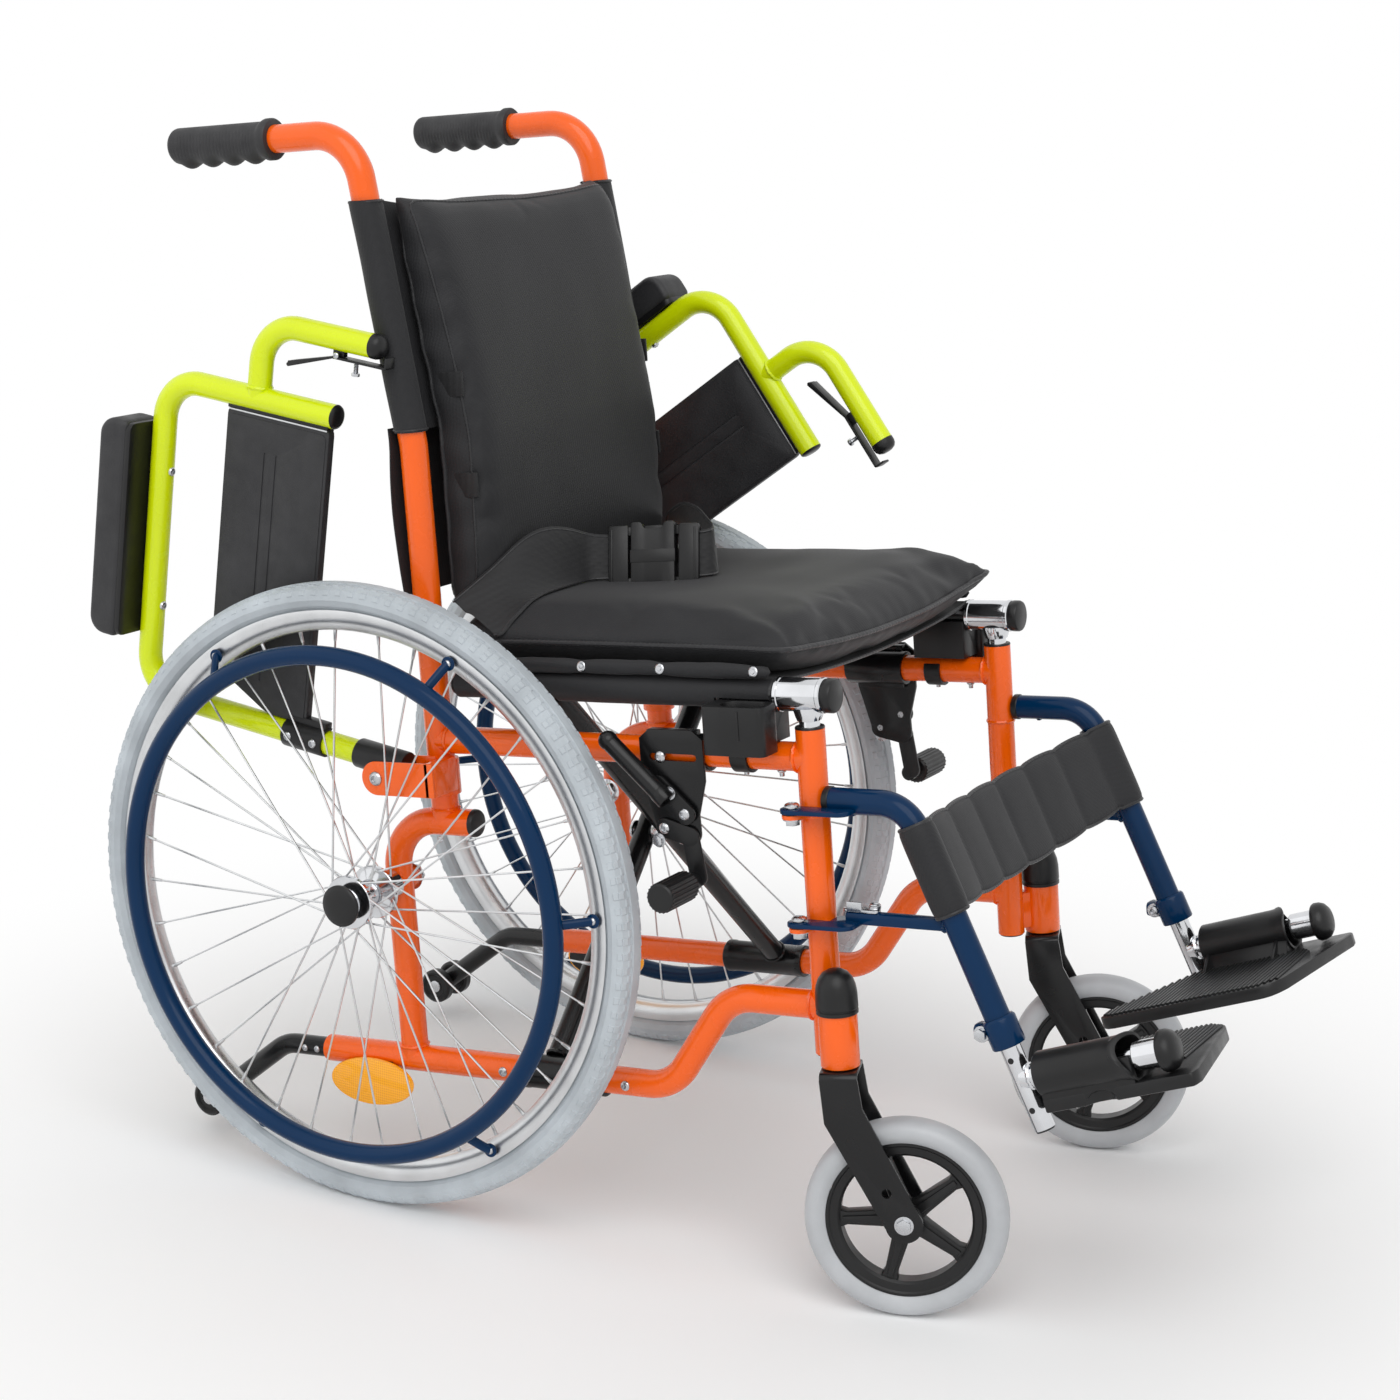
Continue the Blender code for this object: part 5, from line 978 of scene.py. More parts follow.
    def ring(self) -> None:
        """Turns the handrim and bolts it to the rim by its tabs."""
        form = Form(self.place)
        section = [
            (self.handrim + radius, self.handrim_out + height)
            for radius, height in arc((0, 0), self.handrim_tube, 0, 345, 23)
        ]
        form.turned(section, None, 144)
        bolts = Form(self.place)
        for count in range(self.tabs):
            turn = 2 * math.pi * (count + 0.5) / self.tabs
            heading = Vector((math.cos(turn), math.sin(turn), 0))
            across = Vector((-math.sin(turn), math.cos(turn), 0))
            start = heading * (self.handrim + 0.003) + Vector((0, 0, self.handrim_out - 0.004))
            middle = heading * (self.bead - 0.0105) + Vector((0, 0, 0.0215))
            foot = heading * (self.bead - 0.0045) + Vector((0, 0, 0.0150))
            form.pipe(rounded([start, middle, foot], 0.006, 15), 0.0042, 14, 0.8)
            form.rod(foot - Vector((0, 0, 0.0006)), foot + Vector((0, 0, 0.0012)), 0.0064, 20, 0.0004)
            bolts.screw(foot + Vector((0, 0, 0.0012)) + across * 0.0001, Vector((0, 0, 1)), 0.0036, 0.0022)
        form.piece(f"push_ring_{self.side.tag}", self.body, NAVY, (f"handrim_{self.side.tag}",))
        bolts.piece(f"push_ring_bolts_{self.side.tag}", self.body, STEEL)

    def axle(self) -> None:
        """Turns the axle with its inner nut and its black cap, which stay with the frame."""
        form, cap = Form(self.place), Form(self.place)
        form.turned([(0, 0.0312), (0.0060, 0.0312), (0.0060, -0.0745), (0, -0.0745)], None, 32, closed=False)
        dome = [(0, 0.0372), (0.0080, 0.0370), (0.0140, 0.0362), (0.0176, 0.0350), (0.0190, 0.0336), (0.0190, 0.0314)]
        cap.turned(dome + [(0.0182, 0.0309), (0, 0.0309)], None, 48, closed=False)
        cap.piece(f"axle_cap_{self.side.tag}", f"frame_{self.side.tag}", PLASTIC)
        form.nut(Vector((0, 0, -0.0755)), Vector((0, 0, -1)), 0.0104, 0.0080)
        form.piece(f"axle_shaft_{self.side.tag}", f"frame_{self.side.tag}", CHROME, (f"axle_{self.side.tag}",))

    def build(self) -> None:
        """Makes the wheel's pieces."""
        self.tyre()
        self.rim()
        self.ring()
        self.axle()


@dataclass
class Caster:
    """A front caster: bent-plate fork, spoked rim, solid tyre and axle bolt."""

    side: Side
    radius: float = 0.087
    half: float = 0.015
    bead: float = 0.0683
    trail: float = 0.0484
    turn: float = math.radians(19.5)
    out: float = 0.0245
    ahead: float = 0.022
    gap: float = 0.0045
    plate: float = 0.0035
    width: float = 0.032
    pin: float = 0.004
    spokes: int = 5

    @property
    def drop(self) -> float:
        """Height of the swivel's lower end above the axle, along the post.

        Returns:
            The height.
        """
        low = CHAIR.post_low - 0.0015
        rise = (CHAIR.post + self.ahead) * math.sin(CHAIR.pitch) + low * math.cos(CHAIR.pitch)
        lift = self.trail * math.cos(self.turn) * math.sin(CHAIR.pitch)
        return (CHAIR.wheel + rise + lift - self.radius) / math.cos(CHAIR.pitch)

    @property
    def swivel(self) -> Matrix:
        """The swivel's frame, its axis on Z."""
        spot = self.side.at(CHAIR.out + self.out, CHAIR.post + self.ahead, CHAIR.post_low - 0.0015)
        return CHAIR.place @ Matrix.Translation(spot) @ Matrix.Rotation(self.turn, 4, "Z")

    @property
    def spin(self) -> Matrix:
        """The wheel's frame, its axle on Z with outward up."""
        turn = Matrix.Rotation(self.side.value * math.radians(90), 4, "Y")
        return self.swivel @ Matrix.Translation((0, -self.trail, -self.drop)) @ turn

    def fork(self) -> None:
        """Bends the fork's plate and adds its stem, washer and axle bolt."""
        inner = self.half + self.gap
        outer = inner + self.plate
        half = self.width / 2
        foot = (self.trail, -self.drop)
        form = Form(self.swivel)
        corners = [(half, -0.0062), (half + 0.003, -0.032)]
        outline = corners + arc(foot, half, 14, -166, 24) + [(-half + 0.0022, -0.044), (-half, -0.0062)]
        rise = (Vector((0, -0.030)) - Vector(foot)).normalized() * 0.031
        spare = arc((foot[0] + rise.x, foot[1] + rise.y), 0.0042, 0, 345, 23)
        for way in (-1, 1):
            form.slab(outline, self.plate, side_plane(Side.LEFT, way * (inner + self.plate / 2)), 0.0009, (spare,))
        section = arc((outer - 0.006, -0.0071), 0.0060, 0, 90, 8) + arc((-outer + 0.006, -0.0071), 0.0060, 90, 180, 8)
        section += [(-inner, -0.0071)] + arc((-inner + 0.0025, -0.0071), 0.0025, 180, 90, 5)
        section += arc((inner - 0.0025, -0.0071), 0.0025, 90, 0, 5)
        turn = Matrix(((1, 0, 0), (0, 0, -1), (0, 1, 0))).to_4x4()
        form.slab(section, self.width - 0.0002, turn, 0.0008)
        form.rod(Vector((0, 0, -0.0012)), Vector((0, 0, 0.0006)), 0.0125, 32, 0.0004)
        form.rod(Vector((0, 0, -0.003)), Vector((0, 0, 0.036)), 0.006, 20, 0)
        form.piece(
            f"fork_plate_{self.side.tag}", f"caster_fork_{self.side.tag}", POWDER, (f"fork_{self.side.tag}",), 28
        )
        bolt = Form(self.swivel)
        axis = Vector((0, -foot[0], foot[1]))
        bolt.rod(axis - Vector((outer, 0, 0)), axis + Vector((outer, 0, 0)), self.pin, 20, 0)
        bolt.nut(axis - Vector((outer, 0, 0)), Vector((-1, 0, 0)), 0.0066, 0.0034)
        bolt.screw(axis + Vector((outer, 0, 0)), Vector((1, 0, 0)), 0.0066, 0.0036)
        for way in (-1, 1):
            bolt.rod(
                axis + Vector((way * (self.half + 0.0016), 0, 0)),
                axis + Vector((way * inner, 0, 0)),
                0.0062,
                20,
                0.0002,
            )
        bolt.piece(f"fork_bolt_{self.side.tag}", f"caster_fork_{self.side.tag}", STEEL)

    def wheel(self) -> None:
        """Turns the tyre and moulds the rim with its ribbed spokes."""
        half, bead, crown = self.half, self.bead, self.radius
        upper = [
            (bead, half - 0.0040), (bead + 0.0012, half - 0.0028), (bead + 0.0060, half - 0.0004),
            (bead + 0.0105, half),
            (crown - 0.0050, half * 0.90), (crown - 0.0020, half * 0.70), (crown - 0.0006, half * 0.46),
            (crown - 0.0001, half * 0.24), (crown, 0.0006),
        ]
        tyre = Form(self.spin)
        tyre.turned(mirrored(upper), None, 96)
        body = f"caster_wheel_{self.side.tag}"
        tyre.piece(f"caster_tread_{self.side.tag}", body, CASTER_GREY, (f"caster_tyre_{self.side.tag}",), 40)
        rim = Form(self.spin)
        outer, depth, reach = bead - 0.0003, 0.012, half - 0.004
        section = [
            (outer, reach), (outer - 0.0022, reach), (outer - 0.0036, reach - 0.0014),
            (outer - depth + 0.0022, reach - 0.0020),
            (outer - depth, reach - 0.0042),
        ]
        rim.turned(section + [(radius, -height) for radius, height in reversed(section)], None, 72)
        hub = [
            (self.pin + 0.0003, 0.0155), (0.0092, 0.0155), (0.0100, 0.0148), (0.0104, 0.0105), (0.0136, 0.0092),
            (0.0145, 0.0080),
        ]
        rim.turned(hub + [(radius, -height) for radius, height in reversed(hub)], None, 40)
        for count in range(self.spokes):
            angle = 2 * math.pi * (count + 0.25) / self.spokes
            turn = Matrix.Rotation(angle, 4, "Z")
            end = outer - depth + 0.004
            outline = [(0.008, -0.0090), (0.020, -0.0074), (end - 0.010, -0.0056), (end, -0.0090)]
            outline += [(radius, -across) for radius, across in reversed(outline)]
            rim.slab(outline, reach * 1.15, turn, 0.0012)
            ridge = [(0.012, -0.0040), (end - 0.006, -0.0026), (end - 0.006, 0.0026), (0.012, 0.0040)]
            rim.slab(ridge, reach * 1.55, turn, 0.0009)
        rim.piece(f"caster_spider_{self.side.tag}", body, PLASTIC, (f"caster_rim_{self.side.tag}",), 30)

    def build(self) -> None:
        """Makes the caster's pieces."""
        self.fork()
        self.wheel()


@dataclass
class AntiTip:
    """The anti-tip tube behind the lower tube, with its two small wheels."""

    side: Side
    tube: float = 0.0095
    start: float = -0.058
    bend: float = -0.150
    axle_back: float = 0.236
    axle_up: float = -0.227
    wheel: float = 0.018
    wheel_width: float = 0.012

    def build(self) -> None:
        """Makes the tube with its spring button, the wheels and their bolt."""
        side, tag = self.side, self.side.tag
        end = Vector((-self.axle_back, self.axle_up))
        end += (end - Vector((self.bend, CHAIR.lower_up))).normalized() * 0.006
        form = Form()
        corners = side.line(CHAIR.out, (self.start, CHAIR.lower_up), (self.bend, CHAIR.lower_up), (end.x, end.y))
        form.pipe(rounded(corners, 0.040), self.tube, 24)
        form.piece(f"anti_tip_leg_{tag}", f"frame_{tag}", POWDER, (f"anti_tip_tube_{tag}",))
        button = Form()
        for ahead in (-0.108, -0.122):
            button.screw(
                side.at(CHAIR.out + self.tube - 0.0004, ahead, CHAIR.lower_up),
                Vector((side.value, 0, 0)),
                0.0032,
                0.0018,
            )
        button.piece(f"anti_tip_buttons_{tag}", f"frame_{tag}", STEEL)
        spot = side.at(CHAIR.out, -self.axle_back, self.axle_up)
        turn = Matrix.Rotation(side.value * math.radians(90), 4, "Y")
        place = CHAIR.place @ Matrix.Translation(spot) @ turn
        wheels, pin = Form(place), Form(place)
        near = self.tube + 0.001
        far = near + self.wheel_width
        for way in (-1, 1):
            section = [
                (0.0060, near + 0.0022), (0.0120, near + 0.0022), (0.0136, near), (self.wheel - 0.0024, near),
                (self.wheel, near + 0.0022),
                (self.wheel, far - 0.0022), (self.wheel - 0.0024, far), (0.0136, far), (0.0120, far - 0.0022),
                (0.0060, far - 0.0022),
            ]
            wheels.turned([(radius, way * height) for radius, height in section], None, 40)
            pin.rod(Vector((0, 0, way * (near + 0.001))), Vector((0, 0, way * (far - 0.0006))), 0.0064, 24, 0.0004)
        pin.rod(Vector((0, 0, -near)), Vector((0, 0, near)), 0.003, 12, 0)
        wheels.piece(f"anti_tip_tyres_{tag}", f"anti_tip_{tag}", PLASTIC, (f"anti_tip_wheels_{tag}",))
        pin.piece(f"anti_tip_hubs_{tag}", f"anti_tip_{tag}", STEEL)


# Frame

def cross_plane(side: Side, ahead: float) -> Matrix:
    """Places an (out, up) outline square to the rails.

    Args:
        side: The side of the chair.
        ahead: Distance of the plane ahead of the hubs.

    Returns:
        The placing matrix.
    """
    sign = side.value
    return Matrix.Translation((0, -ahead, 0)) @ Matrix(((sign, 0, 0), (0, 0, -sign), (0, 1, 0))).to_4x4()


def bead(form: Form, centre: Vector, heading: Vector, radius: float, flat: float = 1.0) -> None:
    """Lays a slightly uneven weld bead round a tube.

    Args:
        form: The form that gets the bead.
        centre: Centre of the bead's ring.
        heading: Axis of the ring.
        radius: Radius of the tube that it goes round.
        flat: Height of the ring as a share of its width.
    """
    part = bmesh.new()
    points = [part.verts.new((radius + across, 0, up)) for across, up in arc((0, 0), 0.0018, 0, 300, 5)]
    edges = [part.edges.new(pair) for pair in zip(points, points[1:] + points[:1])]
    bmesh.ops.spin(
        part, geom=points + edges, cent=(0, 0, 0), axis=(0, 0, 1), angle=2 * math.pi, steps=56, use_merge=True,
    )
    bmesh.ops.remove_doubles(part, verts=part.verts, dist=0.000005)
    for point in part.verts:
        turn = math.atan2(point.co.y, point.co.x)
        point.co.z += 0.0003 * math.sin(17 * turn) + 0.0002 * math.sin(9 * turn + 1)
        point.co.x *= 1.0 + 0.010 * math.sin(23 * turn)
    form.take(part, toward(centre, centre + heading) @ Matrix.Diagonal((1, flat, 1, 1)))


@dataclass
class SideFrame:
    """The welded frame of one side, with its plugs, cap, screws and reflector."""

    side: Side
    bend: float = 0.047
    lower_rear: float = -0.098
    step_end: float = 0.3403
    step_run: float = 0.064
    axle_tube_up: float = 0.059
    axle_tube_front: float = 0.088
    pivot: tuple[float, float] = (0.0158, 0.1064)
    lower_screws: tuple[float, float] = (0.1045, 0.2341)
    rail_screws: tuple[float, float] = (0.4059, 0.3720)
    ear: float = 0.0155
    ear_thickness: float = 0.0025
    ear_planes: tuple[float, float] = (0.20375, 0.23425)
    housing: tuple[float, float] = (0.2165, 0.457)
    housing_radius: float = 0.0167
    housing_low: float = -0.1235
    housing_length: float = 0.0465
    hinge: tuple[float, float] = (0.214, 0.425)
    lugs: tuple[float, float] = (0.0870, -0.0105)

    @property
    def body(self) -> str:
        """The body that the frame is."""
        return f"frame_{self.side.tag}"

    def tubes(self) -> None:
        """Bends and welds the painted tubes, ears, housing and lugs."""
        side, out, radius = self.side, CHAIR.out, CHAIR.tube
        form = Form()
        lower = side.line(
            out, (self.lower_rear, CHAIR.lower_up), (self.step_end - self.step_run, CHAIR.lower_up),
            (self.step_end, CHAIR.lower_front_up), (CHAIR.post, CHAIR.lower_front_up),
        )
        axle = side.line(out, (0, CHAIR.lower_up), (0, self.axle_tube_up), (self.axle_tube_front, self.axle_tube_up))
        back = side.line(
            out, (CHAIR.back, self.axle_tube_up), (CHAIR.back, CHAIR.back_bend_up),
            (CHAIR.handle_ahead, CHAIR.handle_up), (CHAIR.handle_rear, CHAIR.handle_up),
        )
        for route in (lower, axle, back):
            form.pipe(rounded(route, self.bend), radius, 32)
        form.rod(
            side.at(out, CHAIR.post, CHAIR.post_low), side.at(out, CHAIR.post, CHAIR.post_top), radius + 0.0001, 36
        )
        form.rod(
            side.at(out, CHAIR.back, CHAIR.rail_up), side.at(out, CHAIR.post, CHAIR.rail_up), radius - 0.0001, 32, 0
        )
        form.rod(side.at(out, CHAIR.back, 0.085), side.at(out, CHAIR.back, 0.118), radius + 0.0033, 36, 0.0010)
        form.rod(side.at(out - radius - 0.0035, 0, 0), side.at(out + 0.0135, 0, 0), 0.011, 32, 0.0008)
        self.ears(form)
        self.housing_and_lugs(form)
        ahead, up = Vector((0, -1, 0)), Vector((0, 0, 1))
        bead(form, side.at(out, CHAIR.back + radius, CHAIR.rail_up), ahead, radius - 0.0002)
        bead(form, side.at(out, CHAIR.post - radius, CHAIR.rail_up), ahead, radius - 0.0002)
        bead(form, side.at(out, CHAIR.post - radius, CHAIR.lower_front_up), ahead, radius - 0.0002)
        bead(form, side.at(out, 0, CHAIR.lower_up + radius), up, radius - 0.0002)
        bead(form, side.at(out, CHAIR.back, self.axle_tube_up + radius), up, radius - 0.0002)
        form.piece(f"welded_frame_{side.tag}", self.body, ORANGE, (f"side_frame_{side.tag}",), 34)

    def ears(self, form: Form) -> None:
        """Adds the folded bracket that carries the armrest.

        Args:
            form: The frame's form.
        """
        side, (ahead, up) = self.side, self.pivot
        inner, outer = self.ear_planes
        reach = CHAIR.back + CHAIR.tube + 0.0073
        nose = arc((ahead, up), self.ear, 90, 270, 24)
        inner_outline = nose + [(CHAIR.back + 0.003, up - self.ear), (CHAIR.back + 0.003, up + self.ear)]
        outer_outline = nose + [(reach, up - self.ear), (reach, up + self.ear)]
        form.slab(inner_outline, self.ear_thickness, side_plane(side, inner), 0.0005)
        form.slab(outer_outline, self.ear_thickness, side_plane(side, outer), 0.0006)
        bend = 0.006
        corner = (outer + self.ear_thickness / 2 - bend, reach - bend + 0.0002)
        fold = [(CHAIR.out + 0.006, reach - 0.009), (CHAIR.out + 0.006, reach + 0.0002)]
        fold += arc(corner, bend, 90, 0, 8) + [(outer + self.ear_thickness / 2, reach - 0.009)]
        form.slab(fold, 2 * self.ear - 0.0004, deck_plane(side, up), 0.0004)
        form.rod(side.at(inner, ahead, up), side.at(outer, ahead, up), 0.004, 20, 0)

    def housing_and_lugs(self, form: Form) -> None:
        """Adds the caster housing with its web, and the lugs of the legrest.

        Args:
            form: The frame's form.
        """
        side = self.side
        out, ahead = self.housing
        low, top = self.housing_low, self.housing_low + self.housing_length
        form.rod(side.at(out, ahead, low), side.at(out, ahead, top), self.housing_radius, 40, 0.0009)
        web = bar((CHAIR.out, CHAIR.post), self.housing, 0.0142, 4)
        form.slab(web, self.housing_length - 0.012, deck_plane(side, low + self.housing_length / 2), 0.0007)
        for lug_up in self.lugs:
            lug = bar((CHAIR.out, CHAIR.post), self.hinge, 0.018, 14)
            form.slab(lug, 0.004, deck_plane(side, lug_up + 0.002), 0.0009)
            bead(form, side.at(CHAIR.out, CHAIR.post, lug_up + 0.0002), Vector((0, 0, 1)), CHAIR.tube - 0.0004)

    def fittings(self) -> None:
        """Adds the black plugs, the housing's cap and the ring at the post's top."""
        side, out = self.side, CHAIR.out
        form = Form()
        top = self.housing_low + self.housing_length - 0.0005
        place = Matrix.Translation(side.at(*self.housing, top))
        dome = [(0, 0.0384), (0.0058, 0.0376), (0.0108, 0.0350), (0.0146, 0.0304), (0.0168, 0.0244), (0.0178, 0.0176)]
        dome += [
            (0.0180, 0.0080), (0.0180, 0.0052), (0.0172, 0.0046), (0.0172, 0.0036), (0.0180, 0.0030), (0.0180, 0.0004)
        ]
        form.turned(dome + [(0.0176, 0), (0, 0)], place, 48, closed=False)
        front = self.axle_tube_front
        plug = [
            (0, 0.0052), (0.0096, 0.0050), (0.0116, 0.0042), (0.0126, 0.0026), (0.0128, 0), (0.0104, 0),
            (0.0104, -0.008), (0, -0.008),
        ]
        form.turned(
            plug,
            toward(side.at(out, front, self.axle_tube_up), side.at(out, front + 1, self.axle_tube_up)),
            32,
            closed=False,
        )
        ring = [
            (0.0092, 0.0018), (0.0108, 0.0021), (0.0122, 0.0018), (0.0127, 0.0010), (0.0127, 0.0001), (0.0092, 0.0001)
        ]
        form.turned(ring, Matrix.Translation(side.at(out, CHAIR.post, CHAIR.post_top)), 36)
        form.rod(
            side.at(out, CHAIR.post, CHAIR.post_low + 0.001),
            side.at(out, CHAIR.post, CHAIR.post_low - 0.0014),
            0.0112,
            32,
        )
        for lug_up in (self.lugs[0] + 0.0042, self.lugs[1] + 0.0042):
            form.rod(side.at(*self.hinge, lug_up), side.at(*self.hinge, lug_up + 0.0008), 0.0086, 28, 0.0002)
        form.piece(f"frame_plugs_{side.tag}", self.body, PLASTIC, smooth=36)
        self.screws()

    def screws(self) -> None:
        """Adds the frame's screws, the hinge bolts and the armrest's pivot bolt."""
        side, out, radius = self.side, CHAIR.out, CHAIR.tube
        outward, up, down = Vector((side.value, 0, 0)), Vector((0, 0, 1)), Vector((0, 0, -1))
        form = Form()
        for ahead in self.lower_screws:
            form.screw(side.at(out + radius - 0.0005, ahead, CHAIR.lower_up), outward, 0.0046, 0.0026)
        for ahead in self.rail_screws:
            form.screw(side.at(out, ahead, CHAIR.rail_up - radius + 0.0003), down, 0.0040, 0.0022)
            form.rod(
                side.at(out, ahead, CHAIR.rail_up - radius),
                side.at(out, ahead, CHAIR.rail_up - radius - 0.0052),
                0.0022,
                12,
                0.0004,
            )
        for lug_up in self.lugs:
            form.rod(side.at(*self.hinge, lug_up + 0.002), side.at(*self.hinge, lug_up + 0.0118), 0.004, 20, 0.0003)
            form.screw(side.at(*self.hinge, lug_up + 0.0104), up, 0.0066, 0.0032)
            form.nut(side.at(*self.hinge, lug_up + 0.0001), down, 0.0066, 0.0044)
        inner, outer = self.ear_planes
        form.screw(side.at(outer + self.ear_thickness / 2, *self.pivot), outward, 0.0066, 0.0034)
        form.nut(side.at(inner - self.ear_thickness / 2, *self.pivot), -outward, 0.0064, 0.0036)
        form.screw(side.at(out + 0.0120, CHAIR.back, 0.0715 - 0.0262), outward, 0.0030, 0.0014)
        form.piece(f"frame_screws_{side.tag}", self.body, STEEL, smooth=30)

    def reflector(self) -> None:
        """Adds the oval reflector on its clip under the lower tube."""
        side = self.side
        centre = (-0.0400, -0.1910)
        outline = [
            (centre[0] + 0.046 * math.cos(angle), centre[1] + 0.0225 * math.sin(angle))
            for angle in (2 * math.pi * count / 48 for count in range(48))
        ]
        form = Form()
        form.slab(outline, 0.0052, side_plane(side, CHAIR.out + 0.0170), 0.0016)
        form.piece(f"reflector_lens_{side.tag}", self.body, AMBER)
        clip = Form()
        rear = [(centre[0] + 0.93 * (ahead - centre[0]), centre[1] + 0.90 * (up - centre[1])) for ahead, up in outline]
        clip.slab(rear, 0.0024, side_plane(side, CHAIR.out + 0.0136), 0.0006)
        for ahead in (centre[0] - 0.018, centre[0] + 0.018):
            post = [(CHAIR.out + 0.0030, CHAIR.lower_up - 0.0124), (CHAIR.out + 0.0146, CHAIR.lower_up - 0.0124)]
            post += [(CHAIR.out + 0.0146, CHAIR.lower_up - 0.0026), (CHAIR.out + 0.0126, CHAIR.lower_up - 0.0026)]
            clip.slab(post, 0.0076, cross_plane(side, ahead), 0.0003)
        clip.piece(f"reflector_clip_{side.tag}", self.body, PLASTIC)

    def build(self) -> None:
        """Makes the frame's pieces."""
        self.tubes()
        self.fittings()
        self.reflector()


@dataclass
class Grip:
    """The rubber grip of a push handle: ribbed sides, finger waves and a front collar."""

    side: Side
    length: float = 0.108
    radius: float = 0.0162
    waves: int = 4
    wave_depth: float = 0.0045
    collar: float = 0.0185
    ribs: int = 26

    def build(self) -> None:
        """Turns the grip, then presses its waves, side bands and ribs."""
        start = self.length - 0.012
        rings = 150
        profile = [
            (0, -0.0052), (0.0070, -0.0051), (0.0116, -0.0046), (0.0142, -0.0034), (0.0156, -0.0016),
            (self.radius, 0.0006),
        ]
        profile += [(self.radius, 0.0006 + (start - 0.0006) * (ring + 1) / rings) for ring in range(rings)]
        profile += [
            (self.radius + 0.0006, start + 0.0012),
            (self.collar - 0.0006, start + 0.0036),
            (self.collar, start + 0.0048),
        ]
        profile += [
            (self.collar, self.length - 0.0020), (self.collar - 0.0010, self.length - 0.0006),
            (0.0146, self.length), (0.0126, self.length),
        ]
        profile += [(0.0126, self.length - 0.02), (0, self.length - 0.02)]
        turn = Matrix.Rotation(math.radians(90), 4, "X")
        form = Form(
            CHAIR.place @ Matrix.Translation(self.side.at(CHAIR.out, CHAIR.handle_rear, CHAIR.handle_up)) @ turn
        )
        form.turned(profile, None, 48, closed=False)
        for point in form.shape.verts:
            across, rise, along = point.co
            reach = point.co.xy.length
            if not (0.0008 < along < start - 0.0005) or reach < 0.0150:
                continue
            ends = min(1.0, along / 0.010, (start - along) / 0.010)
            outer = max(0.0, min(1.0, (abs(across) / reach - 0.62) / 0.10))
            side_band = outer * max(0.0, min(1.0, (0.55 - abs(rise) / reach) / 0.1))
            rib = 0.5 + 0.5 * math.cos(2 * math.pi * self.ribs * along / start)
            point.co.xy *= 1 - ends * side_band * (0.058 - 0.050 * rib)
            if rise < -0.006:
                wave = 0.5 - 0.5 * math.cos(2 * math.pi * self.waves * along / start)
                point.co.y += wave * self.wave_depth * rise / self.radius
        form.piece(f"ribbed_grip_{self.side.tag}", f"frame_{self.side.tag}", RUBBER, (f"grip_{self.side.tag}",), 40)


@dataclass
class CrossBrace:
    """One arm of the folding cross: lower sleeve, strut and the seat tube above."""

    name: str
    low_side: Side
    ahead: float
    holds_bolt: bool
    sleeve: tuple[float, float] = (0.1205, 0.2085)
    seat_rear: float = 0.085
    strut: float = 0.0105

    def build(self) -> None:
        """Makes the strut, its sleeve, the seat tube and its front disc."""
        body = f"cross_{self.name}"
        low_side, high_side = self.low_side, Side(-self.low_side.value)
        low = low_side.at(CHAIR.out, self.ahead, CHAIR.lower_up)
        high = high_side.at(CHAIR.out, self.ahead, CHAIR.seat_up)
        form = Form()
        form.rod(low + (high - low) * 0.030, high - (high - low) * 0.004, self.strut, 32, 0)
        section = [(0.0127, 0), (0.0152, 0), (0.0160, 0.0010), (0.0160, 0.0070), (0.0154, 0.0080)]
        length = self.sleeve[1] - self.sleeve[0]
        section += [
            (0.0154, length - 0.0080), (0.0160, length - 0.0070), (0.0160, length - 0.0010), (0.0152, length),
            (0.0127, length),
        ]
        start, end = (low_side.at(CHAIR.out, ahead, CHAIR.lower_up) for ahead in self.sleeve)
        form.turned(section, toward(start, end), 40)
        start = high_side.at(CHAIR.out, self.seat_rear, CHAIR.seat_up)
        form.rod(start, high_side.at(CHAIR.out, CHAIR.seat_front + 0.002, CHAIR.seat_up), CHAIR.seat_tube, 32)
        heading = (high - low).normalized()
        bead(form, low + heading * 0.0172, heading, self.strut)
        bead(form, high - heading * 0.0120, heading, self.strut)
        form.piece(f"strut_{self.name}", body, POWDER, (self.name,), 34)
        disc = Form()
        profile = [
            (0, 0.0100), (0.0118, 0.0099), (0.0138, 0.0090), (0.0146, 0.0074), (0.0146, 0.0020),
            (0.0138, 0.0004), (0, 0.0004),
        ]
        front = high_side.at(CHAIR.out, CHAIR.seat_front, CHAIR.seat_up)
        disc.turned(profile, toward(front, front + Vector((0, -1, 0))), 40, closed=False)
        plug = [(0, 0.0034), (0.0086, 0.0032), (0.0106, 0.0022), (0.0112, 0.0002), (0, 0.0002)]
        disc.turned(plug, toward(start, start + Vector((0, 1, 0))), 32, closed=False)
        disc.piece(f"seat_tube_plugs_{self.name}", body, PLASTIC)
        if self.holds_bolt:
            bolt = Form()
            up = (CHAIR.lower_up + CHAIR.seat_up) / 2
            front, rear = Side.LEFT.at(0, 0.1955, up), Side.LEFT.at(0, 0.1355, up)
            bolt.rod(rear, front, 0.005, 24, 0.0004)
            bolt.nut(Side.LEFT.at(0, 0.1896, up), Vector((0, -1, 0)), 0.0088, 0.0052)
            bolt.screw(Side.LEFT.at(0, 0.1393, up), Vector((0, 1, 0)), 0.0092, 0.0046)
            bolt.rod(Side.LEFT.at(0, 0.1604, up), Side.LEFT.at(0, 0.1686, up), 0.0096, 28, 0.0004)
            bolt.piece(f"brace_bolt_{self.name}", body, STEEL, smooth=30)


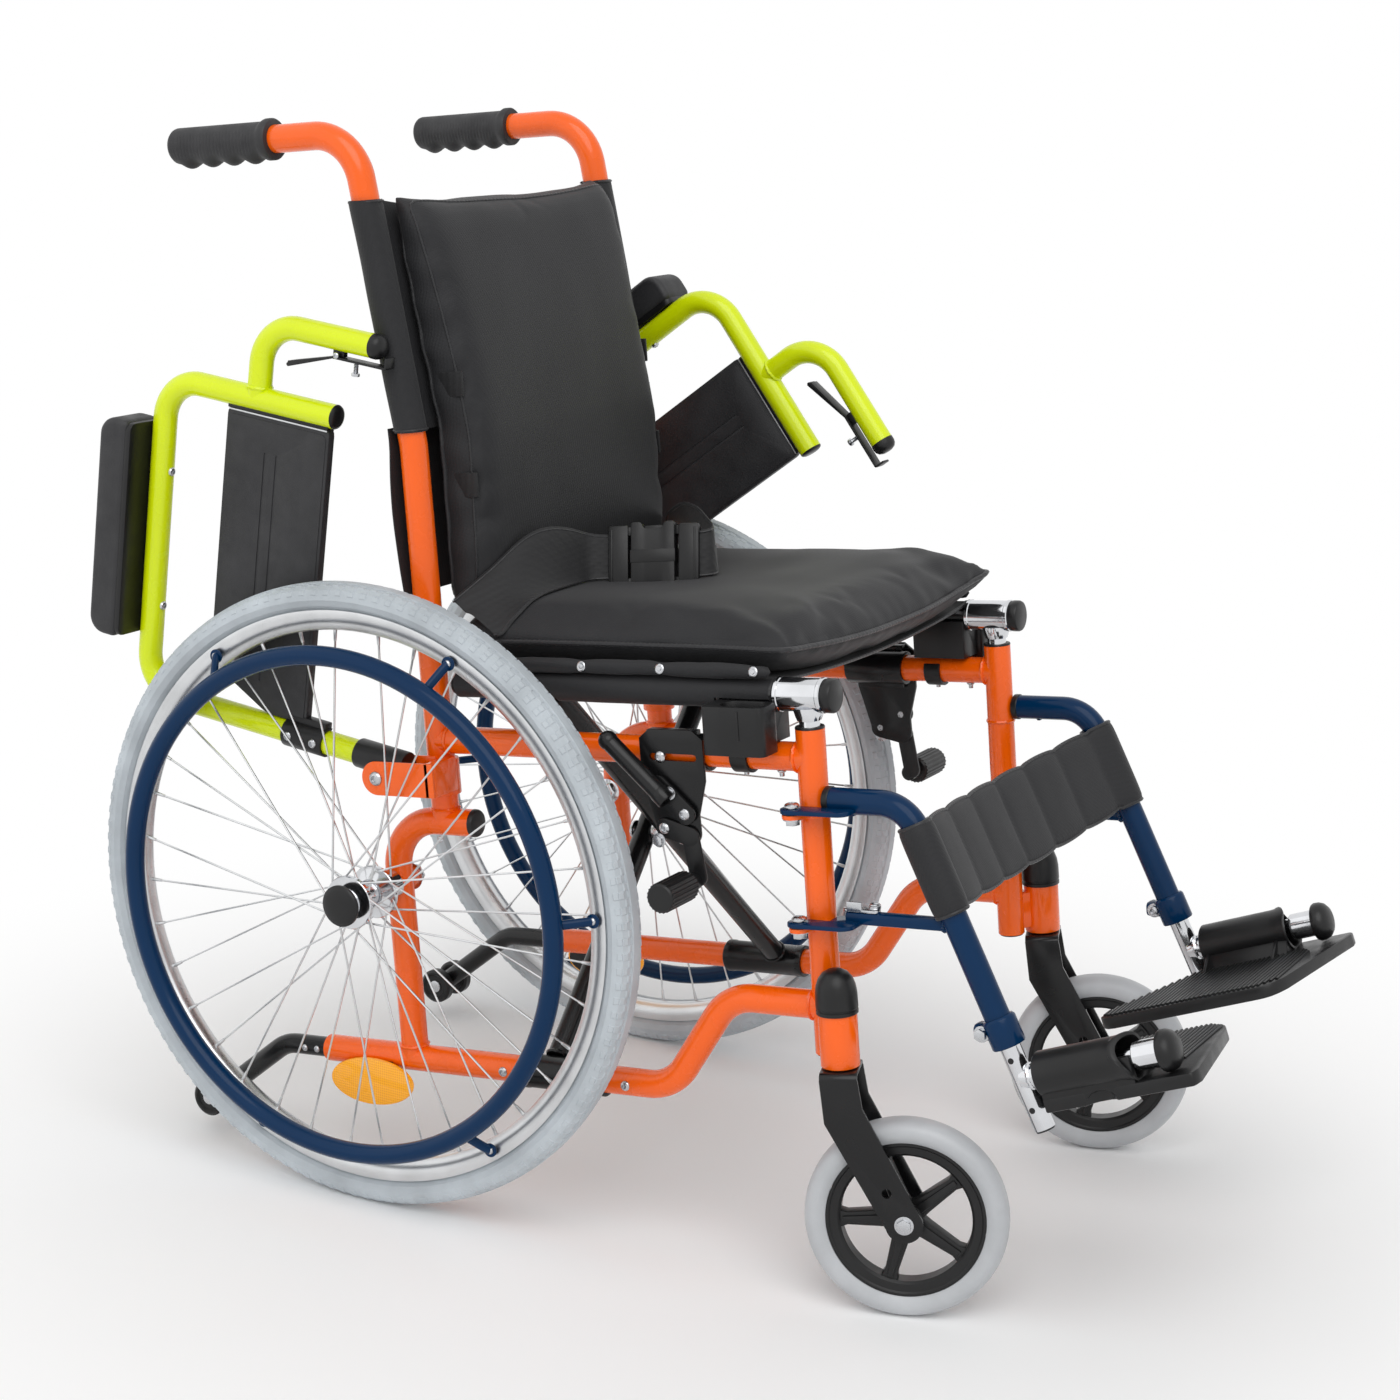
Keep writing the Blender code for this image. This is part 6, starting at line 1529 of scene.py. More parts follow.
@dataclass
class SeatGuide:
    """The chrome sleeve on a seat tube, its stem in the front post, and the saddle."""

    side: Side
    rear: float = 0.408
    stem: float = 0.0088
    stem_low: float = -0.027
    saddle_rear: float = 0.355
    saddle_front: float = 0.4077
    saddle_low: float = 0.1481
    saddle_top: float = 0.184
    plug: float = 0.3968
    arm_out: float = 0.219
    socket: float = 0.0117

    def guide(self) -> None:
        """Turns the sleeve with its rings, and the stem."""
        side = self.side
        section = [
            (0.0113, 0), (0.0142, 0), (0.0150, 0.0008), (0.0150, 0.0034), (0.0143, 0.0042), (0.0143, 0.0398),
            (0.0150, 0.0406),
        ]
        section += [(0.0150, 0.0432), (0.0142, 0.0440), (0.0113, 0.0440)]
        form = Form()
        start = side.at(CHAIR.out, self.rear, CHAIR.seat_up)
        form.turned(section, toward(start, start + Vector((0, -1, 0))), 40)
        form.rod(
            side.at(CHAIR.out, CHAIR.post, self.stem_low),
            side.at(CHAIR.out, CHAIR.post, CHAIR.seat_up - 0.0125),
            self.stem,
            32,
        )
        neck = [
            (self.stem - 0.001, -0.0220), (0.0104, -0.0210), (0.0116, -0.0180), (0.0132, -0.0118),
            (0.0132, -0.0100), (self.stem - 0.001, -0.0100),
        ]
        form.turned(neck, Matrix.Translation(side.at(CHAIR.out, CHAIR.post, CHAIR.seat_up)), 36)
        form.piece(f"chrome_guide_{side.tag}", f"seat_{side.tag}", CHROME, (f"seat_guide_{side.tag}",), 34)

    def saddle(self) -> None:
        """Moulds the saddle with its groove, plug socket and clip on the rail."""
        side = self.side
        out, up = CHAIR.out, CHAIR.seat_up
        radius = CHAIR.seat_tube + 0.0003
        dip = math.degrees(math.asin((up - self.saddle_top) / radius))
        section = [(out - 0.0155, self.saddle_low), (out - 0.0155, self.saddle_top)]
        section += arc((out, up), radius, 180 + dip, 360 - dip, 20) + [
            (0.2074, self.saddle_top), (0.2074, self.saddle_low)
        ]
        form = Form()
        middle = (self.saddle_rear + self.saddle_front) / 2
        form.slab(section, self.saddle_front - self.saddle_rear, cross_plane(side, middle), 0.0007)
        corners = [(0.2066, self.saddle_rear), (0.2357, self.saddle_rear), (0.2357, 0.4135), (0.2066, 0.4135)]
        hole = bar((self.arm_out, self.plug - 0.017), (self.arm_out, self.plug), 2 * self.socket, 14)
        height = self.saddle_top - 0.1425
        form.slab(eased(corners, 0.006), height, deck_plane(side, 0.1425 + height / 2), 0.0010, (hole,))
        clip = arc((out, CHAIR.rail_up), CHAIR.tube + 0.0030, 150, 390, 26)
        clip += arc((out, CHAIR.rail_up), CHAIR.tube + 0.0001, 390, 150, 26)
        form.slab(clip, 0.016, cross_plane(side, SideFrame.rail_screws[1]), 0.0005)
        form.block(side.at(0.2350, 0.3895, 0.1560), side.at(0.2364, 0.3915, 0.1810), 0.0004)
        form.rod(side.at(0.2063, 0.3885, 0.1455), side.at(0.2317, 0.3885, 0.1455), 0.002, 12, 0)
        form.piece(f"seat_saddle_{side.tag}", f"frame_{side.tag}", PLASTIC, (f"saddle_{side.tag}",), 30)

    def build(self) -> None:
        """Makes the guide and the saddle."""
        self.guide()
        self.saddle()


@dataclass
class Brake:
    """A push-to-lock brake: slotted clamp plate, hand lever and ribbed shoe."""

    side: Side
    pivot: tuple[float, float] = (0.3223, 0.0854)
    shoe_pivot: tuple[float, float] = (0.2994, 0.0714)
    shoe: tuple[float, float] = (0.3250, 0.0260)
    layers: tuple[float, float, float] = (0.2065, 0.2098, 0.2131)
    sheet: float = 0.003
    shoe_outer: float = 0.272
    shoe_radius: float = 0.0135
    lever_radius: float = 0.0085
    lever_rest: float = math.radians(43)

    def clamp(self) -> None:
        """Cuts the clamp plate, closes the clamp on the rail and fits the bolts."""
        side, up = self.side, CHAIR.rail_up
        ahead = self.pivot[0]
        front, rear = ahead + 0.018, ahead - 0.044
        outline = [
            (rear, up + 0.014), (rear + 0.010, up + 0.022), (front - 0.010, up + 0.022), (front, up + 0.014),
            (front, up - 0.022),
        ]
        outline.append((ahead + 0.010, self.pivot[1] - 0.002))
        outline += arc((ahead, self.pivot[1] - 0.018), 0.0105, 0, -100, 12)
        outline += arc(self.shoe_pivot, 0.0095, -100, -190, 12) + [(rear, up - 0.022)]
        slot = bar((rear + 0.012, up - 0.002), (front - 0.010, up - 0.002), 0.0062, 8)
        form = Form()
        form.slab(outline, self.sheet, side_plane(side, self.layers[0] + self.sheet / 2), 0.0006, (slot,))
        shell = arc((CHAIR.out, up), CHAIR.tube + 0.0034, 35, 325, 34) + arc(
            (CHAIR.out, up), CHAIR.tube + 0.0001, 325, 35, 34
        )
        form.slab(shell, front - rear - 0.002, cross_plane(side, (front + rear) / 2), 0.0006)
        for edge_up in (up + 0.0168, up - 0.0168):
            low = side.at(CHAIR.out + 0.0040, rear + 0.006, edge_up - 0.0042)
            form.block(low, side.at(self.layers[0] + 0.0004, front - 0.008, edge_up + 0.0042), 0.0010)
        form.piece(f"brake_clamp_{side.tag}", f"frame_{side.tag}", POWDER, (f"brake_bracket_{side.tag}",), 30)
        bolts, outward = Form(), Vector((side.value, 0, 0))
        face = self.layers[0] + self.sheet
        bolts.screw(side.at(CHAIR.out + CHAIR.tube - 0.0002, rear + 0.020, up - 0.002), outward, 0.0030, 0.0022)
        bolts.screw(side.at(face, rear + 0.020, up - 0.002), outward, 0.0052, 0.0030)
        bolts.screw(side.at(self.layers[2] + self.sheet, *self.pivot), outward, 0.0052, 0.0030)
        bolts.screw(side.at(self.layers[1] + self.sheet, *self.shoe_pivot), outward, 0.0050, 0.0026)
        bolts.screw(side.at(face, ahead + 0.0030, self.pivot[1] - 0.0200), outward, 0.0048, 0.0022)
        bolts.nut(
            side.at(self.layers[2] + self.sheet, self.shoe_pivot[0] - 0.004, self.shoe_pivot[1] - 0.010),
            outward,
            0.0050,
            0.0034,
        )
        for place, reach in ((self.pivot, self.layers[2]), (self.shoe_pivot, self.layers[1])):
            bolts.rod(side.at(self.layers[0], *place), side.at(reach + self.sheet, *place), 0.003, 16, 0)
        bolts.piece(f"brake_bolts_{side.tag}", f"frame_{side.tag}", STEEL, smooth=30)

    def lever(self) -> None:
        """Makes the hand lever, its plate and the silver nut of its link."""
        side, body = self.side, f"brake_handle_{self.side.tag}"
        heading = Vector((-math.cos(self.lever_rest), math.sin(self.lever_rest)))
        square = Vector((-heading.y, heading.x))
        hub = Vector(self.pivot)
        bar_out = self.layers[2] + self.sheet / 2 + self.lever_radius * 0.85
        form = Form()
        form.slab(
            bar(self.pivot, tuple(hub + heading * 0.034), 0.019, 16),
            self.sheet,
            side_plane(side, self.layers[2] + self.sheet / 2),
            0.0006,
        )
        route = [side.at(bar_out, *(hub + heading * (0.018 + 0.074 * step / 10))) for step in range(11)]
        form.pipe(route, self.lever_radius * 0.93, 28)
        form.rod(route[0], route[0] + (route[1] - route[0]).normalized() * 0.012, self.lever_radius, 28, 0.0010)
        ball = bmesh.new()
        bmesh.ops.create_uvsphere(
            ball,
            u_segments=32,
            v_segments=18,
            radius=self.lever_radius * 1.02,
            matrix=toward(route[-1], route[-1] * 2 - route[-2]),
        )
        form.take(ball)
        form.piece(f"brake_hand_lever_{side.tag}", body, POWDER, (f"brake_lever_{side.tag}",), 34)
        link = Form()
        spot = hub + heading * 0.022 - square * 0.0040
        link.nut(side.at(self.layers[2] + self.sheet - 0.0002, *spot), Vector((side.value, 0, 0)), 0.0046, 0.0026)
        link.piece(f"brake_lever_nut_{side.tag}", body, STEEL, smooth=30)

    def shoe_arm(self) -> None:
        """Makes the cranked arm with its ribbed shoe."""
        side, arm = self.side, self.layers[1]
        elbow = (self.pivot[0] + 0.0015, self.pivot[1] - 0.0205)
        place = side_plane(side, arm + self.sheet / 2)
        form = Form()
        form.slab(bar(self.shoe_pivot, elbow, 0.017, 14), self.sheet, place, 0.0006)
        form.slab(
            bar(elbow, (self.shoe[0] + 0.004, self.shoe[1] + 0.004), 0.0165, 14), self.sheet * 0.98, place, 0.0006
        )
        length = self.shoe_outer - arm - 0.0015
        core = self.shoe_radius - 0.0009
        profile = [
            (0, 0), (0.0074, 0), (0.0074, 0.0140), (core - 0.0016, 0.0144), (core, 0.0160), (core, length - 0.0016)
        ]
        profile += [(core - 0.0014, length - 0.0002), (0, length)]
        start = side.at(arm + 0.0015, *self.shoe)
        form.turned(profile, toward(start, start + Vector((side.value, 0, 0))), 44, closed=False)
        for count in range(22):
            turn = 2 * math.pi * count / 22
            spoke = Vector((0, math.cos(turn), math.sin(turn))) * (core - 0.0003)
            ends = [start + spoke + Vector((side.value * reach, 0, 0)) for reach in (0.0164, length - 0.0020)]
            form.rod(ends[0], ends[1], 0.0011, 6, 0)
        form.piece(
            f"brake_shoe_{side.tag}_ribbed", f"brake_shoe_{side.tag}", PLASTIC, (f"brake_shoe_arm_{side.tag}",), 34
        )

    def build(self) -> None:
        """Makes the brake's pieces."""
        self.clamp()
        self.lever()
        self.shoe_arm()


# Armrests and legrests

@dataclass
class Armrest:
    """A flip-back armrest: bent tube, grained pad, side panel and sprung catch."""

    side: Side
    out: float = 0.219
    tube: float = 0.0111
    rear: float = 0.013
    top: float = 0.2765
    leg: float = 0.311
    leg_end: float = 0.087
    branch_up: float = 0.1725
    branch: float = 0.381
    branch_end: float = 0.043
    bend: float = 0.038
    pad_ends: tuple[float, float] = (0.065, 0.270)
    pad_out: float = 0.232
    pad_half: float = 0.023
    pad_height: float = 0.036
    panel: tuple[float, float] = (0.090, 0.203)
    catch_pivot: float = 0.088
    pin: tuple[float, float] = (0.3727, 0.0391)
    rest_right: float = 77.8
    rest_left: float = 31.5

    @property
    def body(self) -> str:
        """The body that the armrest swings with."""
        return f"armrest_{self.side.tag}"

    @property
    def place(self) -> Matrix:
        """The armrest's frame at rest: its pivot, turned back by its rest angle.

        Returns:
            The frame, in the chair's own frame.
        """
        rest = math.radians(self.rest_right if self.side is Side.RIGHT else self.rest_left)
        spot = self.side.at(0, *SideFrame.pivot)
        return CHAIR.place @ Matrix.Translation(spot) @ Matrix.Rotation(-rest, 4, "X")

    def tubes(self) -> None:
        """Bends the two tubes and fits the pivot sleeve, plugs and clamp."""
        side, out = self.side, self.out
        form = Form(self.place)
        main = side.line(
            out, (self.rear, -0.018), (self.rear, self.top), (self.leg, self.top), (self.leg, self.leg_end)
        )
        form.pipe(rounded(main, self.bend), self.tube, 32)
        branch = side.line(
            out, (self.leg, self.branch_up), (self.branch, self.branch_up), (self.branch, self.branch_end + 0.006)
        )
        form.pipe(rounded(branch, self.bend), self.tube - 0.0001, 32)
        bead(form, side.at(out, self.leg + self.tube - 0.0004, self.branch_up), Vector((0, -1, 0)), self.tube - 0.0006)
        form.piece(f"armrest_tubes_{side.tag}", self.body, YELLOW, (f"arm_frame_{side.tag}",), 36)
        black = Form(self.place)
        black.rod(side.at(out, self.rear, -0.022), side.at(out, self.rear, 0.031), self.tube + 0.0024, 36, 0.0012)
        black.slab(bar((self.rear, 0), (0, 0), 0.024, 14), 0.010, side_plane(side, out), 0.0010)
        plug = [
            (0, 0.0030), (0.0080, 0.0027), (0.0103, 0.0016), (0.0112, 0), (0.0096, 0), (0.0096, -0.006), (0, -0.006)
        ]
        end = side.at(out, self.leg, self.leg_end)
        black.turned(plug, toward(end, end - Vector((0, 0, 1))), 32, closed=False)
        dome = [
            (0, 0.0076), (0.0050, 0.0072), (0.0086, 0.0056), (0.0106, 0.0030), (0.0113, 0.0002),
            (0.0113, -0.0040), (0.0096, -0.0044), (0, -0.0044),
        ]
        end = side.at(out, self.branch, self.branch_end + 0.006)
        black.turned(dome, toward(end, end - Vector((0, 0, 1))), 32, closed=False)
        shell = arc((0, 0), self.tube + 0.0026, -110, 110, 30) + arc((0, 0), self.tube + 0.0001, 110, -110, 30)
        turn = Matrix(((side.value, 0, 0), (0, -1, 0), (0, 0, -side.value))).to_4x4()
        black.slab(shell, 0.045, Matrix.Translation(side.at(out, self.rear, 0.0885)) @ turn, 0.0006)
        black.block(
            side.at(out - 0.0052, self.rear + 0.010, 0.0670), side.at(out + 0.0052, self.rear + 0.0185, 0.1100), 0.0014
        )
        black.block(
            side.at(out - 0.003, self.branch - self.tube - 0.0046, self.catch_pivot - 0.006),
            side.at(out + 0.003, self.branch - self.tube + 0.002, self.catch_pivot + 0.006),
            0.0008,
        )
        black.piece(f"armrest_plugs_{side.tag}", self.body, PLASTIC, smooth=36)
        self.screws()

    def screws(self) -> None:
        """Adds the screws of the clamp, the pad and the catch."""
        side, out = self.side, self.out
        outward, down = Vector((side.value, 0, 0)), Vector((0, 0, -1))
        form = Form(self.place)
        for up in (0.0745, 0.1025):
            form.screw(side.at(out + self.tube + 0.0022, self.rear, up), outward, 0.0042, 0.0024)
            form.nut(side.at(out - self.tube + 0.0006, self.rear, up), -outward, 0.0042, 0.0026)
        for ahead in (0.096, 0.224):
            form.screw(side.at(out, ahead, self.top - self.tube + 0.0004), down, 0.0042, 0.0026)
        spot = side.at(out + 0.0064, self.branch - self.tube - 0.0034, self.catch_pivot)
        form.screw(spot, outward, 0.0030, 0.0016)
        form.piece(f"armrest_screws_{side.tag}", self.body, STEEL, smooth=30)

    def pad(self) -> None:
        """Moulds the pad with its rounded ends and the darker strip under it."""
        side = self.side
        floor = self.top + self.tube + 0.0003
        low = side.at(self.pad_out - self.pad_half, self.pad_ends[0], floor + 0.0042)
        high = side.at(self.pad_out + self.pad_half, self.pad_ends[1], floor + self.pad_height)
        size = Vector([abs(value) for value in high - low])
        part = bmesh.new()
        bmesh.ops.create_cube(part, size=1, matrix=Matrix.Translation((low + high) / 2) @ Matrix.Diagonal((*size, 1)))
        ends = [
            edge
            for edge in part.edges
            if abs((edge.verts[0].co - edge.verts[1].co).normalized().x) > 0.9 and edge.verts[0].co.z > floor + 0.02
        ]
        bmesh.ops.bevel(
            part,
            geom=ends,
            offset=0.0165,
            offset_type="OFFSET",
            segments=9,
            profile=0.5,
            affect="EDGES",
            clamp_overlap=True,
            material=-1,
        )
        rims = [edge for edge in part.edges if edge.calc_face_angle(0) > 0.4]
        bmesh.ops.bevel(
            part,
            geom=rims,
            offset=0.0058,
            offset_type="OFFSET",
            segments=5,
            profile=0.5,
            affect="EDGES",
            clamp_overlap=True,
            material=-1,
        )
        form = Form(self.place)
        form.take(part)
        piece = form.piece(f"armrest_cushion_{side.tag}", self.body, PAD, (f"arm_pad_{side.tag}",), 40)
        strip = Form(self.place)
        corners = [
            (self.pad_out - self.pad_half + 0.0012, self.pad_ends[0] + 0.002),
            (self.pad_out + self.pad_half - 0.0012, self.pad_ends[0] + 0.002),
            (self.pad_out + self.pad_half - 0.0012, self.pad_ends[1] - 0.002),
            (self.pad_out - self.pad_half + 0.0012, self.pad_ends[1] - 0.002),
        ]
        strip.slab(eased(corners, 0.008), 0.0060, deck_plane(side, floor + 0.0030), 0.0006)
        strip.piece(f"armrest_base_{side.tag}", self.body, PLASTIC)

    def skirt(self) -> None:
        """Cuts the side panel with its two grooves, channel and pale edge line."""
        side, out = self.side, self.out
        rear, front = self.rear + self.tube + 0.0006, self.leg - self.tube - 0.0006
        low, high = self.panel
        outline = [(rear, low), (front, low), (front, high), (rear + 0.034, high), (rear, high - 0.068)]
        form = Form(self.place)
        form.slab(eased(outline, 0.007), 0.0086, side_plane(side, out), 0.0007)
        inset = 0.0028
        grooves = (0.1448, 0.1578)
        start, reach = rear + 0.030, front - 0.036
        middle = [
            (rear + inset, low + inset), (front - 0.006, low + inset), (front - 0.006, high - inset),
            (rear + 0.0355, high - inset),
        ]
        middle += [(rear + inset, high - 0.0686)]
        holes = tuple(bar((start, up), (reach, up), 0.0022, 4) for up in grooves)
        form.slab(eased(middle, 0.006), 0.0100, side_plane(side, out), 0.0005, holes)
        form.piece(f"side_panel_{side.tag}", self.body, PAD, (f"arm_panel_{side.tag}",), 30)
        channel = Form(self.place)
        channel.block(
            side.at(out - 0.0060, front - 0.0010, low + 0.001),
            side.at(out + 0.0060, front + 0.0034, high - 0.001),
            0.0008,
        )
        channel.piece(f"panel_channel_{side.tag}", self.body, PLASTIC)
        line = Form(self.place)
        for way in (-1, 1):
            line.block(
                side.at(out + way * 0.0044, front - 0.0026, low + 0.002),
                side.at(out + way * 0.0054, front - 0.0012, high - 0.002),
                0.0002,
            )
        line.piece(f"panel_edge_line_{side.tag}", self.body, SILVER)

    def catch(self) -> None:
        """Bends the catch lever with its tooth, and adds its set screw."""
        side, out = self.side, self.out
        face = self.pin[0] - 0.0075
        rear, tip, floor = face - 0.002, self.pin[0] + 0.001, self.pin[1] - 0.0028
        outline = [(rear - 0.016, self.branch_up - 0.033), (rear, self.catch_pivot + 0.004), (rear, floor - 0.0002)]
        outline += arc((rear + 0.0020, floor), 0.0020, 180, 270, 5) + [
            (tip, floor - 0.002), (tip, floor), (face + 0.0004, floor)
        ]
        outline += [(face, floor + 0.0006), (face, self.catch_pivot + 0.004), (face - 0.0128, self.branch_up - 0.033)]
        form = Form(self.place)
        form.slab(outline, 0.0125, side_plane(side, out), 0.0005)
        tip_spot = side.at(out, (rear + face) / 2 - 0.015, self.branch_up - 0.033)
        form.rod(tip_spot - Vector((0.006, 0, 0)), tip_spot + Vector((0.006, 0, 0)), 0.0017, 14, 0.0003)
        form.piece(f"catch_lever_{side.tag}", f"armrest_catch_{side.tag}", PLASTIC, (f"arm_catch_{side.tag}",), 30)
        screw = Form(self.place)
        start = side.at(out, rear + 0.0004, 0.0700)
        heading = Vector((0, 1, 0))
        profile = [(0, 0.0004)]
        for turn in range(7):
            profile += [(0.0018, 0.0004 + turn * 0.0013), (0.0023, 0.0010 + turn * 0.0013)]
        profile += [(0.0018, 0.0098), (0.0036, 0.0100), (0.0038, 0.0112), (0.0036, 0.0126), (0, 0.0130)]
        screw.turned(profile, toward(start, start + heading), 20, closed=False)
        screw.piece(f"catch_screw_{side.tag}", f"armrest_catch_{side.tag}", STEEL)

    def build(self) -> None:
        """Makes the armrest's pieces."""
        self.tubes()
        self.pad()
        self.skirt()
        self.catch()


@dataclass
class Legrest:
    """A swing-away legrest: hanger, hinge tongues, latch, clamp collar and stem."""

    side: Side
    tube: float = 0.0111
    bend: float = 0.035
    start: float = 0.4493
    drop: float = 0.2153
    hinge: tuple[float, float] = (0.214, 0.425)
    tongues: tuple[float, float] = (0.0920, -0.0055)
    tongue_fronts: tuple[float, float] = (0.4793, 0.4760)
    collar: float = 0.0145
    stem: float = 0.009
    stem_low: float = 0.2886
    spigot: float = 0.2436

    @property
    def body(self) -> str:
        """The body that the hanger swings with."""
        return f"legrest_{self.side.tag}"

    def hanger(self) -> None:
        """Bends the hanger and adds its tongues, lower bar, collar and ear."""
        side, out = self.side, CHAIR.leg_out
        form = Form()
        knee, end = CHAIR.leg(0), CHAIR.leg(self.drop)
        form.pipe(rounded(side.line(out, (self.start + 0.003, CHAIR.leg_up), knee, end), self.bend), self.tube, 32)
        for up, front in zip(self.tongues, self.tongue_fronts):
            outline = arc(self.hinge, 0.0102, 10, -150, 20)
            outline += [(0.2055, self.hinge[1] + 0.003), (0.2055, 0.4491), (0.1880, 0.4491), (0.1880, front - 0.010)]
            outline += arc((0.1960, front - 0.008), 0.0080, 180, 90, 8) + arc((0.2120, front - 0.011), 0.0110, 90, 0, 8)
            form.slab(outline, 0.004, deck_plane(side, up + 0.002), 0.0008)
        lower = self.tongues[1] + 0.0005
        crossing = CHAIR.leg((CHAIR.leg_up - 0.0025) / math.cos(CHAIR.leg_slope))
        form.block(
            side.at(out - 0.0056, self.start + 0.012, lower), side.at(out + 0.0056, crossing[0], lower + 0.0107), 0.0026
        )
        top = side.at(out, *CHAIR.leg(self.drop - 0.025))
        low = side.at(out, *CHAIR.leg(self.drop - 0.0004))
        section = [
            (self.tube - 0.0006, -0.0010), (0.0128, -0.0008), (self.collar - 0.0004, 0.0006),
            (self.collar, 0.0020), (self.collar, 0.0232),
        ]
        section += [(self.collar - 0.0008, 0.0244), (0.0096, 0.0244), (0.0096, 0.0200), (self.tube - 0.0006, 0.0190)]
        form.turned(section, toward(top, low), 36)
        form.block(
            side.at(out - 0.0080, end[0] - 0.0300, end[1] + 0.0040),
            side.at(out + 0.0080, end[0] - 0.0060, end[1] + 0.0180),
            0.0040,
        )
        bead(
            form,
            side.at(out, self.start + 0.004, CHAIR.leg_up - self.tube + 0.001) + Vector((0, -0.0200, 0)),
            Vector((0, -1, 0.3)),
            0.0030,
            0.5,
        )
        bead(form, side.at(out, crossing[0] - 0.0105, lower + 0.0052), Vector((0, -1, 0)), 0.0056)
        form.piece(f"hanger_tube_{side.tag}", self.body, NAVY, (f"hanger_{side.tag}",), 34)
        plug = Form()
        spot = side.at(out, self.start - 0.0010, CHAIR.leg_up)
        profile = [
            (0, 0), (0.0108, 0), (0.0118, 0.0008), (0.0120, 0.0024), (0.0120, 0.0052), (0.0114, 0.0060), (0, 0.0060)
        ]
        plug.turned(profile, toward(spot, spot + Vector((0, -1, 0))), 36, closed=False)
        plug.piece(f"hanger_plug_{side.tag}", self.body, PLASTIC)
        bolt = Form()
        centre = side.at(out, end[0] - 0.0205, end[1] + 0.0110)
        for way in (-1, 1):
            bolt.rod(centre + Vector((way * 0.0078, 0, 0)), centre + Vector((way * 0.0094, 0, 0)), 0.0066, 24, 0.0003)
        bolt.nut(centre + Vector((side.value * 0.0090, 0, 0)), Vector((side.value, 0, 0)), 0.0056, 0.0046)
        bolt.screw(centre - Vector((side.value * 0.0092, 0, 0)), Vector((-side.value, 0, 0)), 0.0054, 0.0036)
        latch_pin = side.at(out, 0.4875, self.tongues[1] + 0.0112)
        bolt.rod(latch_pin, latch_pin + Vector((0, 0, 0.0072)), 0.0026, 16, 0.0003)
        bolt.screw(latch_pin + Vector((0, 0, 0.0066)), Vector((0, 0, 1)), 0.0046, 0.0022)
        bolt.piece(f"hanger_bolts_{side.tag}", self.body, STEEL, smooth=30)

    def latch(self) -> None:
        """Makes the sprung latch on the lower bar, with its coil and thumb tab."""
        side, out = self.side, CHAIR.leg_out
        ahead, low = 0.4875, self.tongues[1] + 0.0113
        form = Form()
        form.slab(bar((out, ahead - 0.024), (out, ahead), 0.010, 12), 0.0025, deck_plane(side, low + 0.00125), 0.0004)
        form.block(
            side.at(out + 0.0030, ahead - 0.024, low + 0.0010),
            side.at(out + 0.0055, ahead - 0.0096, low + 0.0092),
            0.0008,
        )
        coil = [
            side.at(out, ahead, low + 0.0030) + Vector(
                (0.0048 * math.cos(turn), 0.0048 * math.sin(turn), 0.0032 * turn / (6 * math.pi))
            )
            for turn in (6 * math.pi * step / 72 for step in range(73))
        ]
        form.pipe(coil, 0.0006, 8)
        form.piece(f"latch_lever_{side.tag}", f"legrest_latch_{side.tag}", STEEL, (f"hanger_latch_{side.tag}",), 30)

    def foot_tube(self) -> None:
        """Makes the chrome stem and the boss of the footplate's pin."""
        side, out = self.side, CHAIR.leg_out
        form = Form()
        top = side.at(out, *CHAIR.leg(self.drop - 0.110))
        low = side.at(out, *CHAIR.leg(self.stem_low))
        form.rod(top, low, self.stem, 32, 0.0008)
        start = side.at(out, *CHAIR.leg(self.spigot))
        heading = (Matrix.Rotation(math.radians(-16), 3, "X") @ Vector((0, -1, 0))).normalized()
        form.rod(start, start + heading * 0.0154, 0.0105, 32, 0.0008)
        bead(form, start + heading * 0.0086, heading, 0.0100)
        form.piece(f"foot_tube_chrome_{side.tag}", f"foot_tube_{side.tag}", CHROME, (f"foot_stem_{side.tag}",), 34)
        plug = Form()
        run = (low - top).normalized()
        plug.rod(low - run * 0.002, low + run * 0.0014, 0.0082, 28, 0.0006)
        for along in (0.2260, 0.2700):
            spot = side.at(out, *CHAIR.leg(along))
            plug.rod(
                spot + Vector((side.value * 0.0086, 0, 0)),
                spot + Vector((side.value * 0.0092, 0, 0)),
                0.0026,
                16,
                0.0001,
            )
        plug.piece(f"foot_tube_plug_{side.tag}", f"foot_tube_{side.tag}", PLASTIC)

    def build(self) -> None:
        """Makes the legrest's pieces."""
        self.hanger()
        self.latch()
        self.foot_tube()


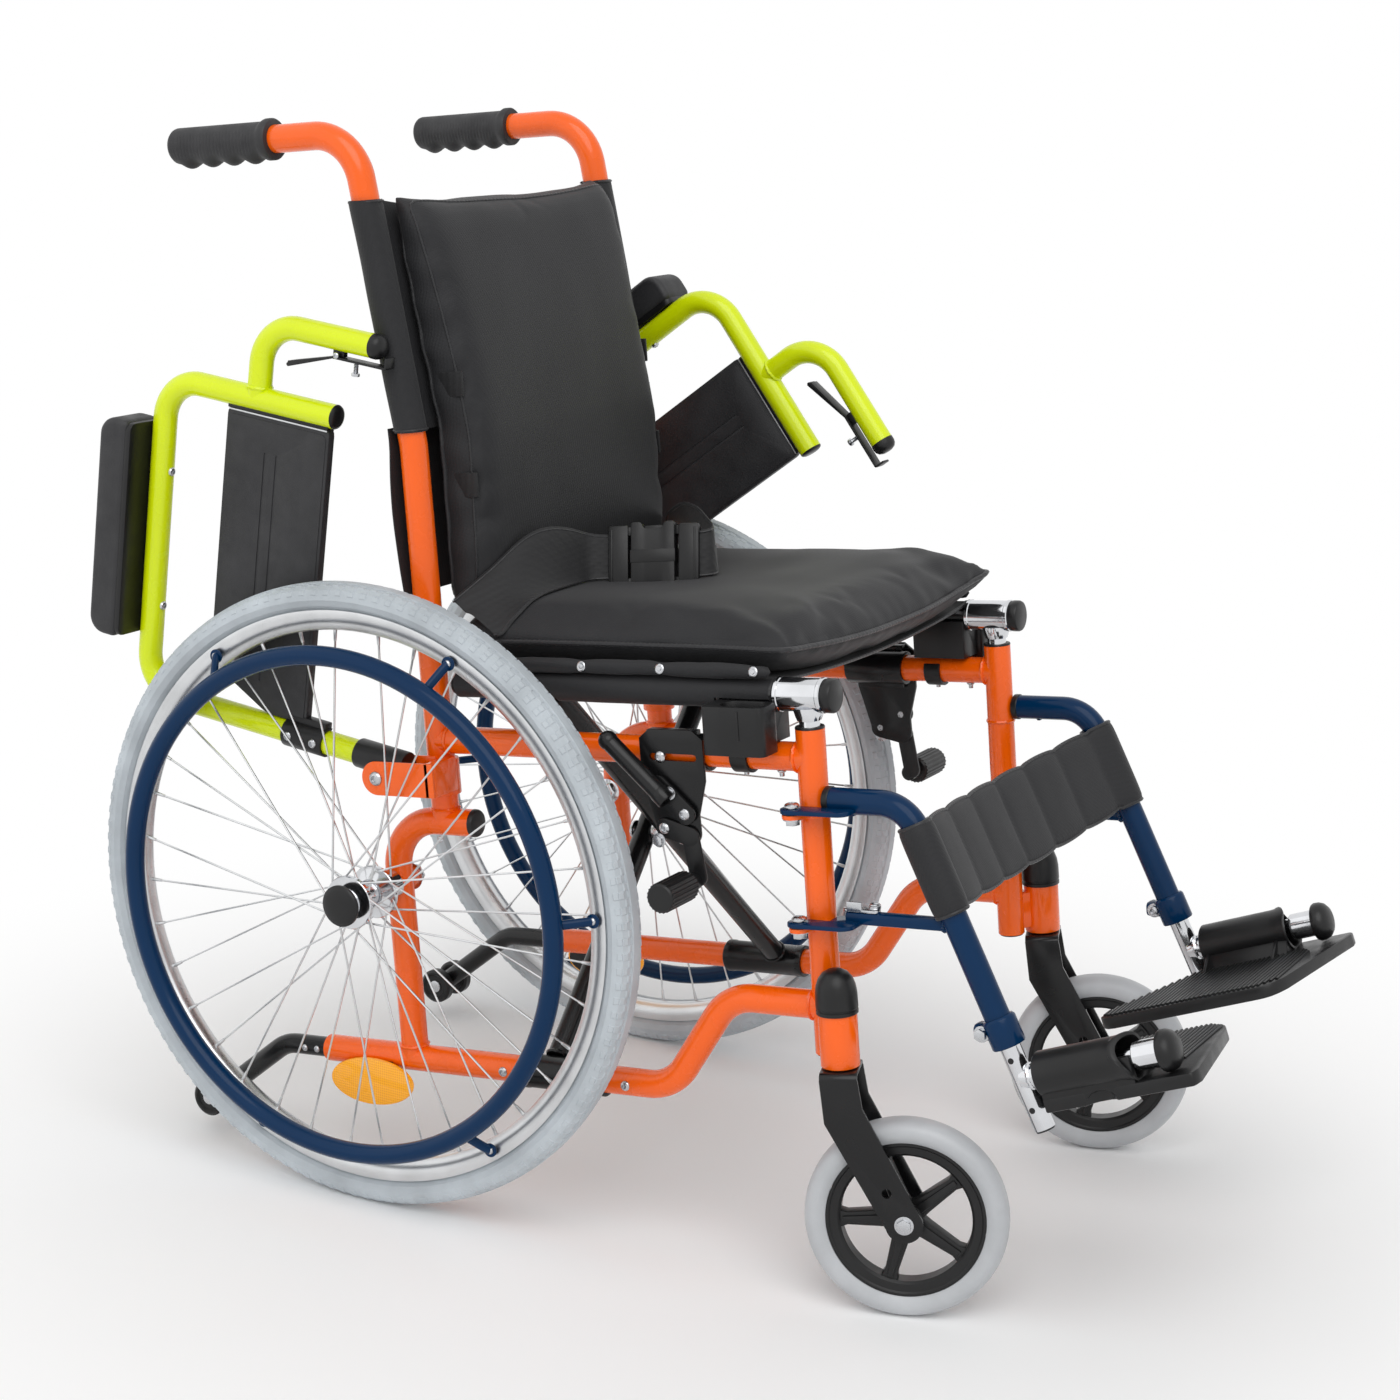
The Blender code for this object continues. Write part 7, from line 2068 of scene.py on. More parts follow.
@dataclass
class Footplate:
    """A flip-up footplate on its chrome pin: ribbed plate, barrel and arched wall."""

    side: Side
    start: float = 0.0169
    end: float = 0.1031
    barrel: float = 0.0195
    top: float = -0.018
    thickness: float = 0.0115
    pitch: float = 0.0046

    @property
    def place(self) -> Matrix:
        """The foot frame: -Y along the pin, Z square to it."""
        spot = self.side.at(CHAIR.leg_out, *CHAIR.leg(0.2436))
        return CHAIR.place @ Matrix.Translation(spot) @ Matrix.Rotation(math.radians(-16), 4, "X")

    def pin(self) -> None:
        """Turns the chrome pin and its black domed cap."""
        side, body = self.side, f"foot_spigot_{self.side.tag}"
        axis = toward(Vector((0, 0, 0)), Vector((0, -1, 0)))
        form = Form(self.place)
        sleeve = self.end + 0.0003
        profile = [
            (0, 0.002), (0.0065, 0.002), (0.0065, 0.0166), (0.0085, 0.0166), (0.0085, sleeve), (0.0112, sleeve),
            (0.0120, sleeve + 0.0008),
        ]
        profile += [(0.0120, sleeve + 0.0240), (0, sleeve + 0.0240)]
        form.turned(profile, axis, 36, closed=False)
        form.piece(f"foot_pin_chrome_{side.tag}", body, CHROME, (f"foot_pin_{side.tag}",), 34)
        cap = Form(self.place)
        base = sleeve + 0.0230
        dome = [
            (0, 0.0150), (0.0072, 0.0146), (0.0124, 0.0128), (0.0158, 0.0098), (0.0173, 0.0060),
            (0.0175, 0.0020), (0.0168, 0.0006), (0.0150, 0), (0, 0),
        ]
        cap.turned([(radius, base + rise) for radius, rise in dome], axis, 44, closed=False)
        cap.piece(f"foot_pin_cap_{side.tag}", body, PLASTIC)

    def plate(self) -> None:
        """Moulds the plate, its ribs, the barrel with its cut mouth and the wall."""
        side = self.side
        axis = toward(Vector((0, -self.start, 0)), Vector((0, -1, 0)))
        form = Form(self.place)
        length = self.end - self.start
        section = [
            (0.0088, 0), (0.0185, 0), (self.barrel, 0.0010), (self.barrel, length - 0.0240),
            (self.barrel, length - 0.0160), (0.0198, length - 0.0090),
        ]
        section += [
            (0.0206, length - 0.0036), (0.0210, length - 0.0010), (0.0204, length), (0.0178, length - 0.0004),
            (0.0166, length - 0.0030),
        ]
        section += [(0.0160, length - 0.0200), (0.0088, length - 0.0210)]
        count = len(form.shape.verts)
        form.turned(section, axis, 48)
        form.shape.verts.ensure_lookup_table()
        for point in form.shape.verts[count:]:
            along = -point.co.y - self.start
            if along > length - 0.0170 and point.co.xz.length > 0.0150:
                lift = max(0.0, (point.co.x * side.value * 0.75 + point.co.z * 0.66) / 0.0200)
                point.co.y += min(1.0, (along - length + 0.0170) / 0.0130) * 0.0120 * lift ** 2
        outline = [
            (0.0145, 0.0174), (0.0145, 0.0555), (0.0105, 0.0585), (0.0085, 0.0640), (0.0085, 0.0740),
            (0.0105, 0.0795), (0.0145, 0.0825),
        ]
        outline += [
            (0.0145, 0.1496), (0.0120, 0.1520), (0.0025, 0.1536), (-0.119, 0.1316), (-0.1300, 0.1270),
            (-0.137, 0.1216), (-0.1402, 0.1150), (-0.141, 0.1086),
        ]
        outline += [(-0.141, -0.0314), (-0.1385, -0.0395), (-0.133, -0.0450), (-0.121, -0.0444), (-0.014, 0.0174)]
        form.slab(outline, self.thickness, deck_plane(side, self.top - self.thickness / 2), 0.0016)
        lip = [
            (0.0066, self.start + 0.001), (0.0140, self.start + 0.001), (0.0140, self.end - 0.001),
            (0.0066, self.end - 0.001),
        ]
        wall = [(self.start + 0.001, 0.004), (self.start + 0.001, self.top - 0.0112), (0.0545, self.top - 0.0112)]
        wall += [
            (
                0.0690 - 0.0140 * math.cos(step * math.pi / 14),
                self.top - 0.0112 + 0.0105 * math.sin(step * math.pi / 14),
            )
            for step in range(1, 14)
        ]
        wall += [
            (0.0835, self.top - 0.0112), (self.end - 0.008, self.top - 0.0112),
            (self.end - 0.001, self.top - 0.0010), (self.end - 0.001, 0.004),
        ]
        form.slab(wall, lip[1][0] - lip[0][0], side_plane(side, (lip[0][0] + lip[1][0]) / 2), 0.0012)
        skirt = [(-0.0300, self.top - 0.0006), (-0.0186, -0.0060), (-0.0100, -0.0120), (-0.0100, self.top - 0.0006)]
        form.slab(skirt, length - 0.003, cross_plane(side, (self.start + self.end) / 2), 0.0006)
        for gusset in (self.start + 0.006, self.end - 0.012):
            web = [(-0.0420, self.top - 0.0004), (-0.0180, -0.0045), (-0.0160, self.top - 0.0004)]
            form.slab(web, 0.0030, cross_plane(side, gusset), 0.0005)
        self.ribs(form)
        form.piece(f"ribbed_footplate_{side.tag}", f"foot_rest_{side.tag}", PLASTIC, (f"footplate_{side.tag}",), 34)
        screw = Form(self.place)
        spot = Vector((side.value * -0.030, -0.034, self.top - self.thickness + 0.0002))
        screw.nut(spot, Vector((0, 0, -1)), 0.0088, 0.0030)
        screw.rod(spot, spot - Vector((0, 0, 0.0072)), 0.0040, 20, 0.0005)
        screw.piece(f"footplate_screw_{side.tag}", f"foot_rest_{side.tag}", STEEL, smooth=30)

    def ribs(self, form: Form) -> None:
        """Raises the tread's ribs, which run across the plate.

        Args:
            form: The plate's form.
        """
        side = self.side
        steps = int((0.1290 + 0.0400) / self.pitch)
        for step in range(steps + 1):
            ahead = -0.0400 + step * self.pitch
            outer = -0.0245 if ahead < 0.118 else -0.0245 - (ahead - 0.118) * 1.6
            if ahead < 0.0174:
                outer = min(outer, -0.1255 + (ahead + 0.0444) * 1.731)
            inner = -0.1380
            if ahead > 0.1110:
                inner += (ahead - 0.1110) * 0.85
            if ahead < -0.0320:
                inner += (-0.0320 - ahead) * 0.60
            if outer - inner < 0.006:
                continue
            low, high = self.top - 0.0006, self.top + 0.0019
            half = self.pitch * 0.30
            profile = [
                (ahead - half, low), (ahead + half, low), (ahead + half, high - 0.0007),
                (ahead + half * 0.45, high), (ahead - half * 0.45, high), (ahead - half, high - 0.0007),
            ]
            form.slab(profile, outer - inner, side_plane(side, (outer + inner) / 2), 0)

    def build(self) -> None:
        """Makes the footplate's pieces."""
        self.pin()
        self.plate()


# Soft goods

def surface(columns: int, rows: int, spot: Callable[[float, float], Vector]) -> bmesh.types.BMesh:
    """A grid whose points are placed by a rule.

    Args:
        columns: Number of its columns.
        rows: Number of its rows.
        spot: Gives a point's place from its (0 to 1) places across and along.

    Returns:
        The grid.
    """
    form = bmesh.new()
    made = bmesh.ops.create_grid(form, x_segments=columns, y_segments=rows, size=1)
    for point in made["verts"]:
        point.co = spot((point.co.x + 1) / 2, (point.co.y + 1) / 2)
    return form


def worked(mesh: bpy.types.Mesh, *steps: tuple[str, dict]) -> bpy.types.Mesh:
    """Runs modifiers on a mesh.

    Args:
        mesh: The mesh, which is used up.
        steps: Each modifier's kind and settings.

    Returns:
        The mesh they make.
    """
    holder = bpy.data.objects.new("blank", mesh)
    bpy.context.scene.collection.objects.link(holder)
    for kind, settings in steps:
        modifier = holder.modifiers.new(kind.lower(), kind)
        for name, value in settings.items():
            setattr(modifier, name, value)
    graph = bpy.context.evaluated_depsgraph_get()
    made = bpy.data.meshes.new_from_object(holder.evaluated_get(graph))
    bpy.data.objects.remove(holder)
    return made


def to_mesh(form: bmesh.types.BMesh, place: Matrix | None = None) -> bpy.types.Mesh:
    """Turns a shape in the chassis frame into a mesh in the chair's frame.

    Args:
        form: The shape, which is used up.
        place: Its frame, where that isn't the chassis frame.

    Returns:
        The mesh.
    """
    bmesh.ops.remove_doubles(form, verts=form.verts, dist=0.0002)
    bmesh.ops.recalc_face_normals(form, faces=form.faces)
    bmesh.ops.transform(form, matrix=CHAIR.place if place is None else place, verts=form.verts)
    mesh = bpy.data.meshes.new("cloth")
    form.to_mesh(mesh)
    form.free()
    return mesh


def swollen(mesh: bpy.types.Mesh, voxel: float, pressure: float, most: float) -> bpy.types.Mesh:
    """Blows a sewn pad up as cloth, and keeps every point near its start.

    Args:
        mesh: The pad's mesh, which is used up.
        voxel: Size of the even faces it is given first.
        pressure: The air pressure in it.
        most: The furthest that a point may move.

    Returns:
        The mesh, subdivided once.
    """
    even = worked(mesh, ("REMESH", {"mode": "VOXEL", "voxel_size": voxel}))
    pad = bpy.data.objects.new("pad blank", even)
    bpy.context.scene.collection.objects.link(pad)
    cloth = pad.modifiers.new("swell", "CLOTH")
    cloth.settings.use_pressure = True
    cloth.settings.uniform_pressure_force = pressure
    cloth.settings.effector_weights.gravity = 0
    cloth.point_cache.frame_start, cloth.point_cache.frame_end = 1, SWELL_FRAMES
    for count in range(1, SWELL_FRAMES + 1):
        bpy.context.scene.frame_set(count)
    graph = bpy.context.evaluated_depsgraph_get()
    blown = bpy.data.meshes.new_from_object(pad.evaluated_get(graph))
    for point, start in zip(blown.vertices, even.vertices):
        move = point.co - start.co
        point.co = start.co + move * min(1.0, most / max(move.length, 1e-6))
    bpy.context.scene.frame_set(1)
    bpy.data.objects.remove(pad)
    even = blown
    return worked(even, ("SUBSURF", {"levels": 1, "render_levels": 1}))


def sewn(columns: int, rows: int, front: Callable, rear: Callable) -> bpy.types.Mesh:
    """Two faces of a pad that meet in their seam.

    Args:
        columns: Number of each face's columns.
        rows: Number of its rows.
        front: Gives a point's place on one face, as for surface.
        rear: Gives it on the other face.

    Returns:
        The pad's mesh in the chassis frame.
    """
    form = surface(columns, rows, front)
    behind = to_mesh(surface(columns, rows, rear), Matrix())
    form.from_mesh(behind)
    bpy.data.meshes.remove(behind)
    return to_mesh(form, Matrix())


def surface_tree(mesh: bpy.types.Mesh) -> BVHTree:
    """A mesh as a surface that rays are cast at."""
    places = [point.co.copy() for point in mesh.vertices]
    return BVHTree.FromPolygons(places, [face.vertices[:] for face in mesh.polygons])


def grid_place(u: float, v: float) -> tuple[float, float]:
    """A pad's place from -1 to 1, for a grid's from 0 to 1: closer together toward the edges."""
    return math.sin((u - 0.5) * math.pi), math.sin((v - 0.5) * math.pi)


def seam_places(count: int) -> list[tuple[float, float]]:
    """Places round the seam of a pad.

    Args:
        count: Number of places on each side.

    Returns:
        The places as (across, along).
    """
    steps = [2 * index / count - 1 for index in range(count)]
    return (
        [(step, -1) for step in steps] + [(1, step) for step in steps]
        + [(-step, 1) for step in steps] + [(-1, -step) for step in steps]
    )


def evened(route: list[Vector]) -> list[Vector]:
    """Smooths a closed route and overlaps its ends.

    Args:
        route: The route's points.

    Returns:
        The smoothed points, with the first two again at the end.
    """
    count = len(route)
    smooth = [(route[index - 1] + route[index] * 2 + route[(index + 1) % count]) / 4 for index in range(count)]
    return smooth + smooth[:2]


def crown(across: float, along: float, power: float = 4) -> float:
    """Height of a stuffed pad: 0 at its seam and 1 in the middle."""
    return math.sqrt(max(0.0, (1 - abs(across) ** power) * (1 - abs(along) ** power)))


def crease(spot: Vector, scale: float, shift: float = 0.0) -> float:
    """Soft noise from -1 to 1 at a point, at a scale per metre."""
    return noise.noise(Vector(spot) * scale + Vector((shift, 1.7 * shift, 0.3)))


@dataclass(frozen=True)
class Fold:
    """How a soft piece gives way as the chair folds."""
    # Fold settings of a soft piece: a joint, a half-width and a share to keep.

    joint: str = "fold"
    half: float = CHAIR.out
    keep: float = 0.25

    def give(self, piece: bpy.types.Object) -> bpy.types.Object:
        """Gives a piece its own copy of its mesh."""
        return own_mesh(piece)


def sleeved(half: float, radius: float, attach: float, sag: float, leave: float, hem: float = 0.026) -> list[tuple]:
    """Section of a sheet whose ends are sewn into sleeves round two tubes.

    Args:
        half: Distance of the tubes from the middle.
        radius: Radius of the sleeves' middle line.
        attach: Height of the sheet beside the tubes, above their axes.
        sag: How far the sheet hangs in the middle.
        leave: Angle at which the sheet leaves its tube, in degrees.
        hem: Distance of the sleeve's seam inside the tube's axis.

    Returns:
        The (out, height) points from one seam to the other.
    """
    droop = sag * (1 - ((half - hem) / half) ** 2)
    side = [(half - hem, attach - droop - 0.0017), (half - hem * 0.8, attach - droop - 0.0022)]
    side += arc((half, 0), radius, -142, leave, 18)
    side += [(half - hem * (0.8 + 0.2 * count), attach - droop * (0.8 + 0.2 * count)) for count in range(2)]
    steps = 10
    side += [
        ((half - hem) * (1 - count / steps), attach - sag * (1 - ((half - hem) / half * (1 - count / steps)) ** 2))
        for count in range(1, steps + 1)
    ]
    return side + [(-out, height) for out, height in reversed(side[:-1])]


def run(points: list[tuple]) -> float:
    """Length of a line through points."""
    return sum((Vector(after) - Vector(before)).length for before, after in zip(points, points[1:]))


@dataclass
class Seat:
    """The seat: the sling in its sleeves, the snapped hem and the piped cushion."""

    rear: float = 0.087
    front: float = 0.4055
    saddle: float = 0.352
    uncut: float = 0.96
    cushion_rear: float = 0.078
    cushion_front: float = 0.428
    cushion_low: float = 0.1925
    hem_rear: float = 0.096
    hem_out: float = 0.1998
    hem_up: float = 0.2080
    hem_radius: float = 0.0060
    snap_spot: tuple[float, float] = (0.2044, 0.2085)
    width: float = 0.400
    seam_up: float = 0.2255
    rise: float = 0.0350
    belly: float = 0.0235
    sag: float = 0.010
    snaps: tuple[float, ...] = (0.1440, 0.2226, 0.3010, 0.3915)
    body: str = "seat_right"
    fold: Fold = Fold()

    def seam(self, across: float, along: float) -> Vector:
        """A point on the cushion's seam plane.

        Args:
            across: Its place over the width, from -1 to 1.
            along: Its place from the rear to the front, from -1 to 1.

        Returns:
            The chassis-frame point.
        """
        front = CHAIR.post - 0.012 + 0.010 * (1 - across ** 2)
        corner = max(0.0, across * 0.9 - 0.4) ** 2 * max(0.0, along) ** 6
        ahead = self.cushion_rear + (front - self.cushion_rear) * (along + 1) / 2 + 0.072 * corner
        drawn = 0.006 * (1 - along ** 2)
        up = self.seam_up - self.sag * (1 - across ** 2) + 0.020 * corner
        return Vector((across * (self.width / 2 - drawn), -ahead, up))

    def full(self, across: float, along: float) -> float:
        """How full the cushion is at a place: it hardly thins toward its rear edge.

        Args:
            across: The place over the width, from -1 to 1.
            along: The place from the rear to the front, from -1 to 1.

        Returns:
            Its share of the full height, from 0 to 1.
        """
        if along > 0:
            return crown(across, along, 5)
        return math.sqrt(max(0.0, (1 - abs(across) ** 4.6) * (1 - abs(along) ** 16)))

    def blank(self) -> bpy.types.Mesh:
        """Two cushion faces that meet in the seam.

        Returns:
            The cushion's mesh in the chassis frame.
        """

        def upper(u: float, v: float) -> Vector:
            """Place of a point on the top.

            Args:
                u: Its place across the face, from 0 to 1.
                v: Its place from the rear to the front, from 0 to 1.

            Returns:
                The chassis-frame point.
            """
            across, along = grid_place(u, v)
            return self.seam(across, along) + Vector((0, 0, self.rise * self.full(across, along)))

        def lower(u: float, v: float) -> Vector:
            """Place of a point underneath.

            Args:
                u: Its place across the face, from 0 to 1.
                v: Its place from the rear to the front, from 0 to 1.

            Returns:
                The chassis-frame point.
            """
            across, along = grid_place(u, v)
            return self.seam(across, along) - Vector((0, 0, self.belly * self.full(across, along)))

        return sewn(40, 36, upper, lower)

    def creased(self, spot: Vector, normal: Vector) -> Vector:
        """Moves a point of the cushion for its puckers, channels and folds.

        Args:
            spot: The point.
            normal: The surface's direction there.

        Returns:
            Its new place.
        """
        across = spot.x / (self.width / 2)
        along = (-spot.y - self.cushion_rear) / (self.cushion_front - self.cushion_rear) * 2 - 1
        edge = max(0.0, min(1 - abs(across), 1 - abs(along))) * 0.19
        round_it = spot.x if 1 - abs(along) < 1 - abs(across) else spot.y
        pucker = 0.0007 * crease(Vector((round_it, 0, spot.z * 0.3)), 75) * math.exp(-((edge - 0.008) / 0.011) ** 2)
        lift = pucker + 0.0012 * crease(spot, 15, 3.0)
        if normal.z > 0.2:
            for way in (-1, 1):
                corner = Vector((way * 0.198, -0.424))
                reach = (Vector(spot.xy) - corner).length
                angle = math.atan2(spot.y - corner.y, (spot.x - corner.x) * -way)
                swell = math.exp(-((reach - 0.062) / 0.036) ** 2)
                lift += 0.0026 * swell * math.sin(angle * 9 + 1.2 * way + 4.5 * crease(spot, 17))
            long_fold = noise.noise(Vector((spot.x * 6, spot.y * 26, 2.0)))
            lift += 0.0017 * long_fold * max(0.0, along + 0.5)
        return spot + normal * lift

    def cushion(self) -> BVHTree:
        """Makes the cushion and its piping.

        Returns:
            The cushion's surface, for what lies on it.
        """
        mesh = swollen(self.blank(), 0.0055, 4.0, 0.006)
        normals = [point.normal.copy() for point in mesh.vertices]
        for point, normal in zip(mesh.vertices, normals):
            point.co = self.creased(point.co, normal)
            point.co.z = max(point.co.z, self.cushion_low + 0.010 * (point.co.x / 0.19) ** 2)
        tree = surface_tree(mesh)
        mesh.transform(CHAIR.place)
        piece = dress(mesh, "seat_pad", self.body, NYLON, ("seat_cushion",), 70)
        self.fold.give(piece)
        route = []
        for across, along in seam_places(64):
            spot = self.seam(across, along)
            outward = Vector((spot.x, spot.y + 0.25, 0)).normalized()
            found = tree.ray_cast(spot + outward * 0.05, -outward)[0]
            route.append((found or spot) + outward * 0.0006)
        piping = Form().pipe(evened(route), 0.0023, 10).piece("seat_piping", self.body, PIPING)
        self.fold.give(piping)
        return tree

    def sling(self) -> None:
        """Sews the sling: full sleeves behind the saddles and half sleeves over them."""
        section = sleeved(CHAIR.out, radius=0.0124, attach=0.0105, sag=0.009, leave=122)
        over = [spot for spot in section if spot[1] > -0.0022]
        form = bmesh.new()
        for points, rear, front in ((section, self.rear, self.saddle), (over, self.saddle, self.front)):

            def spot(u: float, v: float) -> Vector:
                """Place of a point of the sling.

                Args:
                    u: Its place along the section, from 0 to 1.
                    v: Its place from the rear to the front, from 0 to 1.

                Returns:
                    The chassis-frame point.
                """
                out, height = points[round(u * (len(points) - 1))]
                place = Vector((out, -(rear + (front - rear) * v), CHAIR.seat_up + height))
                return place + Vector((0, 0, 0.0005 * crease(place, 30)))

            merge(form, surface(len(points) - 1, round((front - rear) / 0.005), spot))
        for way, ahead in zip((1, -1), CHAIR.braces):
            low = Vector((-way * CHAIR.out, -ahead, CHAIR.lower_up))
            high = Vector((way * CHAIR.out, -ahead, CHAIR.seat_up))
            line = (high - low).normalized()
            cut = []
            for face in form.faces:
                reach = face.calc_center_median() - low
                off = (reach - line * reach.dot(line)).length
                within = reach.dot(line) < (high - low).length + 0.002
                if off < 0.0165 and within and reach.z + low.z < CHAIR.seat_up + 0.008:
                    cut.append(face)
            bmesh.ops.delete(form, geom=cut, context="FACES")
        mesh = worked(to_mesh(form), THICKEN)
        piece = dress(mesh, "seat_cloth", self.body, NYLON, ("seat_sling",), 50)
        flat = (run(section), self.front - self.rear)
        self.fold.give(piece)
        edge = [Vector((out, -self.front, CHAIR.seat_up + height)) for out, height in over]
        bound = Form().pipe(edge, 0.0017, 8).piece("seat_cloth_binding", self.body, PIPING)
        self.fold.give(bound)

    def hem(self, side: Side) -> None:
        """Rolls the hem on a seat tube, with its snaps.

        Args:
            side: The side of the chair.
        """

        def spot(u: float, v: float) -> Vector:
            """Place of a point of the hem.

            Args:
                u: Its place round the roll, from 0 to 1.
                v: Its place from the rear to the front, from 0 to 1.

            Returns:
                The chassis-frame point.
            """
            ahead = self.hem_rear + (self.front - self.hem_rear) * v
            near = min(abs(ahead - snap) for snap in self.snaps)
            pinch = math.exp(-(near / 0.012) ** 2)
            angle = 2 * math.pi * u
            end = math.sqrt(max(0.0, 1 - abs(2 * v - 1) ** 30))
            radius = (self.hem_radius - 0.0012 * pinch + 0.0005 * crease(Vector((0, ahead, 0)), 60)) * max(0.05, end)
            out = self.hem_out + 0.0006 * pinch + radius * math.cos(angle)
            up = self.hem_up + 0.0008 * crease(Vector((0, ahead, 3)), 30) + 1.12 * radius * math.sin(angle)
            return side.at(out, ahead, up)

        mesh = to_mesh(surface(16, 90, spot))
        roll = dress(mesh, f"seat_hem_{side.tag}", self.body, NYLON, (), 60)
        self.fold.give(roll)
        form = Form()
        profile = [
            (0.0044, 0), (0.0044, 0.0008), (0.0034, 0.0014), (0.0022, 0.0012), (0.0018, 0.0018), (0, 0.0020), (0, 0),
        ]
        for ahead in self.snaps:
            seat = side.at(self.snap_spot[0], ahead, self.snap_spot[1])
            heading = side.at(1, 0, 0.25).normalized()
            form.turned(profile, toward(seat, seat + heading), 20, closed=False)
        snaps = form.piece(f"seat_snaps_{side.tag}", self.body, STEEL)
        self.fold.give(snaps)

    def build(self) -> BVHTree:
        """Makes the seat.

        Returns:
            The cushion's surface.
        """
        self.sling()
        for side in Side:
            self.hem(side)
        return self.cushion()


@dataclass
class Backrest:
    """The back: sleeves round the posts, the flap below them and the boxed pad."""

    low: float = 0.412
    high: float = 0.615
    flap_low: float = 0.266
    flap_half: float = 0.2035
    pad_low: float = 0.256
    width: float = 0.338
    depth: float = 0.040
    gap: float = 0.0075
    body: str = "frame_right"
    fold: Fold = Fold()
    pad_fold: Fold = Fold(half=0.180, keep=0.17)

    def cloth(self) -> None:
        """Sews the sleeves with the sheet between them, and the flap behind the posts."""
        section = sleeved(CHAIR.out, radius=0.0139, attach=0.002, sag=0.004, leave=146, hem=0.024)

        def spot(u: float, v: float, points: list[tuple]) -> Vector:
            """Place of a point on one stretch of the section.

            Args:
                u: Its place along the stretch, from 0 to 1.
                v: Its place from the bottom to the top, from 0 to 1.
                points: The stretch's points.

            Returns:
                The chassis-frame point.
            """
            out, height = points[round(u * (len(points) - 1))]
            dip = 0.009 * max(0.0, 1 - (out / 0.178) ** 4) * v ** 3
            up = self.low + (self.high - self.low) * v - dip
            away = max(0.0, abs(out) - CHAIR.out + 0.004) / 0.018
            puff = away * (0.0014 + 0.0016 * crease(Vector((out * 0.4, height * 0.4, up)), 20))
            return Vector((out + math.copysign(puff, out), -(CHAIR.back_ahead(up) + height), up))

        def flap(u: float, v: float) -> Vector:
            """Place of a point of the flap.

            Args:
                u: Its place across the flap, from 0 to 1.
                v: Its place from the bottom to the top, from 0 to 1.

            Returns:
                The chassis-frame point.
            """
            out = (2 * u - 1) * self.flap_half
            up = self.flap_low + (self.low + 0.004 - self.flap_low) * v
            belly = 0.0050 * math.sin(math.pi * v) * abs(2 * u - 1) ** 6
            loose = 0.0158 + belly + 0.0012 * crease(Vector((out, 0, up)), 18)
            return Vector((out, -CHAIR.back_ahead(up) + loose, up))

        turn = max(index for index, point in enumerate(section[: len(section) // 2]) if point[0] > CHAIR.out - 0.0241)
        for side, points in ((Side.LEFT, section[: turn + 1]), (Side.RIGHT, section[-turn - 1:])):
            part = surface(len(points) - 1, 30, lambda u, v: spot(u, v, points))
            mesh = worked(to_mesh(part), THICKEN)
            sleeve = dress(mesh, f"back_sleeve_{side.tag}", f"frame_{side.tag}", NYLON, (), 50)
            run(points)
        middle = section[turn:-turn]
        form = surface(len(middle) - 1, 30, lambda u, v: spot(u, v, middle))
        merge(form, surface(30, 14, flap))
        mesh = worked(to_mesh(form), THICKEN)
        piece = dress(mesh, "back_cloth", self.body, NYLON, ("back_sling",), 50)
        area = run(middle) * (self.high - self.low) + 2 * self.flap_half * (self.low - self.pad_low)
        self.fold.give(piece)
        for side in Side:
            form = Form()
            for up, radius in ((self.low + 0.002, 0.0149), (self.high - 0.0015, 0.0149)):
                ahead = CHAIR.back_ahead(up)
                ring = [
                    side.at(CHAIR.out + radius * math.cos(angle), ahead + radius * math.sin(angle), up)
                    for angle in map(math.radians, range(-140, 141, 14))
                ]
                form.pipe(ring, 0.0011, 8)
            form.piece(f"back_sleeve_binding_{side.tag}", f"frame_{side.tag}", PIPING)

    def seam(self, across: float, along: float) -> Vector:
        """A point on the pad's rear plane.

        Args:
            across: Its place over the width, from -1 to 1.
            along: Its place from the bottom to the top, from -1 to 1.

        Returns:
            The chassis-frame point.
        """
        up = self.pad_low + (self.high + 0.003 - self.pad_low) * (along + 1) / 2
        up -= 0.006 * max(0.0, along) ** 4 * (1 - abs(across) ** 3)
        drawn = 0.004 * (1 - along ** 2)
        return Vector((across * (self.width / 2 - drawn), -(CHAIR.back_ahead(up) + self.gap), up))

    def fullness(self, along: float) -> float:
        """How thick the pad is, at a place from its bottom (-1) to its top (1)."""
        return self.depth * (1 - 0.30 * max(0.0, along) ** 2)

    def pad(self) -> None:
        """Swells the pad, then sews its welts and tabs on."""

        def front(u: float, v: float) -> Vector:
            """Place of a point on the front.

            Args:
                u: Its place across the pad, from 0 to 1.
                v: Its place from the bottom to the top, from 0 to 1.

            Returns:
                The chassis-frame point.
            """
            across, along = grid_place(u, v)
            return self.seam(across, along) - Vector((0, self.fullness(along) * crown(across, along, 16), 0))

        def rear(u: float, v: float) -> Vector:
            """Place of a point on the rear.

            Args:
                u: Its place across the pad, from 0 to 1.
                v: Its place from the bottom to the top, from 0 to 1.

            Returns:
                The chassis-frame point.
            """
            across, along = grid_place(u, v)
            return self.seam(across, along) + Vector((0, 0.0025 * crown(across, along, 6), 0))

        mesh = swollen(sewn(34, 36, front, rear), 0.0055, 2.0, 0.003)
        normals = [point.normal.copy() for point in mesh.vertices]
        for point, normal in zip(mesh.vertices, normals):
            spot = point.co.copy()
            side = abs(normal.x)
            lift = 0.0009 * crease(spot, 13, 5.0) + 0.0006 * crease(Vector((spot.x, 0, spot.z * 0.3)), 22, 2.0)
            lift += side * 0.0009 * math.sin(spot.z * 150 + 4 * crease(spot, 12))
            point.co = spot + normal * lift
            rearmost = -(CHAIR.back_ahead(spot.z) + 0.0042)
            point.co.y = min(point.co.y, rearmost)
        tree = surface_tree(mesh)
        mesh.transform(CHAIR.place)
        piece = dress(mesh, "backrest_pad", self.body, NYLON, ("back_pad",), 70)
        self.pad_fold.give(piece)
        self.welts(tree)
        self.tabs(tree)

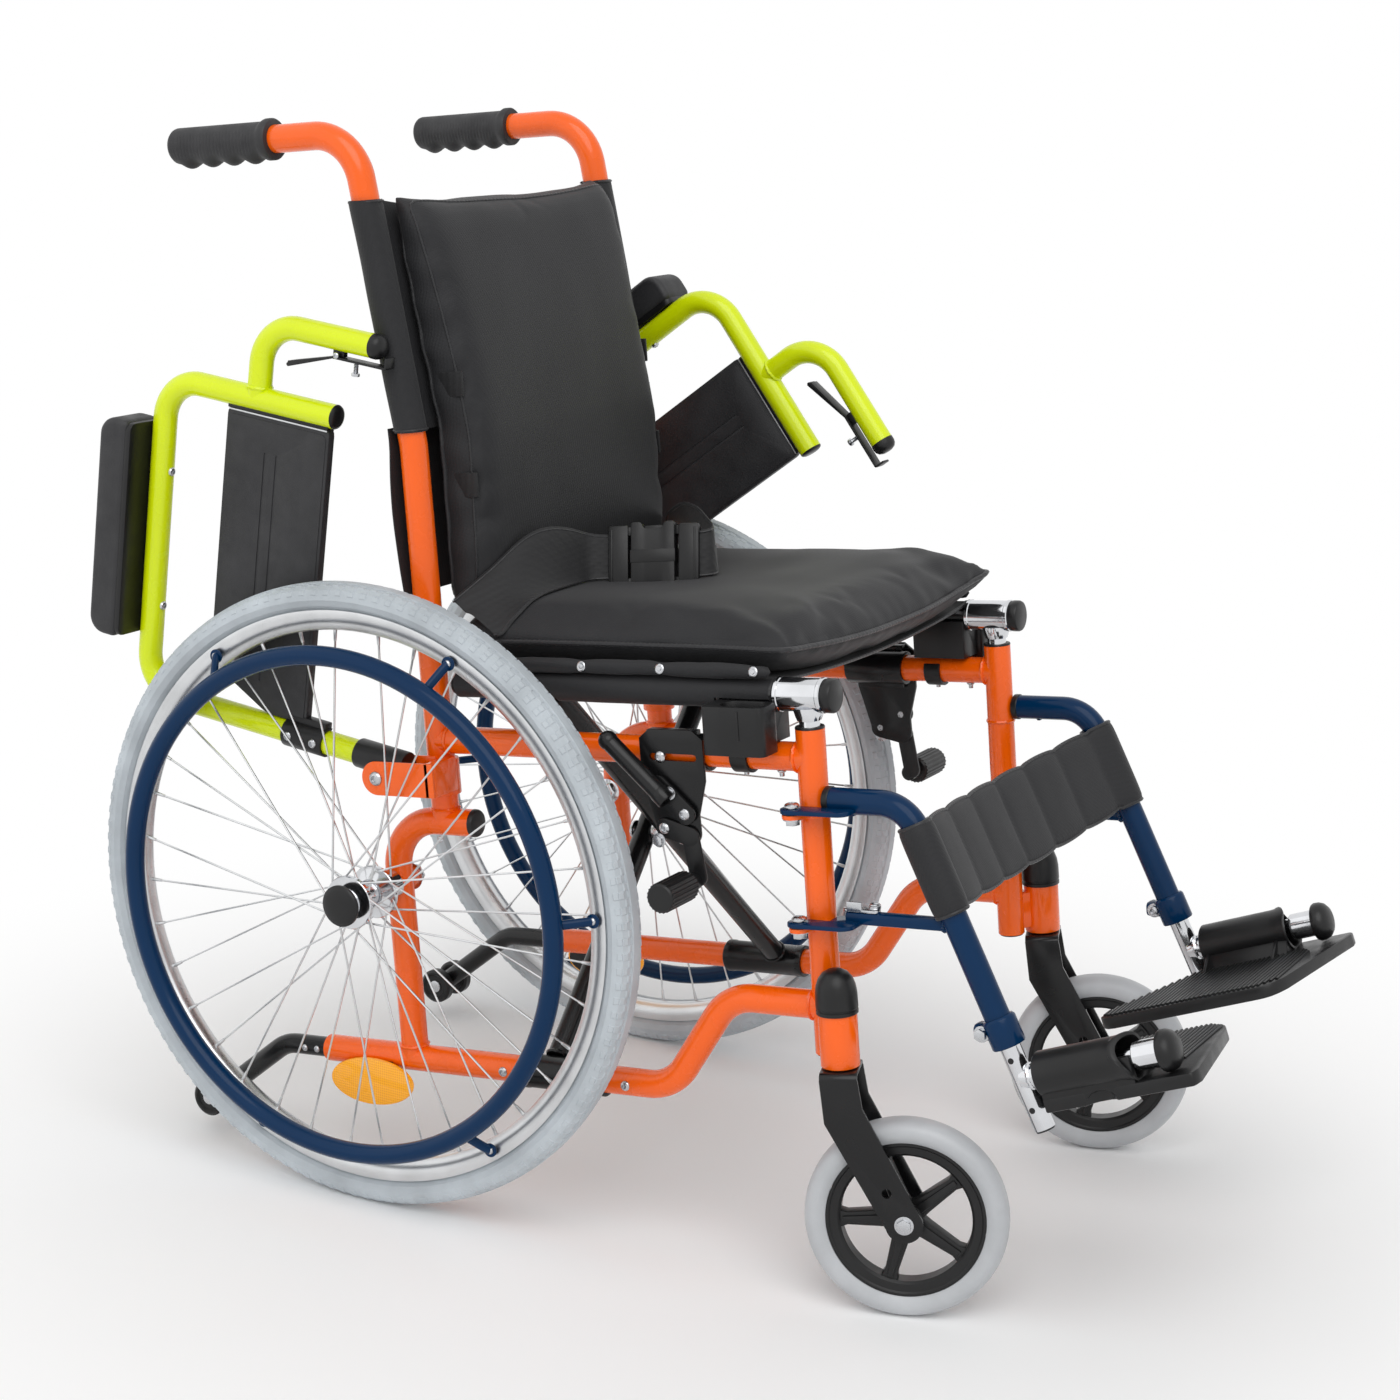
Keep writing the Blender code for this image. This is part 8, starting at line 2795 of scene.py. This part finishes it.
    def welts(self, tree: BVHTree) -> None:
        """Runs the welts along the pad's front edge and rear seam.

        Args:
            tree: The pad's surface.
        """
        form = Form()
        for share, radius in ((0.86, 0.0011), (0.06, 0.0019)):
            route = []
            for across, along in seam_places(40):
                spot = self.seam(across, along)
                spot.y -= self.fullness(along) * share
                centre = Vector((0, spot.y, (self.pad_low + self.high) / 2))
                outward = (spot - centre)
                outward.y = 0
                if share > 0.5:
                    outward = (outward.normalized() + Vector((0, -0.75, 0))).normalized()
                else:
                    outward.normalize()
                found = tree.ray_cast(spot + outward * 0.04, -outward)[0]
                route.append((found or spot) + outward * 0.0004)
            form.pipe(evened(route), radius, 8)
        self.pad_fold.give(form.piece("backrest_welts", self.body, PIPING))

    def tabs(self, tree: BVHTree) -> None:
        """Sews the two fastening tabs on each edge of the pad.

        Args:
            tree: The pad's surface.
        """
        form = Form()
        for side in Side:
            for along in (0.08, -0.42):
                up = self.pad_low + (self.high - self.pad_low) * (along + 1) / 2
                start = side.at(0.20, CHAIR.back_ahead(up) + self.gap + self.fullness(along) * 0.5, up)
                found = tree.ray_cast(start, side.at(-1, 0, 0))[0] or start
                size = Vector((0.0016, self.fullness(along) * 0.36, 0.011))
                form.block(found - size, found + size, 0.0009)
        self.pad_fold.give(form.piece("backrest_tabs", self.body, WEBBING))

    def build(self) -> None:
        """Makes the backrest."""
        self.cloth()
        self.pad()


@dataclass
class CalfStrap:
    """The quilted strap round both legrests, with bound edges."""

    height: float = 0.078
    channels: int = 6
    sag: float = 0.026
    thick: float = 0.0095
    along: float = 0.0575
    body: str = "legrest_right"
    fold: Fold = Fold(half=CHAIR.leg_out, keep=0.266)

    def build(self) -> None:
        """Quilts the strap, and binds its edges."""
        section = sleeved(CHAIR.leg_out, radius=0.0138, attach=0.006, sag=self.sag, leave=125, hem=0.030)
        fine = []
        for before, after in zip(section, section[1:]):
            steps = max(1, round((Vector(after) - Vector(before)).length / 0.0045))
            fine += [tuple(Vector(before).lerp(Vector(after), count / steps)) for count in range(steps)]
        fine.append(section[-1])
        ahead, up = CHAIR.leg(self.along)
        turn = Matrix.Rotation(-CHAIR.leg_slope, 4, "X")
        place = CHAIR.place @ Matrix.Translation((0, -ahead, up)) @ turn
        span = CHAIR.leg_out - 0.022

        def spot(u: float, v: float, way: float) -> Vector:
            """Place of a point of one face of the strap.

            Args:
                u: Its place along the strap, from 0 to 1.
                v: Its place over the strap's height, from 0 to 1.
                way: The face: 1 in front, -1 behind and 0 between them.

            Returns:
                The point in the strap's frame.
            """
            index = round(u * (len(fine) - 1))
            out, height = fine[index]
            before, after = fine[max(0, index - 1)], fine[min(len(fine) - 1, index + 1)]
            run_x, run_y = after[0] - before[0], after[1] - before[1]
            length = math.hypot(run_x, run_y)
            high = 2 * v - 1
            across = max(-1.0, min(1.0, out / span))
            quilt = abs(math.sin(math.pi * self.channels * (across + 1) / 2)) ** 0.55
            middle = abs(out) < span and height > 0.0058 - self.sag
            thick = 0.0036 + (self.thick - 0.0036) * quilt
            if not middle or index < 6 or index > len(fine) - 7:
                thick = 0.0044
            half = way * (0.0007 + (thick / 2 - 0.0007) * math.sqrt(max(0.0, 1 - high ** 6)))
            puff = 0.0006 * crease(Vector((out, height, v * 0.07)), 40)
            drop = -0.0035 * max(0.0, 1 - across ** 2) * (1 - v)
            if middle:
                drop += 0.0022 * (1 - quilt) * (1 if high < 0 else -1) * abs(high)
            x = out - run_y / length * (half + puff * (1 if middle else 0))
            y = height + run_x / length * (half + puff * (1 if middle else 0))
            return Vector((x, -y, high * self.height / 2 + drop))

        last = len(fine) - 1
        turn = max(index for index, point in enumerate(fine[: last // 2]) if point[0] > CHAIR.leg_out - 0.031)
        for name, body, start, end in (
            ("calf_loop_left", "legrest_left", 0, turn), ("calf_band", self.body, turn, last - turn),
            ("calf_loop_right", "legrest_right", last - turn, last),
        ):
            def place_at(u: float, v: float, way: float) -> Vector:
                """Place of a point of this stretch of the strap.

                Args:
                    u: Its place along the stretch, from 0 to 1.
                    v: Its place over the strap's height, from 0 to 1.
                    way: The face, as for spot.

                Returns:
                    The point in the strap's frame.
                """
                return spot((start + u * (end - start)) / last, v, way)

            form = surface(end - start, 16, lambda u, v: place_at(u, v, 1.0))
            merge(form, surface(end - start, 16, lambda u, v: place_at(u, v, -1.0)))
            bmesh.ops.bridge_loops(form, edges=[edge for edge in form.edges if edge.is_boundary])
            middle = name == "calf_band"
            piece = dress(to_mesh(form, place), name, body, NYLON, ("calf_strap",) if middle else (), 70)
            form = Form(place)
            for v in (0.0, 1.0):
                form.pipe([spot(index / last, v, 0.0) for index in range(start, end + 1)], 0.0017, 8)
            binding = form.piece(f"{name}_binding", body, PIPING)
            if middle:
                self.fold.give(piece)
                self.fold.give(binding)
            else:
                run(fine[start : end + 1])


@dataclass
class LapBelt:
    """The lap belt: two halves of webbing and the side-release buckle."""

    top: BVHTree
    width: float = 0.045
    length: float = 0.087
    height: float = 0.063
    hip: tuple[tuple, tuple] = ((0.172, 0.150, 0.246), (0.150, 0.104, 0.288))
    tail: tuple[tuple, tuple] = ((0.1960, 0.132, 0.230), (0.1930, 0.084, 0.262))
    spot: tuple[float, float] = (-0.033, -0.201)
    heading: tuple[float, float, float] = (0.30, -0.95, 0.0)
    facing: tuple[float, float, float] = (-0.87, -0.28, 0.28)
    body: str = "seat_right"
    fold: Fold = Fold()

    @property
    def place(self) -> Matrix:
        """Frame at the buckle's centre: X along the belt, Z out of its face.

        Returns:
            The frame, in the chassis frame.
        """
        crest = Seat.seam_up - Seat.sag + 0.0340
        along = Vector(self.heading).normalized()
        face = Vector(self.facing)
        rise = face.cross(along).normalized()
        face = along.cross(rise).normalized()
        turn = Matrix((along, rise, face)).transposed().to_4x4()
        return Matrix.Translation((*self.spot, crest + self.height / 2 - 0.004)) @ turn

    def half(self, side: Side) -> None:
        """Lays one half of the belt from the corner of the seat to the buckle.

        Args:
            side: The half's side.
        """
        way = side.value
        end = way * (self.length / 2 - 0.006)
        out = way * (self.length / 2 + 0.016)
        edges = []
        for corner, tail, sign in zip(self.hip, self.tail, (-1, 1)):
            hip, start = side.at(*corner), side.at(*tail)
            near = self.place @ Vector((out, sign * self.width / 2, 0))
            line = [start.lerp(hip, count / 4) for count in range(4)]
            for count in range(21):
                part = count / 20
                lift = Vector((0, 0, (0.020 if sign > 0 else 0.004) * math.sin(math.pi * part)))
                line.append(hip.lerp(near, part) + lift)
            line += [self.place @ Vector((out + (end - out) * part, sign * self.width / 2, 0)) for part in (0.5, 1.0)]
            for _ in range(3):
                line = [line[0]] + [(a + b * 2 + c) / 4 for a, b, c in zip(line, line[1:], line[2:])] + [line[-1]]
            edges.append(line)

        def spot(u: float, v: float) -> Vector:
            """Place of a point of the webbing.

            Args:
                u: Its place from the tail to the buckle, from 0 to 1.
                v: Its place over the belt's width, from 0 to 1.

            Returns:
                The chassis-frame point.
            """
            index = round(u * (len(edges[0]) - 1))
            place = edges[0][index].lerp(edges[1][index], v)
            cup = 0.0016 * (1 - (2 * v - 1) ** 2)
            place += Vector((0, 0, cup)) + Vector((0.3, -0.2, 1)) * 0.0008 * crease(place, 28)
            over = self.top.ray_cast(place + Vector((0, 0, 0.08)), Vector((0, 0, -1)), 0.2)[0]
            if over is not None:
                lie = max(0.0, 1 - 1.2 * v) * min(1.0, max(0.0, (0.93 - u) / 0.2))
                place.z += (over.z + 0.0022 - place.z) * lie
                place.z = max(place.z, over.z + 0.0022)
            return place

        mesh = worked(
            to_mesh(surface(len(edges[0]) - 1, 10, spot)),
            ("SOLIDIFY", {"thickness": 0.0022, "offset": 0}),
            ("SUBSURF", {"levels": 1, "render_levels": 1}),
        )
        piece = dress(mesh, f"belt_webbing_{side.tag}", self.body, WEBBING, (f"lap_belt_{side.tag}",), 60)
        length = run([tuple(spot(count / (len(edges[0]) - 1), 0.5)) for count in range(len(edges[0]))])
        self.fold.give(piece)
        form = Form()
        for v in (0.06, 0.94):
            route = [spot(count / (len(edges[0]) - 1), v) for count in range(len(edges[0]))]
            form.pipe([place + (self.place.to_3x3() @ Vector((0, 0, 1))) * 0.0008 for place in route], 0.0010, 6)
        self.fold.give(form.piece(f"belt_stitching_{side.tag}", self.body, PIPING))

    def buckle(self) -> None:
        """Moulds the buckle: notched body, two bars for the webbing and its ribs."""
        form = Form(CHAIR.place @ self.place)
        high = self.height / 2
        outline = [
            (-0.0205, -high), (-0.0110, -high), (-0.0085, -high + 0.0060), (0.0085, -high + 0.0060),
            (0.0110, -high), (0.0205, -high),
        ]
        outline += [
            (0.0205, high), (0.0110, high), (0.0085, high - 0.0060), (-0.0085, high - 0.0060), (-0.0110, high),
            (-0.0205, high),
        ]
        form.slab(eased(outline, 0.0028), 0.0165, Matrix(), 0.0012)
        for way in (-1, 1):
            start, end = way * 0.0232, way * 0.0425
            form.block((min(start, end), -high + 0.0022, -0.0060), (max(start, end), high - 0.0022, 0.0060), 0.0022)
            form.block((way * 0.020, -high + 0.004, -0.0044), (way * 0.030, -high + 0.012, 0.0044), 0.001)
            form.block((way * 0.020, high - 0.012, -0.0044), (way * 0.030, high - 0.004, 0.0044), 0.001)
            form.block((-0.0088, way * (high - 0.0084), -0.0052), (0.0088, way * (high - 0.0030), 0.0052), 0.0016)
            form.block((way * 0.0378, -high + 0.006, 0.0052), (way * 0.0400, high - 0.006, 0.0068), 0.0006)
        form.block((-0.021, -0.006, 0.0078), (0.021, 0.006, 0.0086), 0.0006)
        form.piece("belt_clip", "belt_buckle", PLASTIC, ("buckle",), 30)

    def build(self) -> None:
        """Makes both halves and the buckle."""
        for side in Side:
            self.half(side)
        self.buckle()


# Studio

@dataclass
class Studio:
    """Pale floor, white surroundings, soft lamps and the photograph's camera."""

    half: float = 6.0
    ambient: float = 0.62
    key: float = 1.15
    fill: float = 0.35
    eye: tuple[float, float, float] = (-2.2824, -1.2404, 1.0948)
    yaw: float = math.radians(60.876)
    pitch: float = math.radians(13.902)
    roll: float = math.radians(1.558)
    lens: float = 74.68

    def seen(self, tree: bpy.types.NodeTree) -> bpy.types.NodeSocket:
        """A value of 1 for the rays that look, mirror or pass through glass.

        Args:
            tree: The nodes it goes in.

        Returns:
            The value.
        """
        path = tree.nodes.new("ShaderNodeLightPath")
        value = path.outputs["Is Camera Ray"]
        for name in ("Is Glossy Ray", "Is Transmission Ray"):
            both = tree.nodes.new("ShaderNodeMath")
            both.operation = "MAXIMUM"
            tree.links.new(value, both.inputs[0])
            tree.links.new(path.outputs[name], both.inputs[1])
            value = both.outputs[0]
        return value

    def floor(self) -> None:
        """Lays the floor, which keeps the shadow near the chair and turns white further out."""
        shape = bmesh.new()
        spot = (CHAIR.hub.x, 0, CAD_BOX[0][2] - 0.0005)
        bmesh.ops.create_grid(shape, x_segments=2, y_segments=2, size=self.half, matrix=Matrix.Translation(spot))
        mesh = bpy.data.meshes.new("floor")
        shape.to_mesh(mesh)
        shape.free()
        made = bpy.data.materials.new("pale floor")
        made.use_nodes = True
        tree = made.node_tree
        shader = tree.nodes["Principled BSDF"]
        shader.inputs["Base Color"].default_value = (0.99, 0.99, 0.99, 1)
        shader.inputs["Roughness"].default_value = 0.9
        coords = tree.nodes.new("ShaderNodeTexCoord")
        reach = tree.nodes.new("ShaderNodeVectorMath")
        reach.operation = "LENGTH"
        tree.links.new(coords.outputs["Object"], reach.inputs[0])
        fade = tree.nodes.new("ShaderNodeMapRange")
        fade.interpolation_type = "SMOOTHSTEP"
        fade.inputs["From Min"].default_value = 0.45
        fade.inputs["From Max"].default_value = 1.15
        tree.links.new(reach.outputs["Value"], fade.inputs["Value"])
        share = tree.nodes.new("ShaderNodeMath")
        share.operation = "MULTIPLY"
        tree.links.new(fade.outputs["Result"], share.inputs[0])
        tree.links.new(self.seen(tree), share.inputs[1])
        white = tree.nodes.new("ShaderNodeEmission")
        white.inputs["Strength"].default_value = 1.0
        mix = tree.nodes.new("ShaderNodeMixShader")
        tree.links.new(share.outputs[0], mix.inputs["Fac"])
        tree.links.new(shader.outputs["BSDF"], mix.inputs[1])
        tree.links.new(white.outputs["Emission"], mix.inputs[2])
        tree.links.new(mix.outputs["Shader"], tree.nodes["Material Output"].inputs["Surface"])
        mesh.materials.append(made)
        floor = bpy.data.objects.new("floor", mesh)
        bpy.context.scene.collection.objects.link(floor)

    def surroundings(self) -> None:
        """Makes the world white where it is looked at and a plain soft light elsewhere."""
        world = bpy.data.worlds.new("studio")
        bpy.context.scene.world = world
        world.use_nodes = True
        tree = world.node_tree
        soft = tree.nodes["Background"]
        soft.inputs["Color"].default_value = (1, 1, 1, 1)
        soft.inputs["Strength"].default_value = self.ambient
        white = tree.nodes.new("ShaderNodeBackground")
        white.inputs["Color"].default_value = (1, 1, 1, 1)
        white.inputs["Strength"].default_value = 1.0
        mix = tree.nodes.new("ShaderNodeMixShader")
        tree.links.new(self.seen(tree), mix.inputs["Fac"])
        tree.links.new(soft.outputs["Background"], mix.inputs[1])
        tree.links.new(white.outputs["Background"], mix.inputs[2])
        tree.links.new(mix.outputs["Shader"], tree.nodes["World Output"].inputs["Surface"])

    def lamp(self, name: str, strength: float, spread: float, heading: tuple[float, float, float]) -> None:
        """Hangs one soft lamp.

        Args:
            name: The lamp's name.
            strength: Its strength.
            spread: How wide it is, in degrees.
            heading: Direction in which its light goes.
        """
        lamp = bpy.data.lights.new(name, "SUN")
        lamp.energy = strength
        lamp.angle = math.radians(spread)
        holder = bpy.data.objects.new(name, lamp)
        holder.matrix_world = Vector(heading).to_track_quat("-Z", "Y").to_matrix().to_4x4()
        bpy.context.scene.collection.objects.link(holder)

    def camera(self) -> None:
        """Stands the camera where the photograph was taken from."""
        yaw, pitch = self.yaw, self.pitch
        ahead = Vector((math.sin(yaw) * math.cos(pitch), math.cos(yaw) * math.cos(pitch), -math.sin(pitch)))
        level = Vector((math.cos(yaw), -math.sin(yaw), 0))
        above = level.cross(ahead)
        right = level * math.cos(self.roll) + above * math.sin(self.roll)
        top = above * math.cos(self.roll) - level * math.sin(self.roll)
        lens = bpy.data.cameras.new("camera")
        lens.lens = self.lens
        lens.sensor_width = 36
        holder = bpy.data.objects.new("camera", lens)
        turn = Matrix((right, top, -ahead)).transposed().to_4x4()
        holder.matrix_world = Matrix.Translation(self.eye) @ turn
        bpy.context.scene.collection.objects.link(holder)
        bpy.context.scene.camera = holder

    def build(self) -> None:
        """Sets up the floor, the light and the camera."""
        bpy.context.scene.view_settings.view_transform = "Standard"
        self.floor()
        self.surroundings()
        self.lamp("key lamp", self.key, 50, (0.55, 0.35, -0.75))
        self.lamp("fill lamp", self.fill, 80, (0.6, -0.7, -0.35))
        self.camera()
        LOG.info("studio: floor, light and camera set")


def main() -> None:
    """Builds the chair's sub-assemblies in order, then the studio."""
    logging.basicConfig(level=logging.INFO, format="%(name)s: %(message)s")
    kinds = (RearWheel, Caster, AntiTip, SideFrame, Grip, SeatGuide, Brake, Armrest, Legrest, Footplate)
    for kind in kinds:
        for side in Side:
            kind(side).build()
    CrossBrace("brace_a", Side.RIGHT, CHAIR.braces[0], True).build()
    CrossBrace("brace_b", Side.LEFT, CHAIR.braces[1], False).build()
    cushion = Seat().build()
    Backrest().build()
    CalfStrap().build()
    LapBelt(cushion).build()
    Studio().build()
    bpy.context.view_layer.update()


if __name__ == "__main__":
    main()
